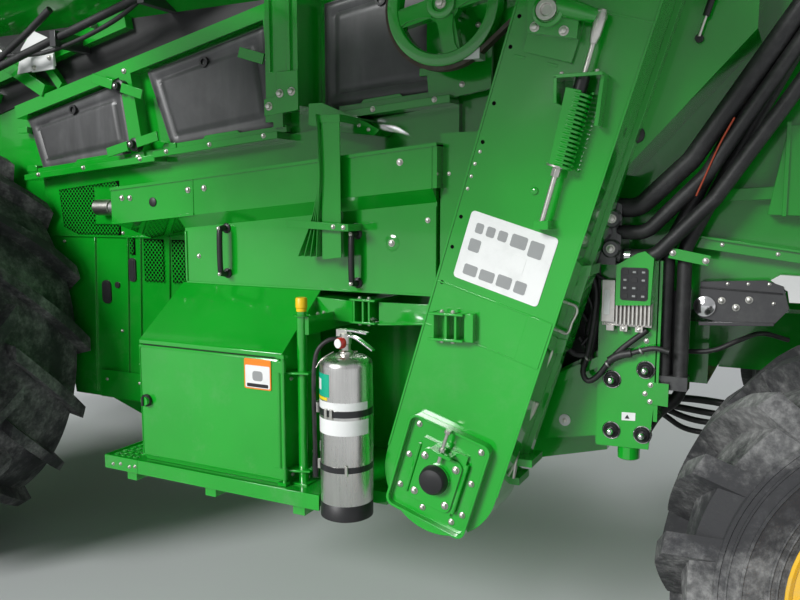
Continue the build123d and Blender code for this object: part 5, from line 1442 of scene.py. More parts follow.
# Rear of the flank: hose clamp, arm with its pale rear half, folded rails and steps
rearParts = {
    "clamp": [(3.672, 1.53), (3.682, 1.562), (3.798, 1.54), (3.79, 1.508)],
    "clampBolts": [(3.686, 1.546), (3.784, 1.524)],
    "arm": [
        (3.76, 1.335), (3.86, 1.312), (3.98, 1.325), (4.02, 1.375), (4.0, 1.445), (3.95, 1.462),
        (3.76, 1.45),
    ],
    "armEdge": [(3.76, 1.31), (3.98, 1.322), (3.98, 1.332), (3.76, 1.322)],
    "paleArm": [
        (3.962, 1.462), (4.012, 1.43), (4.018, 1.395), (4.24, 1.395), (4.24, 1.44), (4.14, 1.475),
        (3.99, 1.48),
    ],
    "armStrip": [(3.76, 1.43), (4.0, 1.42), (4.0, 1.424), (3.76, 1.434)],
    "armBolts": [
        (3.825, -1.135, 1.392), (3.868, -1.135, 1.372), (3.905, -1.135, 1.398), (4.1, -1.13, 1.41),
        (4.18, -1.13, 1.41),
    ],
    "smallBolts": [(3.84, 1.446), (3.9, 1.448), (3.96, 1.45), (3.975, 1.39)],
    "rail": [(3.74, 1.56), (4.25, 1.49), (4.25, 1.525), (3.74, 1.595)],
    "railEdge": [(3.74, 1.592), (4.25, 1.522), (4.25, 1.53), (3.74, 1.6)],
    "railBolts": [(3.82, 1.57), (3.98, 1.545), (4.14, 1.52)],
    "upperRail": [(3.8, 1.705), (4.25, 1.725), (4.25, 1.765), (3.8, 1.742)],
    "step": [(3.945, 1.665), (4.24, 1.655), (4.24, 1.93), (3.99, 1.93)],
    "hoses": (
        (((3.611, 1.01), (3.76, 1.015), (3.942, 0.999), (4.156, 0.972)), 0.013),
        (((3.611, 0.988), (3.782, 0.972), (3.974, 0.962), (4.188, 0.93)), 0.012),
        (((3.632, 0.97), (3.739, 0.94), (3.91, 0.935), (4.103, 0.908)), 0.011),
        (((3.632, 0.946), (3.718, 0.903), (3.889, 0.897), (4.049, 0.876)), 0.01),
    ),
    "pipe": [
        (3.7, -1.115, 1.215), (3.8, -1.115, 1.225), (3.88, -1.09, 1.262), (3.94, -1.0, 1.275),
        (4.02, -0.94, 1.25),
    ],
}
rear = Piece("rear_flank_fittings")
rear.plate(rearParts["clamp"], (-1.236, -1.246))
rear.bolts(stack(rearParts["clampBolts"], -1.246), toLeft, 0.0105)
rear.plate(rearParts["arm"], (-1.085, -1.135), "blackPaint")
rear.plate(rearParts["armEdge"], (-1.085, -1.15), "blackPaint")
rear.plate(rearParts["paleArm"], (-1.085, -1.13), "whitePaint")
rear.plate(rearParts["armStrip"], (-1.134, -1.142), "blackPlastic")
rear.lathe(
    [(0.034, 0), (0.034, 0.01), (0.022, 0.012), (0.016, 0.016)], (3.775, -1.135, 1.372), toLeft, "chrome",
    28,
)
rear.bolts(rearParts["armBolts"], toLeft, 0.012)
rear.bolts(stack(rearParts["smallBolts"], -1.135), toLeft, 0.006)
rear.plate(rearParts["rail"], (-1.078, -1.15))
rear.plate(rearParts["railEdge"], (-1.078, -1.165))
rear.bolts(stack(rearParts["railBolts"], -1.15), toLeft, 0.007)
rear.plate(rearParts["upperRail"], (-1.078, -1.125))
rear.plate(rearParts["step"], (-1.09, -1.16))
rear.box((3.985, 3.997), (-1.172, -1.09), (1.66, 1.94))
for line, size in rearParts["hoses"]:
    rear.flankTube(line, -0.915 - size, size, "hoseRubber", 12, 8)
rear.flankTube([(3.72, 1.13), (3.7, 1.06), (3.64, 1.0), (3.6, 0.93)], -1.125, 0.02, "hoseRubber", 14, 8)
rear.tube(curve(rearParts["pipe"], 6), 0.008, "hoseRubber", 10)
rear.box((3.915, 3.945), (-0.945, -0.905), (0.88, 1.03), "blackPaint")
rear.bothSides().done(0.0012)

# Diagonal sheet: gas strut, knob, flange fitting and hose clamps of the manifold
manifold = {
    "strut": [(3.782, -1.325, 2.3), (3.762, -1.325, 2.235)],
    "strutRod": [(3.764, -1.325, 2.24), (3.745, -1.325, 2.179)],
    "bolts": [(3.53, 1.93), (3.46, 1.99)],
    "flanges": ((3.476, 1.703), (3.508, 1.651), (3.477, 1.608), (3.507, 1.557)),
    "hoseClamp": [(3.588, 2.212), (3.634, 2.205), (3.614, 2.155), (3.588, 2.16)],
    "blackStrip": [(3.574, 2.185), (3.587, 2.185), (3.541, 2.0), (3.531, 2.004)],
    "greenStrip": [(3.574, 2.25), (3.584, 2.25), (3.524, 1.985), (3.514, 1.985)],
    "blackTab": [(3.5, 1.959), (3.532, 1.952), (3.524, 1.921), (3.495, 1.925)],
    "tabBolts": [(3.545, 1.985), (3.538, 1.965)],
}
diagonal = Piece("manifold_fittings")
diagonal.tube(manifold["strut"], 0.01, "blackPlastic", 12)
diagonal.tube(manifold["strutRod"], 0.005, "zinc", 10)
diagonal.lathe([(0.012, 0), (0.012, 0.02)], (3.745, -1.3, 2.176), toLeft, "blackPlastic", 14)
diagonal.lathe(
    [(0.026, 0), (0.026, 0.008), (0.02, 0.012), (0.006, 0.013)], (3.573, -1.299, 1.907), toLeft,
    "blackPlastic", 24,
)
diagonal.bolts(stack(manifold["bolts"], -1.3), toLeft, 0.006)
for high in (1.706, 1.611):  # clamped ends of the two upper hoses
    diagonal.plate(
        [
            (3.455, high - 0.03), (3.475, high + 0.022), (3.535, high - 0.012), (3.535, high - 0.075),
            (3.505, high - 0.075),
        ],
        (-1.2, -1.288),
        "blackPaint",
    )
diagonal.lathe([(0.026, -0.01), (0.026, 0.01)], (3.552, -1.25, 1.532), toRear, "chrome", 24)
diagonal.lathe([(0.025, -0.05), (0.025, 0.012)], (3.52, -1.25, 1.532), toRear, "blackPaint", 24)
for x, z in manifold["flanges"]:
    diagonal.lathe([(0.03, -0.02), (0.03, 0.006), (0.024, 0.012)], (x, -1.292, z), toLeft, "blackPaint", 20)
    diagonal.bolts([(x, -1.304, z)], toLeft, 0.0145)
diagonal.flankTube(
    [
        (3.42, 2.3), (3.475, 2.284), (3.541, 2.26), (3.587, 2.244), (3.628, 2.223), (3.633, 2.195),
        (3.624, 2.175),
    ],
    -1.42,
    0.014,
    "hoseRubber",
    12,
    6,
)
diagonal.lathe([(0.017, -0.006), (0.017, 0.006)], (3.57, -1.42, 2.25), (1, 0, -0.35), "zinc", 16)
diagonal.plate(manifold["hoseClamp"], (-1.3, -1.41), "blackPaint")
diagonal.plate(manifold["blackStrip"], (-1.29, -1.341), "labelBlack")
diagonal.plate(manifold["greenStrip"], (-1.29, -1.352))
diagonal.plate(manifold["blackTab"], (-1.29, -1.341), "labelBlack")
diagonal.bolts(stack(manifold["tabBolts"], -1.341), toLeft, 0.008)
stripe = curve([(3.848, 1.949), (3.81, 1.872), (3.772, 1.775), (3.751, 1.721)], 6)
diagonal.tube([(x, -1.276, z) for x, z in stripe], 0.003, "tagRed", 6)
diagonal.done(0.001)

# Tyres and rims: sidewall ribs, bead, hub, wheel nuts and valve, riding on their wheels
wheels = {  # axle: x, track half, radius, width, rim radius, wheel nuts
    "front": (0.0, 1.55, 1.035, 0.84, 0.483, 12),
    "rear": (4.44, 1.51, 0.71, 0.5, 0.355, 8),
}


def dressWheel(axle, hand, sign):
    # Ribs, lips, hub and nuts are profiles turned about the axle, at shares of the sidewall's height
    x, track, radius, width, rimRadius, nuts = wheels[axle]
    hub, body = np.array((x, sign * track, radius)), f"{axle}_wheel_{hand}"
    carcass = radius - 0.062
    wall = carcass - rimRadius
    tyre = Piece(f"{axle}_tyre_ribs_{hand}", body, "tyre")
    levels = (rimRadius + 0.025, rimRadius + 0.42 * wall, rimRadius + 0.62 * wall, carcass - 0.034)
    outs = (0.41 * width, 0.5 * width, 0.5 * width, 0.46 * width)
    for share, broad, proud in (
        (0.07, 0.016, 0.01), (0.16, 0.004, 0.003), (0.22, 0.004, 0.003), (0.44, 0.007, 0.004),
        (0.56, 0.005, 0.003), (0.64, 0.01, 0.005),
    ):
        ringRadius = rimRadius + share * wall
        out = float(np.interp(ringRadius, levels, outs))
        profile = [
            (ringRadius - broad, out - 0.004), (ringRadius - broad * 0.5, out + proud),
            (ringRadius + broad * 0.5, out + proud), (ringRadius + broad, out - 0.004),
        ]
        for side in (1, -1):
            tyre.lathe(profile, hub, (0, side, 0), "tyreRubber", 96, closed=True)
    tyre.done(0, 50)

    rim = Piece(f"{axle}_rim_trim_{hand}", body, "yellow_paint")
    axis = (0, sign, 0)
    rim.boltRing(hub + (0, sign * 0.012, 0), 0.136, nuts, axis, 0.0135)
    rim.lathe(
        [(0.119, 0.07), (0.119, 0.1), (0.112, 0.112), (0.062, 0.116), (0.06, 0.13), (0.022, 0.134)], hub,
        axis, "greenPaint" if axle == "front" else "yellowPaint", 40,
    )
    rim.boltRing(hub + (0, sign * 0.114, 0), 0.092, 8, axis, 0.009)
    web = 0.22 * width
    well = rimRadius - 0.024
    rim.lathe(
        [
            (well - 0.012, web - 0.02), (well + 0.002, web - 0.026), (well + 0.002, web + 0.026),
            (well - 0.012, web + 0.02),
        ],
        hub,
        axis,
        "yellowPaint",
        72,
        closed=True,
    )
    bead = 0.41 * width
    for side in (1, -1):
        lip = [
            (rimRadius + 0.018, bead + 0.01), (rimRadius + 0.028, bead + 0.012),
            (rimRadius + 0.03, bead + 0.022), (rimRadius + 0.022, bead + 0.026),
            (rimRadius + 0.012, bead + 0.016),
        ]
        rim.lathe(lip, hub, (0, side, 0), "yellowPaint", 72, closed=True)
    valve = np.array(
        [(0.0, web + 0.01, well - 0.004), (0.0, web + 0.04, well - 0.016), (0.0, web + 0.075, well - 0.018)]
    )
    rim.tube(hub + curve(valve * (1, sign, 1), 4), 0.0055, "zinc", 8)
    rim.lathe(
        [(0.009, 0), (0.009, 0.018), (0.006, 0.022)], hub + valve[-1] * (1, sign, 1), axis, "blackPlastic",
        12,
    )
    rim.done(0.0012)


for axle in wheels:
    for hand, sign in (("left", -1), ("right", 1)):
        dressWheel(axle, hand, sign)

# Axles: flange bolts, joint rings, brake pipes, kingpin caps and the steering cylinder's barrel
axleParts = {
    "hoops": (0.74, 0.88),
}
axles = Piece("axle_fittings")
driveY, axleZ = 1.06, wheels["front"][2]
kingpin, ramX = (4.44, 1.17), 4.622
for sign in (-1, 1):
    axles.boltRing((0, sign * driveY, axleZ), 0.186, 14, (0, sign, 0), 0.013)
    for y in axleParts["hoops"]:
        axles.hoop((0.205, 0.228), (y, y + 0.022), (0, 0, axleZ), (0, sign, 0), "greenPaint", 56)
        axles.boltRing((0, sign * (y + 0.022), axleZ), 0.219, 16, (0, sign, 0), 0.008)
    axles.lathe(
        [(0.15, 0), (0.15, 0.03), (0.135, 0.04), (0.135, 0.12), (0.124, 0.14)], (0, sign * driveY, axleZ),
        (0, sign, 0), "castMetal", 40,
    )
    pipe = [
        (-0.16, sign * 0.1, 1.15), (-0.162, sign * 0.4, 1.152), (-0.15, sign * 0.66, 1.2),
        (-0.06, sign * 0.8, 1.262), (0.0, sign * 0.92, 1.255),
    ]
    axles.tube(curve(pipe, 6), 0.008, "hoseRubber", 8)
    for z, way in ((0.495, -1), (0.925, 1)):  # kingpin caps
        pin = [(0.055, 0), (0.055, 0.01), (0.04, 0.016), (0.012, 0.018)]
        axles.lathe(pin, (kingpin[0], sign * kingpin[1], z), (0, 0, way), "greenPaint", 28)
        axles.boltRing((kingpin[0], sign * kingpin[1], z + 0.01 * way), 0.04, 4, (0, 0, way), 0.008, 45)
ram = [(ramX, y, 0.71) for y in (-0.36, 0.36)]
axles.tube(ram, 0.045, "blackPaint", 24)
for sign in (-1, 1):
    axles.lathe(
        [(0.052, 0), (0.052, 0.04), (0.04, 0.046)], (ramX, sign * 0.34, 0.71), (0, sign, 0), "blackPaint",
        24,
    )
    axles.tube([(ramX, sign * 0.37, 0.71), (ramX, sign * 0.5, 0.71)], 0.02, "chrome", 16)
    axles.box((4.548, 4.632), (sign * 0.24 - 0.015, sign * 0.24 + 0.015), (0.65, 0.77), "greenPaint")
    axles.tube(
        curve(
            [
                (ramX, sign * 0.3, 0.754), (4.61, sign * 0.28, 0.83), (4.56, sign * 0.2, 0.9),
                (4.47, sign * 0.12, 0.96),
            ],
            6,
        ),
        0.009,
        "hoseRubber",
        8,
    )
axles.done(0.0015)

# Feeder house: front frame with its hooks and slats, ribs, side covers and the lift's glands and pipes
feederFall = math.radians(26.0)
pivot = np.array((-0.84, 0.0, 1.76))


def onFeeder(along, y, down):  # place on the feeder: metres along it, across, and down square to it
    forward = (-math.cos(feederFall), -math.sin(feederFall))
    below = (math.sin(feederFall), -math.cos(feederFall))
    return (
        pivot[0] + along * forward[0] + down * below[0], y, pivot[2] + along * forward[1] + down * below[1]
    )


def feederBar(piece, along, y, down, finish="greenPaint"):  # a block square to the feeder
    rows = [
        [
            onFeeder(a, level, d)
            for a, d in ((along[0], down[0]), (along[1], down[0]), (along[1], down[1]), (along[0], down[1]))
        ]
        for level in y
    ]
    piece.grid(rows, finish)


feederParts = {
    "ribs": (0.34, 0.7, 1.06, 1.42),
    "hose": [
        (0.1, -0.715, -0.2), (0.45, -0.722, -0.155), (1.0, -0.722, -0.15), (1.52, -0.725, -0.152),
        (1.66, -0.742, -0.18),
    ],
    "clips": (0.62, 1.22),
}
feeder = Piece("feeder_trim", "feeder")
length, half = 1.7, 0.7
for sign in (-1, 1):
    side = sorted((sign * half, sign * (half + 0.012)))
    for along in feederParts["ribs"]:  # pressed ribs on the side walls
        feederBar(feeder, (along, along + 0.03), side, (-0.27 if along > 0.6 else -0.24, 0.3))
    feederBar(feeder, (0.3, 1.68), side, (0.285, 0.315))
    feederBar(feeder, (0.3, 1.68), side, (-0.275, -0.25))
    cover = sorted((sign * half, sign * (half + 0.05)))
    feederBar(feeder, (0.16, 1.52), cover, (-0.11, 0.07), "blackPaint" if sign > 0 else "greenPaint")
    hook = sorted((sign * 0.6, sign * 0.66))
    feederBar(feeder, (length + 0.01, length + 0.06), hook, (-0.345, -0.305), "blackPaint")
    pin = sorted((sign * 0.64, sign * 0.8))
    spot = np.array(onFeeder(length + 0.035, 0.0, 0.3))
    feeder.lathe([(0.022, pin[0]), (0.022, pin[1])], spot, toRight, "zinc", 16)
    frameSpots = [onFeeder(length + 0.068, sign * 0.735, down) for down in (-0.26, -0.1, 0.06, 0.22)]
    feeder.bolts(frameSpots, onFeeder(1, 0, 0) - pivot, 0.014)
    shaft = np.array(onFeeder(1.6, 0.0, 0.02))
    profile = [(0.075, 0.7), (0.075, 0.745), (0.05, 0.755), (0.05, 0.79), (0.022, 0.795), (0.022, 0.85)]
    feeder.lathe(profile, shaft, (0, sign, 0), "castMetal", 28)
for row in range(7):  # conveyor slats and their chains seen in the mouth
    down = -0.17 + row * 0.062
    feederBar(feeder, (1.56, 1.59), (-0.6, 0.6), (down, down + 0.028), "castMetal")
for y in (-0.4, 0.0, 0.4):
    feederBar(feeder, (1.545, 1.6), (y - 0.022, y + 0.022), (-0.185, 0.235), "castMetal")
for y in (-0.35, 0.35):
    feederBar(feeder, (0.55, 1.45), (y - 0.16, y + 0.16), (-0.304, -0.288))
for row in range(3):
    path = [onFeeder(a, y - 0.001 * row, d - 0.024 * row) for a, y, d in curve(feederParts["hose"], 6)]
    feeder.tube(path, 0.009, "hoseRubber", 8)
for along in feederParts["clips"]:
    feederBar(feeder, (along, along + 0.03), (-0.736, -0.7), (-0.218, -0.14), "zinc")
feeder.done(0.0015)

# Lift cylinders: glands and ports on the barrels, grease caps on the rods' eyes
foot, eye = np.array((-0.26, 0.0, 0.93)), np.array(onFeeder(1.15, 0.0, 0.4))
axis = (eye - foot) / np.linalg.norm(eye - foot)
lift = Piece("lift_glands", "barrels", "black_paint")
for sign in (-1, 1):
    end = foot + axis * 0.85 + (0, sign * 0.6, 0)
    gland = [
        (0.0375, -0.006), (0.0655, -0.006), (0.0655, -0.06), (0.0605, -0.064), (0.0605, -0.01),
        (0.0375, 0.004),
    ]
    lift.lathe(gland[::-1], end, axis, "blackPaint", 32, closed=True)
    opening = foot + axis * 0.16 + (0, sign * 0.6, 0)
    lift.lathe(
        [(0.016, 0.05), (0.016, 0.076), (0.011, 0.08), (0.011, 0.096)], opening, (0.3, 0, 1.0), "zinc", 14
    )
lift.done(0.001)
eyes = Piece("lift_eye_caps", "rods", "chrome_rod")
for sign in (-1, 1):
    for side in (-1, 1):
        cap = eye + (0, sign * 0.6 + side * 0.035, 0)
        eyes.lathe([(0.03, -0.004), (0.03, 0.0015)], cap, (0, side, 0), "zinc", 20)
eyes.done()
print("wheels, axles and feeder dressed")

# Cab: window seals, wiper, mirror faces, lamp bezels, roof vents, door hardware, and what is inside
cabArc = 2.4674  # the windscreen's radius, from its sagitta of 0.17 over a half width of 0.9
cabFrontX = -2.3


def windscreen(y):  # x of the bowed front at a place across it
    return cabFrontX + cabArc - np.sqrt(cabArc**2 - np.asarray(y) ** 2)


def frameAround(piece, low, high, level, wide, thick, finish, plane="side", radius=0.03):
    # A flat frame with round corners, as a ring of four-sided sections
    inner = rounded(np.add(low, wide), np.subtract(high, wide), max(radius - wide, 0.006), 5)
    outer = rounded(low, high, radius, 5)
    order = {"side": (0, 2, 1), "floor": (0, 1, 2), "cross": (2, 0, 1)}[plane]
    rings = []
    for outline, off in ((outer, 0.0), (outer, thick), (inner, thick), (inner, 0.0)):
        rings.append(
            np.stack([outline[:, 0], outline[:, 1], np.full(len(outline), level + off)], -1)[:, order]
        )
    return piece.grid(np.stack(rings), finish, closed=True)


cabParts = {
    "seals": (2.29, 3.48),
    "swages": (2.262, 2.215),
    "lamps": (-0.82, -0.56, 0.56, 0.82),
    "frontBolts": ((-0.7, 2.2), (0.7, 2.2), (-0.3, 2.2), (0.3, 2.2)),
    "sideBolts": (-2.05, -1.7, -1.3, -0.9),
}
cab = Piece("cab_trim")
across = np.linspace(-0.78, 0.78, 25)
for z in cabParts["seals"]:
    cab.tube(np.stack([windscreen(across) - 0.002, across, np.full(25, z)], -1), 0.012, "blackPlastic", 8)
for y in (-0.78, 0.78):
    cab.tube([(float(windscreen(y)) - 0.002, y, z) for z in (2.29, 2.9, 3.48)], 0.012, "blackPlastic", 8)
frameAround(cab, (-2.128, 2.412), (-0.822, 3.488), 0.9, 0.022, 0.008, "blackPlastic")
frameAround(cab, (-2.128, 2.412), (-1.662, 3.488), -0.9, 0.022, -0.008, "blackPlastic")
frameAround(cab, (-0.608, 2.792), (0.608, 3.408), -0.7, 0.022, 0.008, "blackPlastic", "cross")
frameAround(cab, (-1.604, 2.176), (-0.781, 3.514), -0.9, 0.012, -0.005, "blackPlastic", radius=0.05)
for z in cabParts["swages"]:  # swages under the windscreen
    level = np.full(25, z)
    cab.tube(
        np.stack([windscreen(across * 1.12) - 0.001, across * 1.12, level], -1), 0.005, "greenPaint", 6
    )
for y in (-0.86, 0.86):
    stretch = np.linspace(2.2, 3.5, 6)
    cab.tube(
        np.stack([np.full(6, float(windscreen(y)) + 0.004), np.full(6, y), stretch], -1), 0.006,
        "greenPaint", 6,
    )
# Wiper: motor cap, arm and blade that follows the bow
base = (float(windscreen(-0.1)) - 0.016, -0.1, 2.255)
cab.lathe(
    [(0.028, 0), (0.028, 0.014), (0.015, 0.022)], (base[0] + 0.014, base[1], base[2]), toFront,
    "blackPlastic", 20,
)
cab.tube(
    curve([base, (base[0] - 0.022, 0.06, 2.46), (base[0] - 0.016, 0.26, 2.76)], 6), 0.007, "blackPlastic", 8
)
blade = np.linspace(0.04, 0.5, 12)
cab.tube(
    np.stack([windscreen(blade) - 0.014, blade, 2.98 - blade * 0.85], -1), [0.004] + [0.008] * 10 + [0.004],
    "blackPlastic", 6,
)
# Roof: gutter, air inlets, seam and lamp bezels
cab.tile((-2.385, -0.985), (-0.615, 0.985), 0.11, (3.556, 3.566), "blackPlastic", "floor")
for y in (-0.45, 0.45):
    cab.tile((-1.15, y - 0.22), (-0.8, y + 0.22), 0.05, (3.716, 3.728), "blackPlastic", "floor")
    for row in range(9):
        x = -1.12 + row * 0.036
        cab.box((x, x + 0.014), (y - 0.19, y + 0.19), (3.726, 3.735), "blackPlastic")
cab.tile((-2.02, -0.42), (-1.38, 0.42), 0.08, (3.716, 3.726), "greenPaint", "floor")
for y in cabParts["lamps"]:
    frameAround(
        cab, (y - 0.092, 3.448), (y + 0.092, 3.556), -2.372, 0.016, -0.014, "blackPlastic", "cross", 0.018
    )
    cab.box((-2.33, -2.3), (y - 0.07, y + 0.07), (3.47, 3.545), "blackPlastic")
for sign in (-1, 1):  # mirror faces look back, with a rim round each
    low, high = sorted((sign * 1.195, sign * 1.435))
    cab.tile((low + 0.012, 3.082), (high - 0.012, 3.478), 0.03, (-2.2, -2.1985), "mirrorGlass", "cross")
    frameAround(cab, (low, 3.07), (high, 3.49), -2.2005, 0.014, 0.008, "blackPlastic", "cross", 0.035)
    cab.tube(
        curve([(-2.236, sign * 1.0, 3.57), (-2.236, sign * 1.2, 3.56), (-2.234, sign * 1.312, 3.5)], 5),
        0.016, "blackPlastic", 10,
    )
for y, z in cabParts["frontBolts"]:
    cab.bolts([(float(windscreen(y)) - 0.001, y, z)], toFront, 0.012)
for x in cabParts["sideBolts"]:
    cab.bolts([(x, 0.9005, 2.22)], toRight, 0.012)
cab.done(0.0012)

door = Piece("cab_door_trim", "door")
frameAround(door, (-1.526, 2.248), (-0.859, 3.442), -0.9, 0.02, -0.007, "blackPlastic")
frameAround(door, (-1.526, 2.248), (-0.859, 3.442), -0.85, 0.02, 0.006, "blackPlastic")
door.tile((-1.574, 2.705), (-1.52, 2.975), 0.02, (-0.9, -0.9055), "blackPlastic")
door.tube(
    curve([(-1.55, -0.949, 2.735), (-1.55, -0.951, 2.84), (-1.55, -0.949, 2.945)], 4), 0.013,
    "blackPlastic", 10,
)
door.box((-1.57, -1.532), (-0.858, -0.846), (2.74, 2.86), "blackPlastic")
door.done(0.001)

# Steering wheel, column shroud, console with levers and a screen
insideParts = {
    "levers": ((-1.32, 0.33), (-1.32, 0.38)),
    "arm": [(-1.43, 0.42, 2.84), (-1.52, 0.5, 3.02)],
    "screen": [(0.42, 3.0), (0.68, 3.0), (0.68, 3.18), (0.42, 3.18)],
}
inside = Piece("cab_inside", slot="black_plastic")
tilt = math.radians(-28.0)
wheelSpot = np.array((-1.93, 0.0, 2.875))
normal = np.array((math.sin(tilt), 0.0, math.cos(tilt)))
ringAcross, ringUp = circle(0.19, 48)
sideways = np.array((math.cos(tilt), 0.0, -math.sin(tilt)))
ring = wheelSpot + ringAcross[:, None] * sideways + ringUp[:, None] * np.array((0.0, 1.0, 0.0))
inside.lathe(
    [(0.055, -0.06), (0.06, 0.0), (0.052, 0.022), (0.02, 0.03)], wheelSpot, normal, "blackPlastic", 32
)
roundRim = [
    (0.19 + 0.0215 * math.cos(a), 0.0215 * math.sin(a))
    for a in np.linspace(0, 2 * math.pi, 10, endpoint=False)
]
inside.lathe(roundRim, wheelSpot, normal, "blackPlastic", 48, closed=True)
inside.lathe(
    [(0.072, 0.0), (0.066, 0.3), (0.064, 0.55), (0.07, 0.66)], (-1.96, 0.0, 2.18), upward, "blackPlastic",
    28,
)
inside.tile((-1.44, 0.27), (-0.98, 0.432), 0.04, (2.8155, 2.842), "greyPlastic", "floor")
for x, y in insideParts["levers"]:
    inside.tube([(x, y, 2.84), (x - 0.02, y, 2.9)], 0.006, "chrome", 8)
    inside.lathe(
        [(0.012, 0), (0.019, 0.014), (0.014, 0.034)], (x - 0.02, y, 2.9), (-0.2, 0, 1),
        "capYellow" if y > 0.35 else "blackPlastic", 14,
    )
inside.tube(
    curve([(-1.22, 0.35, 2.84), (-1.235, 0.35, 2.92), (-1.25, 0.345, 2.97)], 4),
    [0.03] * 4 + [0.026] * 3 + [0.03] * 2, "blackPlastic", 14,
)
inside.tube(insideParts["arm"], 0.014, "blackPlastic", 10)
inside.plate(insideParts["screen"], (-1.55, -1.52), "blackPlastic", "cross")
inside.tile((0.435, 3.015), (0.665, 3.165), 0.01, (-1.5195, -1.5185), "labelGrey", "cross")
for y in (-0.16, 0.16):
    inside.plate(
        [(-2.06, 2.205), (-1.98, 2.188), (-1.86, 2.215), (-1.98, 2.27)], (y - 0.045, y + 0.045),
        "blackPlastic",
    )
inside.tile((-2.1, -0.8), (-0.78, 0.8), 0.06, (2.1755, 2.184), "blackPlastic", "floor")
inside.done(0.002)


# Seat: crowned cushions with sewn channels, worked out as superellipse pads
def pad(piece, low, high, crown, channels, finish):
    # Point (a, b) of a rounded box: sides swell as cosines to a small power, grooves dip at the seams
    low, high = np.asarray(low), np.asarray(high)
    middle, half = (low + high) / 2, (high - low) / 2
    a, b = np.meshgrid(
        np.linspace(-math.pi / 2, math.pi / 2, 41), np.linspace(-math.pi, math.pi, 72, endpoint=False),
        indexing="ij",
    )
    power = 0.3

    def swell(value):
        return np.sign(value) * np.abs(value) ** power

    shape = np.stack(
        [swell(np.cos(a)) * swell(np.cos(b)), swell(np.cos(a)) * swell(np.sin(b)), swell(np.sin(a))], -1
    )
    bulge = 1 + crown * (1 - np.abs(shape[..., [1, 2, 0]]) ** 2) * (1 - np.abs(shape[..., [2, 0, 1]]) ** 2)
    points = shape * bulge / (1 + crown)
    for axis, spots, deep in channels:
        for spot in spots:
            dip = np.exp(-(((points[..., axis] - spot) / 0.035) ** 2)) * deep
            points = points * (1 - dip[..., None] * (np.arange(3) != axis))
    return piece.grid(middle + points * half, finish)


seat = Piece("seat_padded", slot="seat_fabric")
pad(
    seat, (-1.48, -0.25, 2.5), (-0.965, 0.25, 2.65), 0.1, [(1, (-0.55, 0.55), 0.05), (0, (-0.1,), 0.03)],
    "seatCloth",
)
pad(
    seat, (-1.085, -0.24, 2.66), (-0.955, 0.24, 3.25), 0.1,
    [(1, (-0.55, 0.55), 0.05), (2, (-0.35, 0.1, 0.55), 0.04)], "seatCloth",
)
pad(seat, (-1.415, 0.285, 2.6), (-1.01, 0.415, 2.812), 0.05, [], "seatCloth")
pad(
    seat, (-1.4, -0.185, 2.186), (-1.03, 0.185, 2.492), 0.02, [(2, (-0.6, -0.2, 0.2, 0.6), 0.1)],
    "blackPlastic",
)
seat.box((-1.1, -1.02), (-0.2, 0.2), (2.46, 2.7), "blackPlastic")
seat.box((-1.36, -1.1), (0.23, 0.3), (2.52, 2.57), "blackPlastic")
made = seat.done()
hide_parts("operator_seat")
print("cab dressed")

# Grain tank: pressed ribs, rolled edge, bolt rows, and the augers inside it
tankSize = {
    "front": -0.48, "rear": 2.15, "half": 1.45,
    "handle": [(2.15, 0.34, 3.18), (2.205, 0.34, 3.18), (2.205, 0.62, 3.18), (2.15, 0.62, 3.18)],
    "spoutTube": [(1.86, 0.95, 2.62), (1.15, 0.25, 3.3)],
    "spoutMouth": [(1.15, 0.25, 3.3), (1.1, 0.2, 3.35)],
}
hopper = Piece("tank_trim")
for sign in (-1, 1):
    wallY = sign * tankSize["half"]
    for x in np.linspace(-0.33, 1.93, 8):
        rib = [(x, 2.79), (x + 0.07, 2.79), (x + 0.07, 3.36), (x, 3.36)]
        hopper.plate(rib, (wallY, wallY + sign * 0.009))
    hopper.tube([(x, wallY + sign * 0.004, 3.432) for x in (-0.47, 0.8, 2.14)], 0.011, "greenPaint", 10)
    hopper.box((-0.46, 2.13), sorted((wallY, wallY + sign * 0.006)), (2.712, 2.752))
    hopper.bolts(
        [(x, wallY + sign * 0.006, 2.732) for x in np.arange(-0.4, 2.12, 0.21)], (0, sign, 0), 0.009
    )
    hopper.bolts(
        [(x, wallY + sign * 0.0005, 3.405) for x in np.arange(-0.28, 2.0, 0.335)], (0, sign, 0), 0.007
    )
for y in np.linspace(-1.25, 1.18, 7):
    hopper.box((tankSize["rear"], tankSize["rear"] + 0.008), (y, y + 0.07), (2.8, 3.36))
    hopper.box((tankSize["front"] - 0.008, tankSize["front"]), (y, y + 0.07), (2.8, 3.36))
hopper.tube(tankSize["handle"], 0.01, "blackPaint", 10)
for y in (-0.62, 0.62):  # saddles over the two floor augers, and the flights beside them
    hopper.plate([(y - 0.26, 2.575), (y, 2.735), (y + 0.26, 2.575)], (-0.4, 2.08), plane="cross")
turn = np.linspace(0, 2 * np.pi * 11, 200)
for y in (-0.2, 0.2):
    hopper.tube([(x, y, 2.64) for x in (-0.42, 0.8, 2.1)], 0.022, "castMetal", 12)
    spiral = [
        np.stack([-0.38 + turn * 0.0352, y + r * np.cos(turn), 2.64 + r * np.sin(turn)], -1)
        for r in (0.022, 0.074)
    ]
    hopper.grid(np.stack(spiral), "castMetal", around=False)
hopper.tube(tankSize["spoutTube"], 0.125, "greenPaint", 28)
hopper.tube(tankSize["spoutMouth"], [0.13, 0.145], "blackPaint", 28)
hopper.done(0.0015)

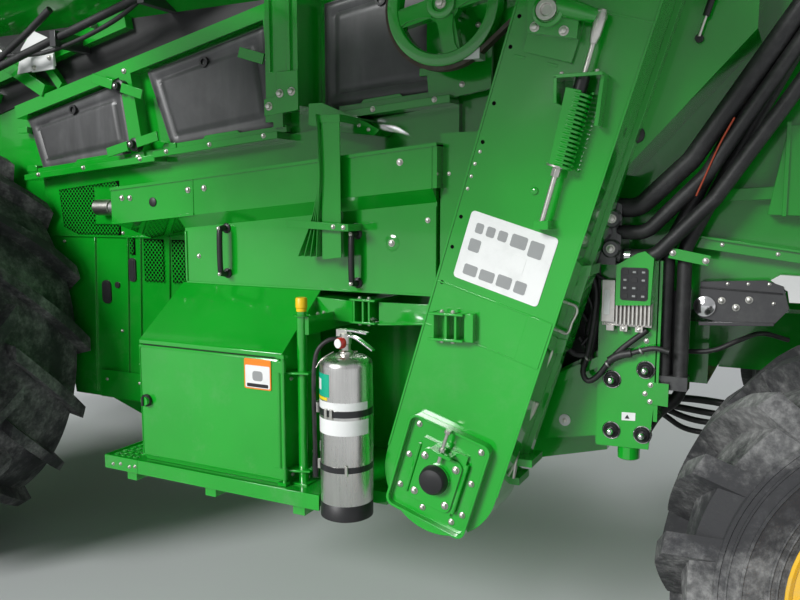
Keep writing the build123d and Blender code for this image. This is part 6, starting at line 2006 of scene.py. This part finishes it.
for hand, sign in (("left", -1), ("right", 1)):
    lid = Piece(f"tank_cover_trim_{hand}", f"cover_{hand}")
    for x in np.linspace(-0.36, 1.96, 6):
        y = sorted((sign * 0.07, sign * 1.38))
        lid.tile((x, y[0]), (x + 0.08, y[1]), 0.03, (3.485, 3.495), "greenPaint", "floor")
    lid.box((-0.46, 2.13), sorted((sign * 0.004, sign * 0.045)), (3.485, 3.493), "blackPlastic")
    grip = [
        (0.72, sign * 0.16, 3.486), (0.72, sign * 0.16, 3.53), (0.96, sign * 0.16, 3.53),
        (0.96, sign * 0.16, 3.486),
    ]
    lid.tube(grip, 0.008, "blackPaint", 10)
    lid.bolts([(x, sign * 1.42, 3.4855) for x in np.linspace(-0.4, 2.06, 9)], upward, 0.008)
    lid.done(0.0012)


# Tread plate: short raised bars, each a low ridge, in rows that turn alternately
def tread(piece, x, y, level, pitch, finish, keepOut=()):
    rows = np.arange(x[0] + pitch / 2, x[1], pitch)
    columns = np.arange(y[0] + pitch / 2, y[1], pitch)
    across, along = np.meshgrid(rows, columns, indexing="ij")
    turned = np.add.outer(np.arange(len(rows)), np.arange(len(columns))) % 2
    way = turned.ravel() * math.pi / 2 + math.pi / 4
    spots = np.stack([across.ravel(), along.ravel()], -1)
    free = np.ones(len(spots), bool)
    for (x0, x1), (y0, y1) in keepOut:
        inside = (spots[:, 0] > x0) & (spots[:, 0] < x1) & (spots[:, 1] > y0) & (spots[:, 1] < y1)
        free &= ~inside
    spots, way = spots[free], way[free]
    ahead = np.stack([np.cos(way), np.sin(way)], -1) * pitch * 0.36
    beside = np.stack([-np.sin(way), np.cos(way)], -1) * pitch * 0.075
    low, high = np.full(len(spots), level - 0.001)[:, None], np.full(len(spots), level + 0.0035)[:, None]
    points = np.stack(
        [
            np.hstack([spots + a * ahead + b * beside, z])
            for a, b, z in (
                (-1, 0, low), (0, -1, low), (1, 0, low), (0, 1, low), (-0.5, 0, high), (0.5, 0, high)
            )
        ], 1
    )
    faces = []
    for start in range(0, 6 * len(spots), 6):
        faces += [
            (start, start + 1, start + 4), (start + 1, start + 2, start + 5, start + 4),
            (start + 2, start + 3, start + 5),
        ]
        faces += [(start + 3, start, start + 4, start + 5), (start, start + 3, start + 2, start + 1)]
    return piece.put(points, faces, finish)


deck = Piece("deck_tread")
standing = [
    ((2.24, 2.98), (0.78, 1.45)), ((2.33, 3.52), (-0.47, 0.67)), ((3.6, 4.2), (0.08, 1.32)),
    ((3.57, 3.83), (-0.75, -0.49)),
]
tread(deck, (2.19, 4.21), (-1.4, 1.4), 2.76, 0.062, "greenPaint", standing)
deck.done(0, 20)
cabDeck = Piece("cab_deck_tread", slot="black_paint")
tread(cabDeck, (-2.3, -0.56), (-1.7, -0.94), 2.15, 0.055, "blackPaint", [((-2.32, -2.28), (-1.8, 0))])
cabDeck.done(0, 20)
steps = Piece("ladder_treads", "ladder", "black_paint")
for share in (np.arange(6) + 0.5) / 6:
    z = 0.45 + share * (2.085 - 0.17 - 0.45) - 0.03
    y = -1.79 - 0.15 * (1 - share)
    tread(steps, (-1.645, -1.195), (y - 0.045, y + 0.065), z, 0.03, "blackPaint")
steps.done(0, 20)

# Engine: covers, manifolds, turbo, filter and pipes
engine = {
    "header": [(2.5, -0.55, 3.26), (3.42, -0.55, 3.26)],
    "clamps": (2.66, 3.05),
    "filters": (2.74, 2.98),
    "downpipe": [(3.4, -0.575, 3.4), (3.52, -0.585, 3.4), (3.64, -0.605, 3.3), (3.7, -0.62, 3.16)],
    "intake": [
        (2.57, -0.16, 3.615), (2.46, -0.16, 3.6), (2.42, 0.05, 3.55), (2.42, 0.4, 3.5), (2.44, 0.8, 3.46)
    ],
    "coolant": [(3.2, 0.55, 3.42), (3.22, 0.62, 3.5), (3.1, 0.78, 3.46), (2.95, 0.86, 3.36)],
    "rail": [(2.5, 0.44, 3.45), (3.42, 0.44, 3.45)],
    "pulleys": ((2.98, 0.1, 0.13), (3.25, 0.34, 0.075), (3.24, -0.2, 0.085)),
}
motor = Piece("engine_details", slot="grey_metal")
for row in range(6):
    x = 2.47 + row * 0.165
    motor.tile((x, -0.06), (x + 0.135, 0.26), 0.03, (3.42, 3.475), "castMetal", "floor")
    motor.bolts([(x + 0.068, y, 3.475) for y in (-0.035, 0.235)], upward, 0.01)
    branch = [(x + 0.068, -0.44, 3.2), (x + 0.068, -0.515, 3.2), (x + 0.09, -0.545, 3.25)]
    motor.tube(curve(branch, 4), 0.03, "exhaustSteel", 12)
    motor.tube(
        [(x + 0.068, 0.26, 3.44), (x + 0.068, 0.37, 3.475), (x + 0.068, 0.5, 3.445)], 0.007, "zinc", 8
    )
motor.tube(engine["header"], 0.048, "exhaustSteel", 20)
motor.lathe(
    [(0.06, -0.09), (0.105, -0.05), (0.11, 0.0), (0.075, 0.03), (0.06, 0.1)], (3.3, -0.575, 3.4), toRear,
    "castMetal", 32,
)
motor.tube(curve(engine["downpipe"], 6), 0.052, "exhaustSteel", 18)
motor.lathe(
    [(0.06, 0), (0.14, 0.012), (0.14, 0.6), (0.128, 0.62), (0.128, 0.655), (0.05, 0.665)],
    (2.56, -0.16, 3.615), toRear, "blackPlastic", 40,
)
for x in engine["clamps"]:
    motor.hoop((0.139, 0.144), (x, x + 0.03), (0.0, -0.16, 3.615), toRear, "zinc", 40)
    motor.box((x, x + 0.03), (-0.19, -0.13), (3.42, 3.48), "blackPaint")
motor.tube(curve(engine["intake"], 7), 0.055, "hoseRubber", 18)
motor.tube(curve(engine["coolant"], 7), 0.04, "hoseRubber", 16)
motor.tube(engine["rail"], 0.036, "aluminium", 18)
for z, y, radius in engine["pulleys"]:
    motor.lathe(
        [
            (radius, 0.0), (radius, 0.05), (radius * 0.9, 0.055), (radius * 0.9, 0.02),
            (radius * 0.3, 0.02), (radius * 0.3, 0.06),
        ],
        (2.35, y, z),
        toFront,
        "castMetal",
        36,
    )
for x in engine["filters"]:
    motor.lathe(
        [(0.055, 0), (0.055, 0.19), (0.04, 0.205)], (x, -0.51, 3.1), downward,
        "labelWhite" if x > 2.8 else "blackPaint", 24,
    )
motor.box((2.7, 3.06), (-0.56, -0.44), (3.08, 3.14), "castMetal")
motor.tile((2.62, 2.86), (3.34, 3.02), 0.02, (-0.45, -0.475), "castMetal")
motor.bolts([(x, -0.475, z) for x in np.linspace(2.65, 3.31, 7) for z in (2.875, 3.005)], toLeft, 0.009)
motor.tile((2.55, 3.02), (3.02, 3.3), 0.02, (0.65, 0.69), "blackPlastic")
motor.bolts([(x, 0.69, z) for x in (2.58, 2.99) for z in (3.05, 3.27)], toRight, 0.009)
motor.done(0.002)

# Cooling housing: turning screen with its mesh, panel seams, latches and brace
coolerParts = {
    "latches": (2.9, 3.38),
    "ribs": (2.36, 2.61, 2.86),
}
cooler = Piece("cooling_details")
screen = (2.61, 1.425, 3.14)
for radius in np.linspace(0.07, 0.31, 9):
    ring = [(radius, 0.0), (radius, 0.004), (radius + 0.003, 0.004), (radius + 0.003, 0.0)]
    cooler.lathe(ring, screen, toRight, "blackPaint", 56, closed=True)
for turn in np.linspace(0, math.pi, 24, endpoint=False):
    reach = np.array((math.cos(turn), 0.0, math.sin(turn))) * 0.318
    cooler.tube(
        [np.array(screen) + (0, 0.003, 0) - reach, np.array(screen) + (0, 0.003, 0) + reach], 0.0016,
        "blackPaint", 6,
    )
cooler.lathe(
    [(0.31, -0.012), (0.336, -0.012), (0.336, 0.01), (0.318, 0.014), (0.31, 0.006)], screen, toRight,
    "greenPaint", 64, closed=True,
)
cooler.lathe([(0.052, 0), (0.052, 0.016), (0.03, 0.022)], screen, toRight, "greenPaint", 28)
frameAround(cooler, (2.275, 2.775), (2.945, 3.505), 1.38, 0.022, 0.01, "greenPaint")
for z in coolerParts["latches"]:
    cooler.tile((2.286, z), (2.316, z + 0.06), 0.01, (1.389, 1.402), "blackPlastic")
    cooler.tube([(2.936, 1.392, z - 0.01), (2.936, 1.392, z + 0.06)], 0.009, "zinc", 12)
for x in coolerParts["ribs"]:
    cooler.box((x - 0.02, x + 0.02), (0.84, 1.34), (3.519, 3.529))
cooler.box((2.959, 2.966), (0.86, 1.32), (2.86, 3.42), "blackPlastic")
for z in np.arange(2.9, 3.4, 0.04):
    cooler.box((2.959, 2.982), (0.88, 1.3), (z, z + 0.012), "blackPlastic")
cooler.done(0.0015)

# Exhaust: base flange, clamp bands and a slotted heat shield; fuel tank: straps, cap and sight tube
stackSpot = np.array((3.7, -0.62, 0.0))
exhaustParts = {
    "clamps": (2.925, 3.35),
}
chimney = Piece("exhaust_details", slot="steel")
chimney.lathe(
    [(0.075, 2.759), (0.135, 2.759), (0.135, 2.774), (0.077, 2.778)], stackSpot, upward, "exhaustSteel", 36
)
chimney.boltRing(stackSpot + (0, 0, 2.774), 0.112, 6, upward, 0.01, 20)
for z in exhaustParts["clamps"]:
    chimney.hoop((0.109, 0.115), (z, z + 0.022), stackSpot, upward, "zinc", 40)
for turn in np.radians(np.arange(0, 360, 15)):
    out = np.array((math.cos(turn), math.sin(turn), 0.0))
    chimney.tube(
        [stackSpot + out * 0.1125 + (0, 0, 2.96), stackSpot + out * 0.1125 + (0, 0, 3.335)], 0.006,
        "exhaustSteel", 6,
    )
chimney.hoop((0.076, 0.082), (3.44, 3.462), stackSpot, upward, "zinc", 36)
chimney.done(0.001)

fuelParts = {
    "straps": (0.36, 1.02),
    "sightTube": [(4.186, 0.7, 2.8), (4.196, 0.7, 2.84), (4.196, 0.7, 3.22), (4.186, 0.7, 3.26)],
}
fuel = Piece("fuel_tank_details", slot="black_plastic")
for y in fuelParts["straps"]:
    for x in ((3.612, 3.6195), (4.1805, 4.188)):
        fuel.box(x, (y, y + 0.05), (2.765, 3.306), "zinc")
    fuel.box((3.612, 4.188), (y, y + 0.05), (3.3005, 3.308), "zinc")
fuel.lathe(
    [(0.055, 0), (0.055, 0.02), (0.07, 0.022), (0.07, 0.052), (0.06, 0.06)], (3.9, 0.69, 3.3), upward,
    "blackPlastic", 30,
)
for x in np.linspace(3.7, 4.06, 4):
    fuel.tile((x, 0.16), (x + 0.05, 0.32), 0.012, (3.299, 3.307), "tankPlastic", "floor")
    fuel.tile((x, 1.1), (x + 0.05, 1.26), 0.012, (3.299, 3.307), "tankPlastic", "floor")
fuel.tube(fuelParts["sightTube"], 0.006, "labelGrey", 8)
fuel.done(0.002)
print("tank, deck and engine dressed")

# Unloading auger: bolted flanges, strap, spout boot and end cap; the turret's flange and bolts
augerY, augerZ, augerR = -1.69, 3.235, 0.18
augerAxis = (0.0, augerY, augerZ)
turret = Piece("turret_trim")
turret.hoop((0.179, 0.214), (2.952, 2.974), (-0.25, augerY, 0.0), upward, "greenPaint", 48)
turret.boltRing((-0.25, augerY, 2.974), 0.2, 14, upward, 0.008)
turret.box((-0.4, -0.36), (-1.66, -1.452), (2.76, 2.92))
turret.box((-0.14, -0.1), (-1.66, -1.452), (2.76, 2.92))
turret.done(0.0015)

augerParts = {
    "flanges": (0.95, 2.7, 4.45),
    "boot": ((0.0, 0.004), (0.12, 0.01), (0.5, 0.006), (1.0, 0.014)),
    "pipe": [(0.2, 0.186, 0.04), (0.95, 0.216, 0.04), (2.7, 0.216, 0.04), (4.8, 0.19, 0.04)],
    "straps": (0.5, 1.6, 2.2, 3.3, 3.9),
}
auger = Piece("auger_trim", "auger")
auger.hoop((0.179, 0.214), (3.006, 3.028), (-0.25, augerY, 0.0), upward, "greenPaint", 48)
auger.boltRing((-0.25, augerY, 3.028), 0.2, 14, upward, 0.008)
for x in augerParts["flanges"]:
    for shift in (-0.017, 0.002):
        auger.hoop(
            (augerR - 0.002, 0.208), (x + shift, x + shift + 0.015), augerAxis, toRear, "greenPaint", 52
        )
    auger.boltRing((x + 0.017, augerY, augerZ), 0.195, 12, toRear, 0.008, 15)
ring = [(augerR - 0.004, 5.352), (0.19, 5.352), (0.19, 5.388), (0.165, 5.398), (0.02, 5.404), (0.02, 5.38)]
auger.lathe(ring, augerAxis, toRear, "greenPaint", 48, closed=True)
auger.bolts(
    [(5.396, augerY + y, augerZ + z) for y, z in ((0.1, 0), (-0.1, 0), (0, 0.1), (0, -0.1))], toRear, 0.01
)
boot = []
for share, grow in augerParts["boot"]:
    z = 2.985 - 0.105 * share
    outline = rounded((4.96 - grow, augerY - 0.15 - grow), (5.32 + grow, augerY + 0.15 + grow), 0.03, 5)
    boot.append(np.column_stack([outline, np.full(len(outline), z)]))
auger.grid(np.stack(boot), "blackPlastic", caps=False)
auger.box((4.952, 5.328), (augerY - 0.158, augerY + 0.158), (2.978, 3.0), "zinc")
auger.tube(
    [(x, augerY + y, augerZ + z) for x, y, z in curve(augerParts["pipe"], 8)], 0.009, "hoseRubber", 8
)
for x in augerParts["straps"]:
    auger.hoop((augerR - 0.001, augerR + 0.004), (x, x + 0.02), augerAxis, toRear, "blackPaint", 40)
auger.done(0.0012)

# Rest cradle on the deck, rail end caps, deck lamps' bezels and the warning beacon
deckParts = {
    "posts": (3.017, 3.642, 4.233),
}
rest = Piece("deck_fittings")
rest.box((3.885, 3.995), (-1.79, -1.59), (3.036, 3.0475), "blackPlastic")
for sign in (-1, 1):
    for x in deckParts["posts"]:
        rest.tile(
            (x - 0.045, sign * 1.433 - 0.045), (x + 0.045, sign * 1.433 + 0.045), 0.01, (2.7595, 2.768),
            "greenPaint", "floor",
        )
        rest.bolts(
            [(x + a, sign * 1.433 + b, 2.768) for a, b in ((0.033, -0.033), (-0.033, -0.033))], upward,
            0.006,
        )
    frameAround(
        rest, (sign * 1.29 - 0.106, 2.694), (sign * 1.29 + 0.106, 2.816), 4.292, 0.016, 0.012,
        "blackPlastic", "cross", 0.015,
    )
    rest.box((4.25, 4.292), (sign * 1.29 - 0.104, sign * 1.29 + 0.104), (2.696, 2.704), "blackPlastic")
rest.lathe([(0.045, 0), (0.045, 0.018), (0.036, 0.022)], (4.233, -1.433, 3.66), upward, "blackPlastic", 24)
rest.lathe(
    [(0.036, 0.02), (0.037, 0.06), (0.032, 0.085), (0.016, 0.097)], (4.233, -1.433, 3.66), upward,
    "amberLens", 24,
)
rest.done(0.0015)

# Rear hood: side doors, louvres, handles, seams, lamp clusters, reflectors and a blank plate
hoodParts = {
    "hinges": (1.82, 2.38),
    "lamps": ((0.575, "redLens"), (0.67, "amberLens"), (0.752, "redLens")),
    "vents": (-0.6, 0.0, 0.6),
}
hood = Piece("hood_trim")
for sign in (-1, 1):
    wall = sign * 0.85
    frameAround(hood, (4.36, 1.68), (5.12, 2.52), wall, 0.02, sign * 0.008, "greenPaint")
    hood.tile((4.395, 1.715), (5.085, 2.485), 0.03, sorted((wall, wall + sign * 0.006)))
    for z in np.arange(1.78, 2.02, 0.045):
        louvre = [(4.5, z), (4.98, z), (4.98, z + 0.02), (4.5, z + 0.02)]
        hood.plate(louvre, sorted((wall + sign * 0.005, wall + sign * 0.018)), "blackPlastic")
    hood.tile((4.98, 2.2), (5.055, 2.29), 0.015, sorted((wall, wall + sign * 0.014)), "blackPlastic")
    for z in hoodParts["hinges"]:
        hood.tube(
            [(4.372, wall + sign * 0.01, z - 0.04), (4.372, wall + sign * 0.01, z + 0.04)], 0.01, "zinc", 12
        )
    hood.bolts([(x, wall + sign * 0.0005, 1.6) for x in np.arange(4.35, 5.42, 0.15)], (0, sign, 0), 0.009)
    hood.bolts([(4.29, wall + sign * 0.0005, z) for z in np.arange(1.7, 2.85, 0.19)], (0, sign, 0), 0.009)
    hood.box((5.15, 5.27), sorted((wall, wall + sign * 0.006)), (1.66, 1.7), "amberLens")
    low, high = sorted((sign * 0.5, sign * 0.8))
    hood.tile((low, 1.78), (high, 2.0), 0.02, (5.449, 5.466), "blackPaint", "cross")
    for spot, finish in hoodParts["lamps"]:
        hood.lathe(
            [(0.04, 0), (0.04, 0.014), (0.03, 0.022), (0.01, 0.025)], (5.466, sign * spot, 1.89), toRear,
            finish, 28,
        )
    hood.tile((low + 0.05, 1.66), (high - 0.05, 1.7), 0.005, (5.449, 5.455), "redLens", "cross")
frameAround(hood, (-0.42, 1.7), (0.42, 2.24), 5.45, 0.018, 0.008, "greenPaint", "cross")
hood.tile((-0.385, 1.735), (0.385, 2.205), 0.03, (5.449, 5.456), "greenPaint", "cross")
hood.tile((-0.17, 1.6), (0.17, 1.675), 0.006, (5.449, 5.454), "labelWhite", "cross")
hood.tile((-0.06, 2.0), (0.06, 2.06), 0.02, (5.455, 5.47), "blackPlastic", "cross")
for y in hoodParts["vents"]:
    hood.tile((4.36, y - 0.22), (4.66, y + 0.22), 0.05, (2.899, 2.908), "greenPaint", "floor")
hood.done(0.0015)

# Chopper: bearing housings, belt guard, knife bar bolts and the deflector vanes under its tail
chopParts = {
    "bearing": [(0.105, 0), (0.105, 0.014), (0.07, 0.018), (0.062, 0.045), (0.03, 0.048), (0.03, 0.062)],
    "guard": [(5.1, 1.2), (5.48, 1.155), (5.5, 1.3), (5.36, 1.42), (5.12, 1.47)],
    "vane": [(5.36, 1.101), (5.62, 1.101), (5.62, 1.08), (5.4, 1.074)],
}
chop = Piece("chopper_trim")
for sign in (-1, 1):
    wall = sign * 0.82
    chop.lathe(chopParts["bearing"], (5.05, wall, 1.345), (0, sign, 0), "castMetal", 32)
    chop.boltRing((5.05, wall + sign * 0.014, 1.345), 0.088, 6, (0, sign, 0), 0.01)
    chop.bolts([(x, wall + sign * 0.0005, 1.52) for x in np.arange(4.86, 5.45, 0.11)], (0, sign, 0), 0.009)
    chop.box((5.22, 5.52), sorted((wall, wall + sign * 0.007)), (1.16, 1.2))
chop.plate(chopParts["guard"], (-0.82, -0.842), "blackPaint")
for y in np.linspace(-0.7, 0.7, 9):
    skew = 0.05 * np.sign(y) * abs(y)
    chop.plate(chopParts["vane"], (y + skew, y + skew + 0.006), "blackPaint")
chop.done(0.0012)
for hand, sign in (("left", -1), ("right", 1)):
    disc = Piece(f"spreader_trim_{hand}", f"disc_{hand}", "black_paint")
    middle = (5.43, sign * 0.385, 0.99)
    disc.lathe(
        [(0.085, -0.001), (0.085, -0.012), (0.04, -0.02), (0.012, -0.022)], middle, upward, "castMetal", 28
    )
    disc.boltRing((middle[0], middle[1], 0.978), 0.062, 5, downward, 0.009)
    disc.hoop((0.324, 0.3296), (1.008, 1.016), (5.43, sign * 0.385, 0.0), upward, "blackPaint", 64)
    disc.done(0.001)

# Raised side shields: hems and ribs that follow their bow, a grip and reflectors
shield = {
    "front": 1.15, "rear": 3.6, "root": 1.76, "tip": 3.27, "level": 2.73, "bow": 0.09, "half": 0.02,
    "ribs": (1.24, 2.0, 2.75, 3.5),
    "grip": [(2.25, 3.2, 2.72), (2.25, 3.2, 2.66), (2.5, 3.2, 2.66), (2.5, 3.2, 2.72)],
    "reflectors": (1.32, 3.38),
}
for hand, sign in (("left", -1), ("right", 1)):
    wing = Piece(f"shield_trim_{hand}", f"shield_{hand}")
    share = np.linspace(0, 1, 25)
    y = sign * (shield["root"] + (shield["tip"] - shield["root"]) * share)
    z = shield["level"] + shield["bow"] * 4 * share * (1 - share)
    under = z - shield["half"]
    for x in shield["ribs"]:
        rows = [
            np.stack([np.full(23, x + side), y[1:-1], under[1:-1] + drop], -1)
            for side, drop in ((-0.03, 0.001), (-0.018, -0.022), (0.018, -0.022), (0.03, 0.001))
        ]
        wing.grid(np.stack(rows, 1), "greenPaint")
    for x in (shield["front"], shield["rear"]):
        wing.tube(np.stack([np.full(24, x), y[:-1], z[:-1]], -1), 0.022, "greenPaint", 10)
    edge = [
        (x, sign * (shield["tip"] - 0.024), shield["level"] + 0.006)
        for x in (shield["front"], 2.375, shield["rear"])
    ]
    wing.tube(edge, 0.022, "greenPaint", 10)
    wing.tube([(x, sign * gripY, gripZ) for x, gripY, gripZ in shield["grip"]], 0.009, "blackPlastic", 10)
    for x in shield["reflectors"]:
        wing.box((x - 0.05, x + 0.05), sorted((sign * 3.135, sign * 3.185)), (2.7, 2.786), "amberLens")
    seal = [(x, sign * 3.05, float(np.interp(3.05, np.abs(y), under)) - 0.004) for x in (1.3, 2.375, 3.44)]
    wing.tube(seal, 0.01, "blackPlastic", 8)
    wing.done(0.001)
print("auger, rear end and shields dressed")

# Floor
floorSize = 40.0
ground = bpy.data.meshes.new("floor")
ground.from_pydata(
    [(x * floorSize, y * floorSize, 0) for x, y in ((-1, -1), (1, -1), (1, 1), (-1, 1))], [], [(0, 1, 2, 3)]
)
floor = bpy.data.objects.new("floor", ground)
paleFloor = Finish("paleFloor").set(Base_Color=(0.6, 0.61, 0.62), Roughness=1.0, Specular_IOR_Level=0.0)
ground.materials.append(paleFloor.material)
bpy.context.scene.collection.objects.link(floor)
